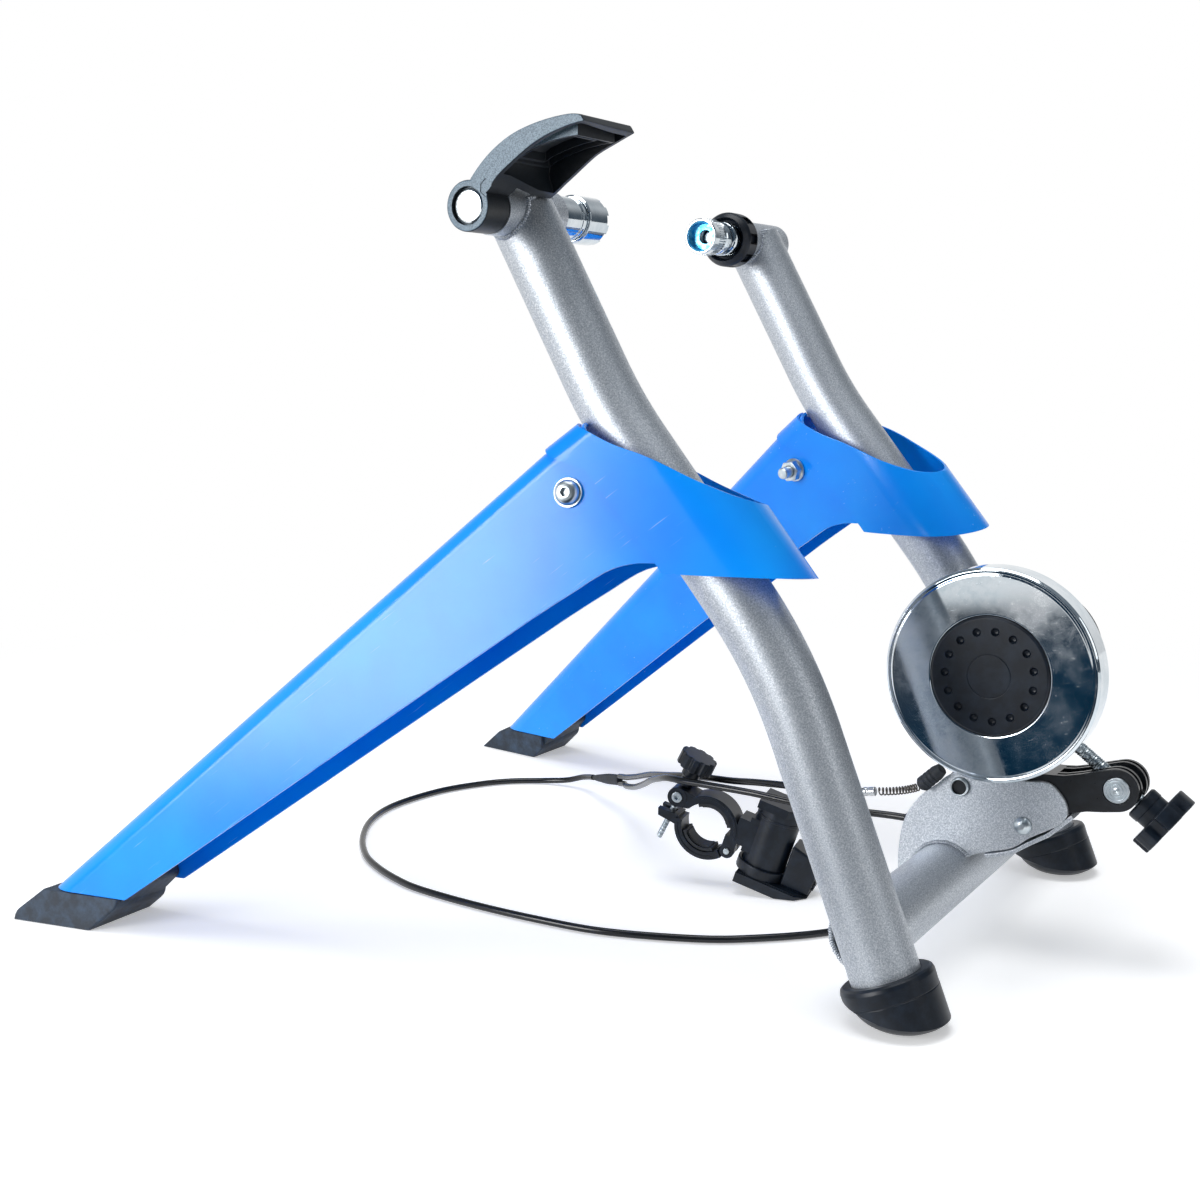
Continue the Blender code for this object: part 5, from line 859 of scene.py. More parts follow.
def leg_frame(side):
    """The frame in which a leg's outlines are drawn."""
    middle = down(MIDDLE_ANGLE)
    level = Vector((math.cos(MIDDLE_ANGLE), 0.0, math.sin(MIDDLE_ANGLE)))
    outward = math.cos(TOE_ANGLE) * side * SIDEWAYS + math.sin(TOE_ANGLE) * level
    forward = side * outward.cross(middle)
    centre = UPPER_CORNER + 0.0773 * middle
    return axes((centre.x, side * TUBE_Y, centre.z), forward, (-middle).cross(forward), -middle)


def across_leg(side, distance):
    """A point on a leg's fold axis, at a distance outwards from the leg's middle."""
    matrix = leg_frame(side)
    outward = matrix.col[1].xyz
    return matrix @ Vector((BOLT_U, 0, BOLT_V)) + outward * (distance if outward.y * side > 0 else -distance)


# %% Side tubes
HOUSING_RADIUS = 0.014
AXLE = Vector((AXLE_X, 0.0, AXLE_HEIGHT))
LEG_HEAD_HALF, LEG_FOOT_HALF, SHEET = 0.0277, 0.0238, 0.002
for word, side in SIDES:
    piece = sweep(word + "_tube", side_path(side), TUBE_RADIUS, 64, ends=False)
    piece = frozen(changed(piece, "SOLIDIFY", thickness=TUBE_WALL, offset=-1.0))
    top = AXLE + SIDEWAYS * side * 0.150
    cope = bar("cope", HOUSING_RADIUS + GAP, top - SIDEWAYS * 0.04, top + SIDEWAYS * 0.04, steps=64)
    half = LEG_HEAD_HALF - SHEET - GAP - 0.0002
    sleeve = bar("sleeve", 0.009, across_leg(side, -half), across_leg(side, half), BOLT_RADIUS + GAP, 48)
    outline = [(0.0182, 0.024), (BOLT_U - 0.006, BOLT_V - 0.0070), (BOLT_U - 0.006, BOLT_V + 0.0070),
               (0.0182, 0.066)]
    web = plate("web", outline, -0.005, 0.005, leg_frame(side) @ FROM_SIDE)
    dress(merged(word + "_tube", [carved(piece, [cope]), sleeve, web]), "frame", SILVER, word + "_side_tube")

# %% [markdown]
# ## Cross tube, axle housings and their welds
# The frame is welded, and a weld by hand is a row of small overlapping ripples. The bead's path is the curve
# where two round tubes meet, worked out from their radii, and a tree lays the ripples along it.

# %% Cross tube and housings
ends = [Vector((CROSS_X, sign * (TUBE_Y - 0.012), CROSS_HEIGHT)) for sign in (-1, 1)]
piece = bar("cross_bar", TUBE_RADIUS, *ends, bore=TUBE_RADIUS - TUBE_WALL, steps=72)
copes = [sweep("side_cope", side_path(sign), TUBE_RADIUS + GAP, 64) for sign in (-1, 1)]
dress(carved(piece, copes), "frame", SILVER, "cross_tube")
for word, low, high, bore in (("left", -0.179, -0.121, 0.0127), ("right", 0.121, 0.179, 0.0108)):
    piece = bar(word + "_housing", HOUSING_RADIUS, AXLE + SIDEWAYS * low, AXLE + SIDEWAYS * high, bore,
                fillet=0.0009)
    dress(piece, "frame", SILVER, word + "_axle_housing")


# %% Weld paths
def mouth_path(side):
    """Where the side tube's top meets the axle housing."""
    points = []
    forward = SIDEWAYS.cross(down(UPPER_ANGLE))
    for i in range(72):
        angle = math.tau * i / 72
        out = max(-0.0160, min(0.0160, TUBE_RADIUS * math.sin(angle)))
        run = math.sqrt(max(0.0, HOUSING_RADIUS ** 2 - out ** 2))
        points.append(Vector((AXLE_X, side * TUBE_Y + TUBE_RADIUS * math.cos(angle), AXLE_HEIGHT))
                      + forward * out + down(UPPER_ANGLE) * (run + 0.0004))
    return points


def cross_path(side):
    """Where the cross tube's end meets a side tube."""
    points = []
    normal = Vector((math.cos(LOWER_ANGLE), 0.0, math.sin(LOWER_ANGLE)))
    for i in range(72):
        angle = math.tau * i / 72
        spot = Vector((CROSS_X + TUBE_RADIUS * math.cos(angle), 0.0,
                       CROSS_HEIGHT + TUBE_RADIUS * math.sin(angle)))
        out = (spot - FLOOR_POINT).dot(normal)
        reach = TUBE_Y - math.sqrt(max(0.0, TUBE_RADIUS ** 2 - out ** 2))
        spot.y = side * (min(reach, TUBE_Y - 0.012) - 0.0004)
        points.append(spot)
    return points


for number, (word, side) in enumerate(SIDES):
    weld(word + "_mouth_weld", mouth_path(side), 0.0017, number, closed=True)
    weld(word + "_cross_weld", cross_path(side), 0.0017, number, closed=True)

# %% [markdown]
# ## Rear caps
# Each tube stands in a moulded plastic cap with a curved sole. It is a cup turned about the tube's own axis,
# trimmed by a sole turned about the vertical. A parting line runs round it below its rounded rim.

# %% Rear caps
CAP_RADIUS, CAP_TOP, CAP_LINE = 0.0258, 0.0275, 0.0170
CAP_SOLE = mm(0, 0, 11, 0, 17, 1.6, 22.2, 4.7, 25, 7.4, 26.8, 10, 32, 12.6, 40, 15, 40, 60, 0, 60)
CAP_CUP = [(0.0, -0.014), (CAP_RADIUS, -0.014), (CAP_RADIUS, CAP_LINE - 0.0004),
           (CAP_RADIUS - 0.0004, CAP_LINE), (CAP_RADIUS - 0.0001, CAP_LINE + 0.0004),
           (CAP_RADIUS, CAP_TOP - 0.0030),
           (CAP_RADIUS - 0.0007, CAP_TOP - 0.0010), (CAP_RADIUS - 0.0024, CAP_TOP),
           (TUBE_RADIUS + GAP, CAP_TOP), (TUBE_RADIUS + GAP, CAP_FLOOR_THICKNESS), (0.0, CAP_FLOOR_THICKNESS)]


def round_cross_tube(clearance, steps=96):
    """A cutter that leaves room round the cross tube."""
    return bar("room", TUBE_RADIUS + clearance, (CROSS_X, -0.14, CROSS_HEIGHT), (CROSS_X, 0.14, CROSS_HEIGHT),
               steps=steps)


for word, side in SIDES:
    foot = Vector((FLOOR_POINT.x, side * TUBE_Y, 0.0))
    piece = lathe(word + "_cap", CAP_CUP, basis(foot, -down(LOWER_ANGLE)))
    piece = carved(piece, [lathe("sole", CAP_SOLE, basis(foot, UP), fillet=0.0012)], "INTERSECT")
    dress(carved(piece, [round_cross_tube(2 * GAP)]), "frame", BLACK_ABS, word + "_rear_cap")

# %% [markdown]
# ## The legs
# Each front leg is sheet steel folded into a channel that is open below and tapers towards the foot. Its
# section is an arch: two sides, a flat top and two round corners. Lofting that arch along the leg, outside
# and inside at once, gives real sheet with real edges, and the tube's notch and the bolt's hole are cut
# after.

# %% Numbers of the leg
LEG_CORNER_RADIUS = 0.012
LEG_TOP, LEG_FOOT_TOP, LEG_LENGTH = 0.077, 0.0545, 0.455
COLLAR_FRONT = 0.0375
LEG_UNDERSIDE = mm(12, -14, 19, -11.5, 30, -4, 44, 1.5, 66, 3.5, 96.7, 5.7, 370.8, 17.1, 490, 22.1)
LEG_STATIONS = (0.012, 0.016, 0.019, 0.023, 0.027, 0.031, 0.036, 0.041, 0.047, 0.055, 0.066, 0.080, 0.0967,
                0.15, 0.21, 0.29, 0.3708, 0.430, 0.490)


def underside(u):
    """The channel's lower edge, smooth through its points."""
    points = LEG_UNDERSIDE
    i = next(k for k in range(len(points) - 1) if u <= points[k + 1][0])
    (u0, v0), (u1, v1) = points[i], points[i + 1]
    before, after = points[max(i - 1, 0)], points[min(i + 2, len(points) - 1)]
    leave = (v1 - before[1]) / (u1 - before[0]) * (u1 - u0)
    arrive = (after[1] - v0) / (after[0] - u0) * (u1 - u0)
    return eased(v0, v1, leave, arrive, (u - u0) / (u1 - u0))


def taper(u, start, first, last):
    return first + (last - first) * max(0.0, (u - start) / (LEG_LENGTH - start))


def arch(half, top, bottom, radius, steps=10):
    points = [(-half, bottom)]
    for centre, start in ((radius - half, 180.0), (half - radius, 90.0)):
        for i in range(steps + 1):
            angle = math.radians(start - 90.0 * i / steps)
            points.append((centre + radius * math.cos(angle), top - radius + radius * math.sin(angle)))
    return [*points, (half, bottom)]


def leg_section(u):
    """The sheet's whole section at a place along the leg, outside first and inside back."""
    half, top = taper(u, BOLT_U, LEG_HEAD_HALF, LEG_FOOT_HALF), taper(u, COLLAR_FRONT, LEG_TOP, LEG_FOOT_TOP)
    outside = arch(half, top, underside(u), LEG_CORNER_RADIUS)
    inside = arch(half - SHEET, top - SHEET, underside(u), LEG_CORNER_RADIUS - SHEET)
    return [(u, across, v) for across, v in outside + inside[::-1]]


# %% Leg channels
def foot_block(name, side, low, high):
    """A block round a leg's foot, between two heights over the floor."""
    return box(name, (AXLE_X - 0.36, side * 0.25 - 0.12, low), (AXLE_X - 0.12, side * 0.25 + 0.12, high))


def tube_notch(matrix, clearance, low):
    """A cutter where the side tube passes through a leg's head."""
    return bar("notch", TUBE_RADIUS + clearance, matrix @ Vector((0, 0, low)), matrix @ Vector((0, 0, 0.10)),
               steps=64)


for word, side in SIDES:
    matrix = leg_frame(side)
    piece = lofted(word + "_leg", [leg_section(u) for u in LEG_STATIONS], matrix)
    hole = bar("hole", BOLT_RADIUS + GAP, across_leg(side, -0.04), across_leg(side, 0.04), steps=40)
    piece = carved(piece, [tube_notch(matrix, GAP, -0.08), hole, foot_block("end", side, -0.179, 0.021)])
    dress(rounded(piece, 0.0004, 45), word + "_leg", BLUE, word + "_leg_channel")

# %% [markdown]
# ## The collars
# A thin blue cover hoods the leg's head and wraps behind the tube. Its shape is the meeting of three
# outlines: one from the side, one from above and one from the front. So it is cut from a block by those
# three outlines, then hollowed by two of them drawn in by the wall.

# %% Collar outlines
COLLAR_WALL = 0.0014
COLLAR_SIDE = mm(37.5, 92, 16, 92, 15, 77, 11.5, 70, 3.7, 55, -6.7, 40, -12.7, 30, -20.4, 15.5, -26, 6,
                 -36, -9.5, -48, -24, -48, -68, -30, -56, -10, -41, 12, -24, 20, -17.5, 20, -11, 24, 53,
                 32, 64, 37.5, 74.5)
FROM_FRONT = Matrix(((0, 0, 1, 0), (1, 0, 0, 0), (0, 1, 0, 0), (0, 0, 0, 1)))


def collar_plan(inset):
    half = LEG_HEAD_HALF + 0.0005 + COLLAR_WALL - inset
    rear = 0.041 - 0.008 - inset
    turns = [math.pi * i / 48 for i in range(49)]
    back = [(-0.008 - rear * math.sin(a), -half * math.cos(a)) for a in turns]
    return [(0.070, -half), *back, (0.070, half)]


def collar_arch(inset):
    grow = COLLAR_WALL - inset
    return arch(LEG_HEAD_HALF + 0.0005 + grow, LEG_TOP + 0.0004 + grow, -0.075,
                LEG_CORNER_RADIUS + 0.0003 + grow)


# %% Collars
for word, side in SIDES:
    matrix = leg_frame(side)
    front = matrix @ FROM_FRONT
    inner = carved(prism("inner", collar_plan(COLLAR_WALL), -0.09, 0.10, matrix),
                   [prism("inner_arch", collar_arch(COLLAR_WALL), -0.09, 0.09, front)], "INTERSECT")
    piece = prism(word + "_cover", flowing(COLLAR_SIDE, 30.0, 5), -0.04, 0.04, matrix @ FROM_SIDE)
    piece = carved(piece, [prism("outer_plan", collar_plan(0.0), -0.085, 0.095, matrix),
                           prism("outer_arch", collar_arch(0.0), -0.08, 0.08, front)], "INTERSECT")
    piece = carved(piece, [inner, tube_notch(matrix, 0.0013, 0.03)])
    dress(rounded(piece, 0.0003, 50), word + "_leg", BLUE, word + "_collar")

# %% [markdown]
# ## Front feet
# A rubber shoe closes each leg's end. It is moulded solid with a plug that pushes up into the channel,
# and its sole is trimmed level with the floor, because the leg comes down at an angle.

# %% Front feet
SHOE_SIDE = mm(35.7, 55.8, 69, 55.8, 76.7, 48, 52.2, 17.3, 27.2, 17, 2.2, 18.2, -7.8, 30)
PLUG_SIDE = mm(52.2, 50.6, -5.8, 53.7, -20.8, 40, -16.8, 22.5, 7.2, 19.5, 52.2, 19.5)
PLUG_HALF = LEG_FOOT_HALF - SHEET - 0.0006
slope = math.atan2(LEG_TOP - LEG_FOOT_TOP, LEG_LENGTH - COLLAR_FRONT)
RUN_IN = Matrix(((0, math.sin(slope), math.cos(slope), LEG_LENGTH), (1, 0, 0, 0),
                 (0, math.cos(slope), -math.sin(slope), LEG_FOOT_TOP), (0, 0, 0, 1)))
for word, side in SIDES:
    matrix = leg_frame(side)
    run = matrix.translation.z / -matrix.col[0].z
    outline = [(u + run, v) for u, v in softened(SHOE_SIDE, 0.004)]
    shoe = plate(word + "_shoe", outline, -0.0248, 0.0248, matrix @ FROM_SIDE, edge=0.0012)
    shoe = carved(shoe, [foot_block("above", side, 0.021 - GAP, 0.20)])
    plug = prism("plug", softened([(u + run, v) for u, v in PLUG_SIDE], 0.003), -LEG_FOOT_HALF, LEG_FOOT_HALF,
                 matrix @ FROM_SIDE)
    inside = prism("inside", arch(PLUG_HALF, -SHEET - 0.0006, -0.060, LEG_CORNER_RADIUS - SHEET, 6),
                   -0.1, 0.1, matrix @ RUN_IN)
    shoe = carved(shoe, [carved(plug, [inside], "INTERSECT")], "UNION")
    shoe = carved(shoe, [foot_block("floor_cut", side, -0.20, 0.0)])
    shoe = dress(rounded(shoe, 0.0006, 35), word + "_leg", FOOT_RUBBER, word + "_front_foot")
    print("its lowest point: %.2f mm" % (1000 * min(v.co.z for v in shoe.data.vertices)))

# %% [markdown]
# ## Fold bolts
# The fold turns on an M8 button-head bolt with a hexagon socket, a washer under its head, and a flanged nut
# inside the leg. The thread is a ridge wound by the thread tree at a pitch of 1.25 mm.

# %% Fold bolts, washers and nuts
WASHER_SEAT = LEG_HEAD_HALF + GAP + 0.0001
HEAD_SEAT = WASHER_SEAT + 0.0013 + GAP
BORE = BOLT_RADIUS + GAP


def hexagon(radius):
    return [(radius * math.cos(math.tau * i / 6), radius * math.sin(math.tau * i / 6)) for i in range(6)]


for word, side in SIDES:
    start, end = across_leg(side, HEAD_SEAT + 0.0045), across_leg(side, -HEAD_SEAT - 0.014)
    length, matrix = (end - start).length, basis(start, end - start)
    head = mm(0, 0, 3, 0, 4.6, 0.4, 5.8, 1.1, 6.7, 2.5, 7, 4, 7, 4.5, 4, 4.5)
    piece = lathe(word + "_bolt", [*head, (0.004, length - 0.0006), (0.0034, length), (0.0, length)], matrix,
                  fillet=0.0002)
    piece = carved(piece, [prism("socket", hexagon(0.0027), -0.001, 0.0025, matrix)])
    ridge = thread("ridge", end, start - end, 0.0225, 0.0036, 0.00125, ZINC)
    dress(merged(word + "_bolt", [piece, ridge]), "frame", ZINC, word + "_fold_bolt")

    piece = bar(word + "_washer", 0.0082, across_leg(side, WASHER_SEAT),
                across_leg(side, WASHER_SEAT + 0.0013), BORE, fillet=0.0003)
    dress(piece, "frame", ZINC, word + "_fold_washer")

    start, end = across_leg(side, -WASHER_SEAT), across_leg(side, -WASHER_SEAT - 0.0075)
    matrix = basis(start, end - start)
    flange = lathe("flange", [(BORE, 0.0), (0.0082, 0.0), (0.0082, 0.0011), (0.0066, 0.0024), (BORE, 0.0024)],
                   matrix, fillet=0.0002)
    body = prism("body", hexagon(0.0075), 0.0012, 0.0075, matrix)
    crown = lathe("crown", [(BORE, 0.0), (0.0076, 0.0), (0.0076, 0.0068), (0.0064, 0.0075), (BORE, 0.0075)],
                  matrix, fillet=0.0001)
    body = carved(body, [crown], "INTERSECT")
    dress(merged(word + "_nut", [flange, body]), "frame", ZINC, word + "_fold_nut")

# %% [markdown]
# ## The clamp lever
# The lever is a wide arched blade of moulded nylon on a round eye. Below it is hollow, with two frames of
# ribs one inside the other, as mouldings have so that they cool evenly. The blade's far edge hangs lower
# than its near one, so it is lofted from one side view to the other.

# %% Lever outlines
LEVER_TOP = mm(1.6, 13.6, 6.6, 19.3, 12.8, 25.2, 20.7, 30.9, 29.4, 35.5, 39.6, 38.9, 48.8, 41, 58, 42.3,
               64.9, 42.7, 70.2, 42.1)
LEVER_NEAR_EDGE = mm(72.9, 38.5, 65.2, 37.4, 57, 35.3, 48.7, 32.5, 40.3, 28.6, 31.8, 23.3, 23.2, 17.3,
                     18, 13.1, 13.1, 7.1, 6, 4)
LEVER_FAR_EDGE = mm(72.7, 38.1, 61, 33.1, 49.9, 28.1, 43, 23.5, 35.6, 18.1, 29, 13.4, 24.1, 9.7, 18, 6,
                    12, 5, 6, 5)
LEVER_HOLLOW = mm(20, 19, 22, 27.7, 30.7, 32.3, 40.9, 35.7, 50.1, 37.8, 59.3, 39.1, 66.2, 39.5, 69, 38.5,
                  69, 25, 51.3, 15, 32.6, 5, 25.7, 2)
LEVER_STEP = mm(8.5, 6.8, 11.8, 4, 15.6, 10, 11.8, 13.6, 8.7, 10.8)
LEVER_OUTER, LEVER_INNER, LEVER_EYE_INNER = -0.200, -0.148, -0.1793
LEVER_SKIN = 0.0032


def over_axle(outline):
    return [(x, z + AXLE_HEIGHT) for x, z in outline]


def along_axle(name, radius, start_y, end_y, **more):
    """A round bar on the axle's line."""
    return bar(name, radius, AXLE + SIDEWAYS * start_y, AXLE + SIDEWAYS * end_y, **more)


def under_blade(first, last, near, far, steps=12):
    """A band that follows the blade between two depths below its upper line."""
    band = []
    for depth, order in ((near, 1), (far, -1)):
        for i in range(steps + 1)[::order]:
            x = first + (last - first) * i / steps
            (x0, z0), (x1, z1) = next(p for p in zip(LEVER_TOP, LEVER_TOP[1:]) if x <= p[1][0])
            band.append((x, z0 + (z1 - z0) * (x - x0) / (x1 - x0) - depth))
    return over_axle(band)


def rib_frame(name, first, last, inset, depth, wall=0.0015):
    """A closed frame of ribs that hangs from the blade's underside."""
    low, high = LEVER_OUTER + inset, LEVER_INNER - inset
    piece = side_plate(name, under_blade(first, last, LEVER_SKIN - 0.0005, depth), low, high, edge=0.0003)
    hole = side_plate("rib_gap", under_blade(first + wall, last - wall, 0.0, 0.020), low + wall, high - wall)
    return carved(piece, [hole])


# %% Lever
near, far = (over_axle(flowing((*LEVER_TOP, *edge), 30.0, 3)) for edge in (LEVER_NEAR_EDGE, LEVER_FAR_EDGE))
sections = [[(x0 + (x1 - x0) * share, y, z0 + (z1 - z0) * share) for (x0, z0), (x1, z1) in zip(near, far)]
            for y, share in ((LEVER_OUTER, 0.0), (-0.190, 0.08), (-0.182, 0.35), (-0.174, 0.65),
                             (-0.166, 0.92), (LEVER_INNER, 1.0))]
blade = rounded(lofted("lever", sections, Matrix.Translation((AXLE_X, 0, 0))), 0.0008, 30)
hollow = side_plate("hollow", over_axle(LEVER_HOLLOW), LEVER_OUTER + LEVER_SKIN, LEVER_INNER - LEVER_SKIN)
blade = carved(blade, [hollow, along_axle("heel", 0.0205, LEVER_EYE_INNER, -0.12)])
eye = along_axle("eye", 0.0135, LEVER_OUTER, LEVER_EYE_INNER, fillet=0.0010)
blade = carved(blade, [eye], "UNION")
step = side_plate("step", over_axle(LEVER_STEP), -0.210, LEVER_OUTER + 0.0005, edge=0.0001)
blade = carved(blade, [step, along_axle("bore", 0.0073, -0.21, -0.17),
                       along_axle("recess", 0.0102, -0.21, LEVER_OUTER + 0.003)])
panel = side_plate("panel", under_blade(0.0260, 0.0525, LEVER_SKIN - 0.0005, 0.0045), LEVER_OUTER + 0.0170,
                   LEVER_INNER - 0.0170)
ribs = [rib_frame("outer_ribs", 0.0225, 0.0645, 0.0075, 0.0098),
        rib_frame("inner_ribs", 0.0240, 0.0575, 0.0135, 0.0084)]
dress(merged("lever", [blade, panel, *ribs]), "lever", LEVER_NYLON_PAINTED_LIGHT, "clamp_lever")

# %% [markdown]
# ## Spindle, piston and cup
# Turning the lever pushes a chromed piston, and its toothed cup, on to the axle's nut. They are turned parts.
# The teeth are what is left between eight slots, and the slots are one block repeated round the axis.
# A profile gives radii and values of y, in millimetres.

# %% Spindle, piston and cup
ON_AXLE = basis(AXLE, SIDEWAYS)
spindle = mm(0, -199.1, 8, -199, 9.2, -198.6, 9.2, -197.3, 7, -197.3, 7, -174, 12.4, -174, 12.4, -166.5,
             0, -166.5)
dress(lathe("clamp_spindle", spindle, ON_AXLE), "lever", CHROME, "lever_shaft")

piston = mm(0, -150, 11.4, -150, 12.4, -149, 12.4, -104.5, 11.7, -104, 11.7, -102, 12.4, -101.5, 12.4, -97.8,
            0, -97.8)
dress(lathe("piston", piston, ON_AXLE), "cup", CHROME, "clamp_piston")

cup = lathe("cup", mm(0, -97.5, 13, -97.5, 14, -96.5, 14, -76, 11.7, -76, 10.5, -80, 10.5, -88, 5, -90,
                      0, -90), ON_AXLE)
slots = ringed(box("slots", (0.004, -0.0028, -0.0780), (0.020, 0.0028, -0.0740)), ON_AXLE, 8, CHROME)
dress(rounded(carved(cup, [slots]), 0.00025, 35), "cup", CHROME, "axle_cup")

# %% [markdown]
# ## The screwed sleeve
# On the other side a chromed sleeve screws in and out to suit the wheel. It has a coarse thread, a
# knurled band for the fingers and a hollow end for the nut. The knurl is one small ridge repeated round
# it. The hollow end is lined with a thin skin of pale blue metal.

# %% Sleeve, core and lock ring
sleeve = lathe("sleeve", mm(4.5, 74.7, 9, 74.7, 9.8, 67.6, 10.2, 66.7, 11.2, 66.7, 11.8, 67.3, 11.8, 73,
                            11.1, 73.7, 11.1, 82, 10.4, 82.8, 10.4, 100.3, 9.8, 101, 9.8, 150, 4.5, 150),
               ON_AXLE)
ridge = prism("knurl", mm(10.9, -0.7, 12.2, 0, 10.9, 0.7), 0.0737, 0.0820, NO_TURN)
parts = [sleeve, ringed(ridge, ON_AXLE, 42, CHROME),
         thread("front_ridges", (AXLE_X, 0.0840, AXLE_HEIGHT), SIDEWAYS, 0.016, 0.0104, 0.0020, CHROME),
         thread("ridges", (AXLE_X, 0.1010, AXLE_HEIGHT), SIDEWAYS, 0.048, 0.0098, 0.0015, CHROME)]
dress(merged("sleeve", parts), "sleeve", CHROME, "cone_sleeve")

# A thin skin of pale blue metal lines the hollow end.
hollow = mm(4.6, 74.6, 4.6, 74.2, 8.7, 74.2, 9.5, 68, 9.8, 67.7, 9, 74.6)
dress(lathe("hollow", hollow, ON_AXLE), "sleeve", PALE_BLUE_LINING)
core = mm(0, 80, 3.6, 80, 4.2, 80.6, 4.2, 150.5, 9, 150.5, 9, 162, 0, 162)
dress(lathe("core", core, ON_AXLE), "core", ZINC, "cone_core")

lock_ring = lathe("lock_ring", mm(10.8, 107.2, 13.4, 106.6, 14.6, 101.8, 15, 101.5, 17.4, 104.3, 18.4, 106.3,
                                  18.4, 117.7, 16.4, 120.7, 10.8, 120.7), ON_AXLE, fillet=0.0006)
pockets = ringed(box("pockets", (0.0164, -0.0035, 0.1073), (0.030, 0.0035, 0.1167)), ON_AXLE, 8, CHROME)
dress(rounded(carved(lock_ring, [pockets]), 0.0003, 35), "ring", BLACK_ABS, "lock_ring")

# %% [markdown]
# ## The brake's bracket
# Two silver plates stand on the cross tube, with a folded web between them. Their outline bends smoothly
# through its points. Each plate is coped round the tube and welded along that arc.

# %% Bracket
BRACKET_Y, BRACKET_HALF, PLATE = 0.006, 0.0143, 0.0027
PLATE_OUTLINE = mm(180.1, 30, 180, 50.1, 182.6, 66.6, 185.7, 74.1, 190.1, 80.8, 194, 85.5, 198.6, 89.4,
                   203, 93, 207.5, 97.5, 212, 100.5, 217, 101.7, 235, 101.8, 257.2, 102, 267.9, 102.7,
                   272, 101, 275.2, 97.9, 278.2, 94.4, 280.1, 90.3, 280.6, 86.8, 280.3, 84.4, 277, 79.5,
                   270, 74.6, 259, 68, 250, 61, 234.1, 55.6, 225, 52, 215, 40, 200, 30)
WEB_PATH = mm(233, 53, 241, 55, 250, 58.3, 259, 64.5, 270, 71.5, 283.2, 84.3)
PIN_PLACE, SCREW_PLACE, DOWEL_PLACE = (0.2173, 0.0934), (0.2553, 0.0752), (0.3066, 0.1027)


def strip(path, thickness):
    """An outline of even thickness along a path."""
    sides = [], []
    for i, point in enumerate(path):
        run = (Vector(path[min(i + 1, len(path) - 1)]) - Vector(path[max(i - 1, 0)])).normalized()
        for line, sign in zip(sides, (1, -1)):
            line.append(tuple(Vector(point) + Vector((-run.y, run.x)) * sign * thickness / 2))
    return sides[0] + sides[1][::-1]


def across(name, radius, place, low=-0.04, high=0.04):
    """A round bar along Y at a place in x and z."""
    return bar(name, radius, at(place[0], low, place[1]), at(place[0], high, place[1]))


outline = flowing(PLATE_OUTLINE)
low, high = BRACKET_Y - BRACKET_HALF, BRACKET_Y + BRACKET_HALF
left = side_plate("bracket", outline, low - PLATE, low, edge=0.0005)
right = side_plate("right_plate", outline, high, high + PLATE, edge=0.0005)
web = side_plate("web", strip(WEB_PATH, 0.0025), low - 0.0017, high + 0.0017, edge=0.0005)
piece = carved(carved(left, [right, web], "UNION"), [round_cross_tube(2 * GAP, 72)])
piece = carved(piece, [across("pin_hole", 0.0058, PIN_PLACE), across("screw_hole", 0.0043, SCREW_PLACE)])
dress(piece, "frame", SILVER, "brake_bracket")

for word, y, seed in (("left", low - PLATE - 0.0003, 11), ("right", high + PLATE + 0.0003, 12)):
    arc = [math.radians(44 + 158 * i / 39) for i in range(40)]
    path = [Vector((CROSS_X + 0.0198 * math.cos(a), y, CROSS_HEIGHT + 0.0198 * math.sin(a))) for a in arc]
    weld(word + "_plate_weld", path, 0.0014, seed)

# %% [markdown]
# The brake unit swings on a hollow pin with a rolled rim. A black rod fills its bore, painted shade for the
# dark inside the hollow pin. A domed screw holds the black arm, whose end is slit into four ears for the
# cross dowel.

# %% Pin, screw and arm
pin = mm(4.4, 0, 4.9, -0.2, 5.5, 0.4, 5.5, 39.6, 4.9, 40.2, 4.4, 40)
on_pin = basis(at(PIN_PLACE[0], -0.0140, PIN_PLACE[1]), SIDEWAYS)
dress(lathe("pivot_pin", pin, on_pin, 64, 0.0002), "frame", ZINC, "pivot_pin")
# Painted shade: a black rod fills the pin's bore, where the hollow is dark.
dress(across("pin_bore_painted_shade", 0.0043, PIN_PLACE, -0.0120, 0.0240), "frame", BLACK_PAINT)

screw = mm(0, -20.4, 1.6, -20.3, 3.2, -19.8, 4.6, -18.8, 5.3, -17.7, 5.3, -17.3, 4, -17.3, 4, 17.3, 5.3, 17.3,
           5.3, 20.9, 4.9, 21.3, 0, 21.3)
on_screw = basis(at(SCREW_PLACE[0], BRACKET_Y, SCREW_PLACE[1]), SIDEWAYS)
dress(lathe("bracket_screw", screw, on_screw, 64, 0.0002), "frame", ZINC, "bracket_screw")

ARM_BELOW = mm(234, 74.5, 248, 65.5, 260, 69.3, 270, 76.5, 281.2, 85.5)
ARM_ABOVE = mm(277.4, 107.4, 260, 106, 240, 98.5, 232.5, 90)
turns = [math.radians(-78 + 186 * i / 14) for i in range(15)]
nose = [(DOWEL_PLACE[0] + 0.0124 * math.cos(a), DOWEL_PLACE[1] + 0.0124 * math.sin(a)) for a in turns]
piece = side_plate("arm", flowing((*ARM_BELOW, *nose, *ARM_ABOVE), 40.0, 3), low + GAP, high - GAP)
slits = [box("slit", (AXLE_X + 0.272, BRACKET_Y + start, 0.05), (AXLE_X + 0.35, BRACKET_Y + end, 0.15))
         for start, end in mm(-11, -7.5, -5, 5, 7.5, 11)]
piece = carved(piece, [*slits, across("screw_hole", 0.0043, SCREW_PLACE),
                       across("dowel_hole", 0.0078, DOWEL_PLACE)])
dress(rounded(piece, 0.0004, 35), "frame", BLACK_PAINT, "screw_arm")

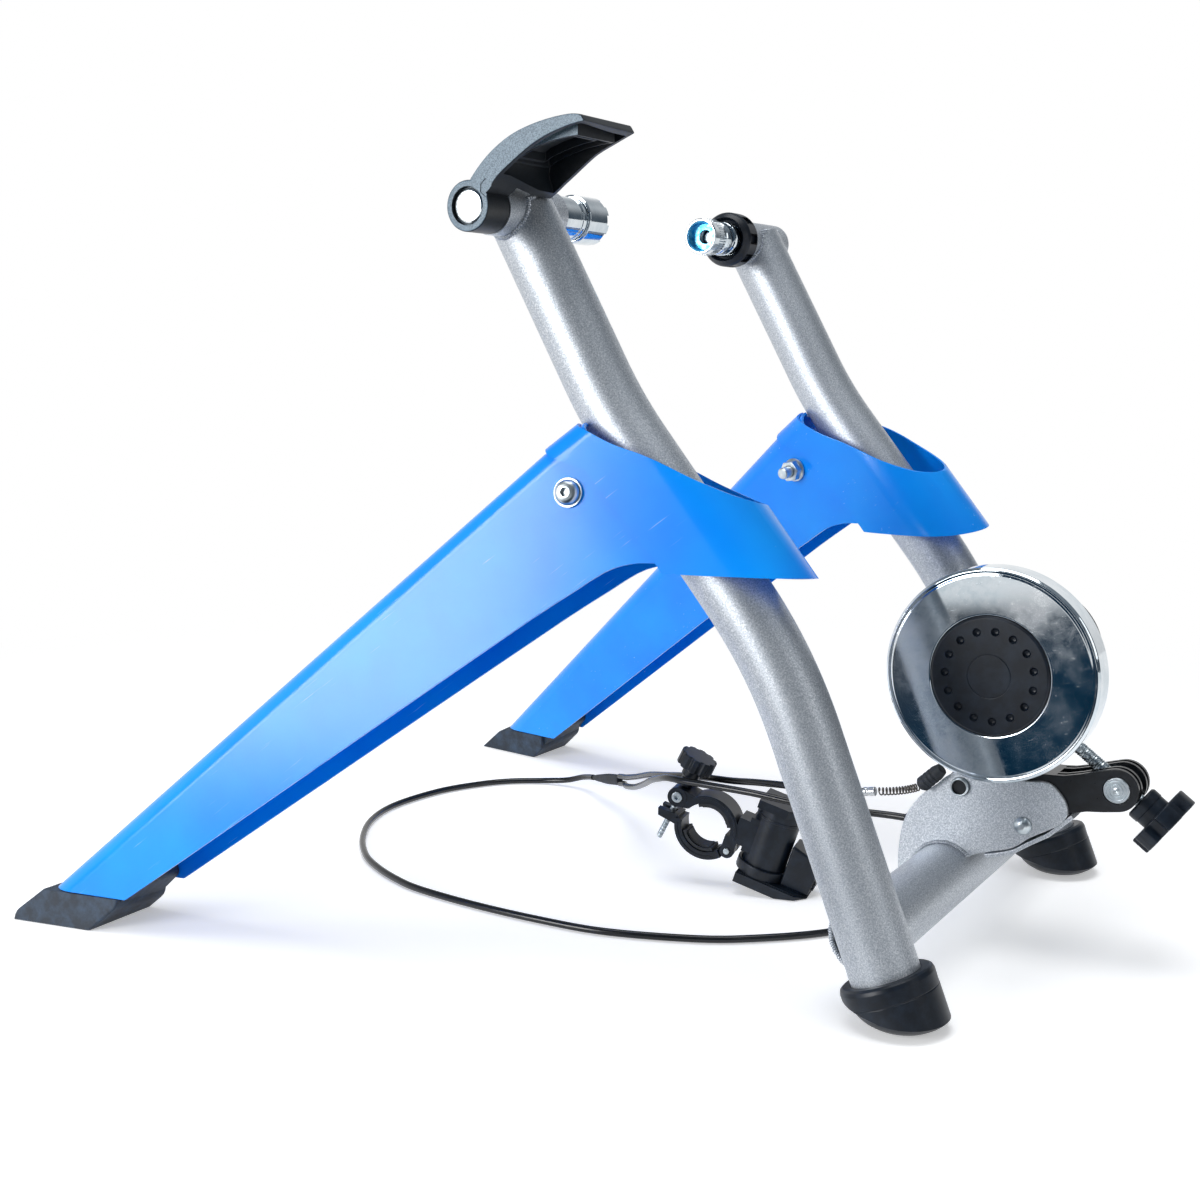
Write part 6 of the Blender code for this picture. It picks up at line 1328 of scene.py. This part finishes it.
# %% [markdown]
# ## The tension screw
# A threaded rod runs through a cross dowel, and a pad on its end pushes the unit's lug, so the roller rises
# against the tyre. The dowel's faces keep the rings of the lathe tool, and the knob has six square lobes.

# %% Dowel, pad and rod
ROD_LINE = Vector((0.8, 0.0, -0.6))
DOWEL_MIDDLE = at(DOWEL_PLACE[0], BRACKET_Y, DOWEL_PLACE[1])
ON_ROD = basis(DOWEL_MIDDLE, ROD_LINE)


def on_line(matrix, height):
    """A point on the Z axis of a frame."""
    return matrix @ Vector((0, 0, height))


face = mm(0, 0.3, 0.9, 0, 1.8, 0.3, 2, 0, 3.5, 0, 3.7, 0.3, 3.9, 0, 5.4, 0, 5.6, 0.3, 5.8, 0, 7, 0, 7.5, 0.5)
profile = [(r, d - BRACKET_HALF) for r, d in face] + [(r, BRACKET_HALF - d) for r, d in reversed(face)]
piece = lathe("dowel", profile, basis(DOWEL_MIDDLE, SIDEWAYS), 64, 0.0001)
drill = bar("drill", 0.0043, on_line(ON_ROD, -0.02), on_line(ON_ROD, 0.02), steps=40)
dress(carved(piece, [drill]), "dowel", ZINC, "cross_dowel")

pad_profile = mm(0, -46, 3, -45.6, 6, -44, 6, -40, 0, -40)
dress(lathe("thrust_pad", pad_profile, ON_ROD, 64), "tip", ZINC, "rod_tip")
rod = lathe("rod", mm(0, -39.7, 3, -39.7, 3.6, -39, 3.6, 24.9, 0, 24.9), ON_ROD, 64)
ridges = thread("rod_thread", on_line(ON_ROD, -0.0385), ROD_LINE, 0.0630, 0.0035, 0.00125, ZINC)
dress(merged("rod", [rod, ridges]), "knob", ZINC, "threaded_rod")


# %% Tension knob
def lobed(radius, depth, lobes, corners):
    """Lobes with grooves between them, one lobe centred on X, from shares of a turn and of the depth."""
    return [((radius - depth * sunk) * math.cos(math.tau * (i + share) / lobes),
             (radius - depth * sunk) * math.sin(math.tau * (i + share) / lobes))
            for i in range(lobes) for share, sunk in corners]


corners = ((-0.27, 0.03), (-0.18, 0.0), (0.0, 0.0), (0.18, 0.0), (0.27, 0.03), (0.34, 0.92), (0.41, 1.0),
           (0.50, 1.0), (0.59, 1.0), (0.66, 0.92))
head = plate("knob", softened(lobed(0.0199, 0.0055, 6, corners), 0.0008), 0.0245, 0.0350, ON_ROD, edge=0.0009)
head = carved(head, [lathe("dish", mm(0, 34, 11, 34, 12.2, 36, 0, 36), ON_ROD, 64)])
hub = lathe("hub", mm(4.3, 12.9, 9.2, 12.9, 10.3, 14, 10.3, 19, 9.9, 19.3, 9.9, 25.5, 4.3, 25.5), ON_ROD, 64)
dress(merged("knob", [head, hub]), "knob", BLACK_ABS, "tension_knob")

# %% [markdown]
# ## The brake unit
# A black frame swings on the pin and carries the roller's two bearings. The flywheel is on the near end
# of the spindle. On the far end, in a moulded shell, an aluminium disc turns in front of a ring of
# magnets. The frame keeps the solid's shape. Its copy is merged, its flat faces are joined, and a bevel
# breaks its edges, because it is the thin bright line along an edge that makes a small part look real.

# %% Frame, bearings and shell
UNIT_LINE = Vector((math.sin(math.radians(18.9)), 0.0, math.cos(math.radians(18.9))))
ON_SPINDLE = basis(at(PIN_PLACE[0], 0.0, PIN_PLACE[1]) + UNIT_LINE * 0.0794, SIDEWAYS)
work = bmesh.new()
work.from_mesh(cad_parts["unit_frame"].data)
bmesh.ops.remove_doubles(work, verts=work.verts, dist=2e-6)
bmesh.ops.dissolve_limit(work, angle_limit=math.radians(1.0), verts=work.verts, edges=work.edges)
cast = link("unit_frame_cast", poured("unit_frame_cast", work))
cast.data.shade_smooth()
cast.data.set_sharp_from_angle(angle=math.radians(34))
cast = frozen(changed(cast, "BEVEL", width=0.0006, segments=2, limit_method="ANGLE",
                      angle_limit=math.radians(34), harden_normals=True))
dress(cast, "unit", BLACK_PAINT, "unit_frame")

for word, low in (("left", -0.0250), ("right", 0.0185)):
    race = [(r, low + d) for r, d in mm(5.3, 0, 7, 0, 7.3, 0.5, 9.2, 0.5, 9.5, 0, 11, 0, 11, 6.5, 5.3, 6.5)]
    dress(lathe(word + "_race", race, ON_SPINDLE, 64, 0.0002), "unit", ZINC, word + "_bearing")

shell = mm(37.5, 24.3, 40, 24.3, 40, 30, 39.6, 30.3, 39.6, 31.3, 40, 31.6, 40, 46, 38.2, 50.2, 34, 52, 20, 52,
           19, 51.2, 0, 51.2, 0, 49.5, 32.5, 49.5, 37.5, 44.5)
dress(lathe("brake_shell", shell, ON_SPINDLE, 128, 0.0006), "unit", BLACK_ABS, "magnet_housing")

# %% Roller, disc and magnets
drum = mm(0, -42.5, 4.6, -42.5, 5, -42.1, 5, -17.5, 16.5, -17.5, 18, -16.5, 18, 16.5, 16.5, 17.5, 5, 17.5,
          5, 48.5, 0, 48.5)
dress(lathe("roller_drum", drum, ON_SPINDLE, 96, 0.0004), "rotor", ALUMINIUM, "roller")
disc = lathe("eddy_disc", mm(5.3, 39, 33.5, 39, 33.5, 43, 5.3, 43), ON_SPINDLE, 96, 0.0004)
dress(disc, "rotor", ALUMINIUM, "brake_disc")
carrier = lathe("carrier", mm(12, 30, 37, 30, 37, 34.5, 12, 34.5), ON_SPINDLE, 96, 0.0004)
magnet = bar("magnet", 0.006, (0.0245, 0, 0.0340), (0.0245, 0, 0.0375), steps=32)
carrier = merged("carrier", [carrier, ringed(magnet, ON_SPINDLE, 8, ZINC)])
dress(carrier, "carrier", ZINC, "magnet_carrier")

# %% [markdown]
# The flywheel is what the eye goes to. Its face is dished by a hair at the rim, so the mirror bends near the
# edge as turned and polished steel does. Its black cap has fifteen dimples, one dimple repeated round it.

# %% Flywheel and cap
wheel = mm(5.3, -43.5, 34.3, -43.5, 34.3, -45.7, 35, -46, 57, -46, 58, -45.7, 59.6, -46, 61.1, -44.5,
           61.1, -27.5, 59.6, -26, 5.3, -26)
dress(lathe("wheel", wheel, ON_SPINDLE, 192, 0.0005), "rotor", CHROME, "flywheel")

cap = lathe("cap", mm(0, -46.8, 12, -46.8, 12.3, -46.5, 12.6, -46.8, 32.8, -46.8, 34, -45.9, 34, -43.8,
                      0, -43.8), ON_SPINDLE, 128)
dimple = lathe("dimple", mm(0, -44.6, 1.3, -44.8, 2.2, -45.8, 2.7, -48, 0, -48), basis((0, 0, 0), UP), 24)
dimple.data.transform(Matrix.Translation((0.0255, 0, 0)))
cap = carved(cap, [ringed(dimple, ON_SPINDLE @ Matrix.Rotation(math.radians(12), 4, "Z"), 15, CHROME)])
dress(cap, "rotor", BLACK_ABS, "flywheel_cap")

# %% [markdown]
# ## The shifter
# The remote lever clamps on a handlebar. Its drum stands between two chamfered plates, and a two-part jaw
# with rubber pads closes on the bar by a thumb screw. Solid blocks are joined first and their edges
# broken after.

# %% Shifter numbers
JAW_OUTER, JAW_INNER, JAW_HALF, PAD_INNER = 0.0215, 0.0165, 0.009, 0.0130
HINGE, SWING = (0.0178, -0.0092), (-0.0245, 0.012)
DRUM_P, DRUM_RADIUS = 0.042, 0.0145
BASE_Q = (-0.023, -0.0165)
SIDE_ON = SHIFTER @ FROM_SIDE
ON_DRUM = SHIFTER @ Matrix.Translation((DRUM_P, 0.0, 0.0))
THUMB_LINE = SHIFTER.to_3x3() @ Vector((0.137, 0.0, 0.99)).normalized()
THUMB_PLACE = SHIFTER @ Vector((SWING[0], 0.0, SWING[1]))
ON_THUMB = basis(THUMB_PLACE, THUMB_LINE)


def arc_points(centre, radius, start, end, steps=24):
    turns = [math.radians(start + (end - start) * i / steps) for i in range(steps + 1)]
    return [(centre[0] + radius * math.cos(a), centre[1] + radius * math.sin(a)) for a in turns]


def band(outer, inner, start, end):
    """The outline of a part of a ring, between two angles."""
    return arc_points((0, 0), outer, start, end, 40) + arc_points((0, 0), inner, end, start, 40)


def upright(name, outline, half):
    """A block drawn in the shifter's side view, as wide as twice half."""
    return prism(name, outline, -half, half, SIDE_ON)


def crosswise(name, radius, place, half=0.02, fillet=0.0002):
    """A round bar across the shifter."""
    ends = [SHIFTER @ Vector((place[0], sign * half, place[1])) for sign in (-1, 1)]
    return bar(name, radius, *ends, steps=48, fillet=fillet)


def clipped(near, far, half, cut):
    """A rectangle with its two far corners cut off."""
    return [(near, -half), (far - cut, -half), (far, -half + cut), (far, half - cut), (far - cut, half),
            (near, half)]


def up_drum(name, radius, low, high, **more):
    """A round bar on the drum's own line."""
    return bar(name, radius, on_line(ON_DRUM, low), on_line(ON_DRUM, high), **more)


def thumb_hole(name):
    return bar(name, 0.0024, THUMB_PLACE - THUMB_LINE * 0.012, THUMB_PLACE + THUMB_LINE * 0.012, steps=32)


# %% Shifter body and fixed jaw
knuckle = [(0.0135, 0.001), (0.0135, -0.006), *arc_points(HINGE, 0.0048, 200, 380, 20), (0.0225, 0.001)]
arm = mm(-24, 18.4, -13, 17.2, -12, 12, -15.2, 7.4, -21, 6.2)
joined = [upright("knuckle", knuckle, JAW_HALF - 0.0001), upright("eye_arm", arm, JAW_HALF - 0.0003),
          crosswise("eye", 0.0066, SWING, JAW_HALF + 0.0001),
          box("jaw_neck", (0.0190, -0.0088, -0.002), (0.0290, 0.0088, 0.016), SHIFTER),
          box("body_neck", (0.0265, -0.011, -0.004), (0.034, 0.011, 0.020), SHIFTER),
          prism("base", clipped(0.029, 0.077, 0.018, 0.007), *BASE_Q, SHIFTER),
          prism("top", clipped(0.028, 0.057, 0.015, 0.009), 0.029, 0.0345, SHIFTER),
          prism("base_rib", clipped(0.0305, 0.0755, 0.0165, 0.0065), -0.0170, -0.0158, SHIFTER),
          up_drum("drum", DRUM_RADIUS, BASE_Q[1] - 0.001, 0.030)]
piece = carved(upright("shifter", band(JAW_OUTER, JAW_INNER, -12, 152), JAW_HALF), joined, "UNION")
below = box("floor_cut", (AXLE_X + 0.03, -0.06, -0.03), (AXLE_X + 0.16, 0.08, GAP))
gap = box("knuckle_gap", (0.0125, -0.0043, -0.0160), (0.0245, 0.0043, -0.0036), SHIFTER)
piece = carved(piece, [below, gap, crosswise("hinge_hole", 0.0023, HINGE),
                       crosswise("pin_hole", 0.0038, SWING), thumb_hole("thumb_slot")])
piece = rounded(piece, 0.0007)
for start, end in ((-2, 60), (66, 118)):
    raised = upright("band_rib", band(0.0206, 0.0190, start, end), JAW_HALF + 0.0005)
    piece = merged("shifter", [piece, rounded(raised, 0.0003)])
piece = merged("shifter", [piece, up_drum("drum_collar", DRUM_RADIUS + 0.0004, 0.0225, 0.0245)])
dress(piece, "frame", BLACK_ABS, "shifter_body")


# %% Pads and pins
def pad(name, body, start, end, node):
    """A rubber pad in a jaw, with a step in the middle of its inner face."""
    piece = upright(name, band(JAW_INNER - GAP - 0.0001, 0.0140, start, end), JAW_HALF - 0.001)
    third = (end - start) / 3
    step = upright("step", band(0.0141, PAD_INNER, start + third * 0.2, end - third * 0.2), JAW_HALF - 0.0028)
    dress(rounded(carved(piece, [step], "UNION"), 0.0004), body, RUBBER, node)


pad("grip_pad", "frame", 22.0, 128.0, "upper_pad")
pad("jaw_pad", "jaw", -150.0, -56.0, "lower_pad")
dress(crosswise("hinge_rivet", 0.0020, HINGE, JAW_HALF + 0.001), "frame", ZINC, "jaw_hinge_pin")
cross_pin = crosswise("cross_pin", 0.0035, SWING, JAW_HALF + 0.001, 0.0004)
centre = SHIFTER @ Vector((SWING[0], -JAW_HALF - 0.001, SWING[1]))
socket = prism("socket", hexagon(0.0018), -0.001, 0.0018, basis(centre, SHIFTER_SIDEWAYS))
dress(carved(cross_pin, [socket, thumb_hole("thumb_hole")]), "frame", ZINC, "swing_pin")

# %% Lower jaw
knuckle = [(0.0110, -0.0185), *arc_points(HINGE, 0.0044, -80, 150, 24), (0.0105, -0.0125)]
tab = mm(-19.5, 0.5, -18.5, -6.5, -33, -4.8, -34.5, 0)
piece = carved(upright("swing_jaw", band(JAW_OUTER, JAW_INNER, -176, -44), JAW_HALF),
               [upright("jaw_knuckle", knuckle, 0.0039), upright("tab", tab, JAW_HALF - 0.001)], "UNION")
fork = box("fork", (-0.0400, -0.0026, -0.0120), (-0.0232, 0.0026, 0.0080), SHIFTER)
piece = rounded(carved(piece, [fork, crosswise("hinge_hole", 0.0023, HINGE)]), 0.0006)
raised = rounded(upright("jaw_rib", band(0.0206, 0.0190, -168, -60), JAW_HALF + 0.0005), 0.0003)
dress(merged("swing_jaw", [piece, raised]), "jaw", BLACK_ABS, "lower_jaw")

# %% [markdown]
# The thumb screw is plain steel rod under a fluted knob. The lever is a ring round the drum's foot with a
# paddle for the thumb, ribbed so that it does not slip.

# %% Thumb screw, knob and paddle
pin = lathe("thumb_rod", mm(0, -34.5, 1.5, -34.5, 1.8, -33.8, 1.8, 20, 0, 20), ON_THUMB, 64)
turns = thread("thumb_thread", on_line(ON_THUMB, -0.0335), THUMB_LINE, 0.053, 0.00175, 0.0007, ZINC)
dress(merged("thumb_rod", [pin, turns]), "thumb", ZINC, "thumb_screw")

corners = ((-0.25, 0.0), (0.0, 0.0), (0.25, 0.0), (0.38, 0.9), (0.5, 1.0), (0.62, 0.9))
flutes = lobed(0.0125, 0.0014, 10, corners)
head = plate("thumb_head", softened(flutes, 0.0006), 0.02025, 0.02975, ON_THUMB, edge=0.0009)
hub = lathe("thumb_hub", mm(2.4, 7.2, 4.8, 7.2, 4.8, 13, 6.2, 14.5, 6.2, 21.5, 2.4, 21.5), ON_THUMB, 64)
dress(merged("thumb_head", [head, hub]), "thumb", BLACK_ABS, "thumb_knob")

low = BASE_Q[1] + GAP
ring = up_drum("paddle", DRUM_RADIUS + 0.0025, low, low + 0.007, bore=DRUM_RADIUS + GAP, fillet=0.0008)
outline = [(0.0155, low), (0.0345, low), (0.0362, 0.001), (0.0340, 0.0075), (0.0155, 0.0125)]
rest = plate("thumb_rest", softened(outline, 0.0020), -0.010, 0.010, ON_DRUM @ FROM_SIDE, edge=0.0015)
rest = carved(rest, [up_drum("clear", DRUM_RADIUS + GAP, -0.02, 0.02)])
ribs = [box("rib", (0.0345, -0.0080, z), (0.0366, 0.0080, z + 0.0009), ON_DRUM)
        for z in (-0.0115, -0.0090, -0.0065, -0.0040, -0.0015)]
dress(merged("paddle", [rest, ring, *ribs]), "paddle", BLACK_ABS, "shifter_paddle")

# %% [markdown]
# ## Ends of the cable
# At the brake one strand ends in a crimped ferrule, a small spring over the bare wire, and a rubber boot. The
# other ends in a boot. Where the two strands become one, a soft splitter tapers from one end to the other.

# %% Ferrule and spring
ferrule_length = (FERRULE[1] - FERRULE[0]).length
profile = [*mm(0, 0, 2.4, 0, 2.8, 0.4, 2.8, 2, 2.5, 2.4, 2.5, 3.4, 2.8, 3.8),
           (0.0028, ferrule_length - 0.0004), (0.0024, ferrule_length), (0.0, ferrule_length)]
ferrule = lathe("crimped_end", profile, basis(FERRULE[0], FERRULE[1] - FERRULE[0]), 48, 0.0002)
dress(ferrule, "frame", ALUMINIUM, "cable_ferrule")

# One wire wound thirteen times round the sagging line between ferrule and boot.
start, end, sag = FERRULE[1], UPPER_BOOT[0], at(0.1850, -0.0160, 0.0865)
WIRE, COIL_RADIUS, COIL_STEPS = 0.00045, 0.00215, 13 * 20
run = (end - start).length
first, last = (2 * WIRE + GAP + 0.0002) / run, (2 * WIRE + GAP + 0.0010) / run
points = []
for i in range(COIL_STEPS + 1):
    share = first + (1 - first - last) * i / COIL_STEPS
    a, b = start.lerp(sag, share), sag.lerp(end, share)
    out = (b - a).normalized().cross(SIDEWAYS).normalized()
    angle = math.tau * i / 20
    points.append(a.lerp(b, share) + COIL_RADIUS * (math.cos(angle) * SIDEWAYS + math.sin(angle) * out))
into, off = (sag - start).normalized(), (end - sag).normalized()
points = [points[0] - into * 2 * WIRE, *points, points[-1] + off * 2 * WIRE]
dress(sweep("coil", points, WIRE, 10), "frame", SPRING_STEEL, "boot_spring")


# %% Boots
def boot(name, ends, radius, node):
    length = (ends[1] - ends[0]).length
    profile = [(0.0, 0.0), (radius * 0.62, 0.0), (radius * 0.80, 0.0009), (radius, 0.0020)]
    for k in range(3):
        z = length * (0.28 + 0.17 * k)
        groove = radius * 0.88
        profile += [(radius, z), (groove, z + 0.0005), (groove, z + 0.0009), (radius, z + 0.0014)]
    profile += [(radius * 0.96, length * 0.80), (radius * 0.76, length), (0.0, length)]
    dress(lathe(name, profile, basis(ends[0], ends[1] - ends[0]), 48), "frame", RUBBER, node)


boot("pull_boot", UPPER_BOOT, 0.0047, "upper_boot")
boot("strand_boot", LOWER_BOOT, 0.0042, "lower_boot")

# %% Splitter
length = (SPLITTER_MOUTH - SPLITTER_TIP).length
thin = SPLITTER_AXIS.cross(SPLITTER_ACROSS)
STEPS = 24
sections = []
for i in range(STEPS + 1):
    share = i / STEPS
    tall, slim = 0.0017 + 0.0024 * min(1.0, share * 1.7) ** 0.8, 0.0016 + 0.0012 * min(1.0, share * 2.5)
    if i in (0, STEPS):
        tall, slim = tall * 0.90, slim * 0.86
    if 5 < i < 9:
        slim *= 0.93
    centre = SPLITTER_TIP + SPLITTER_AXIS * length * share
    sections.append([centre + SPLITTER_ACROSS * tall * math.copysign(abs(math.sin(a)) ** 0.7, math.sin(a))
                     + thin * slim * math.copysign(abs(math.cos(a)) ** 0.7, math.cos(a))
                     for a in (math.tau * k / 32 for k in range(32))])
dress(skin("splitter", sections), "frame", RUBBER, "cable_splitter")
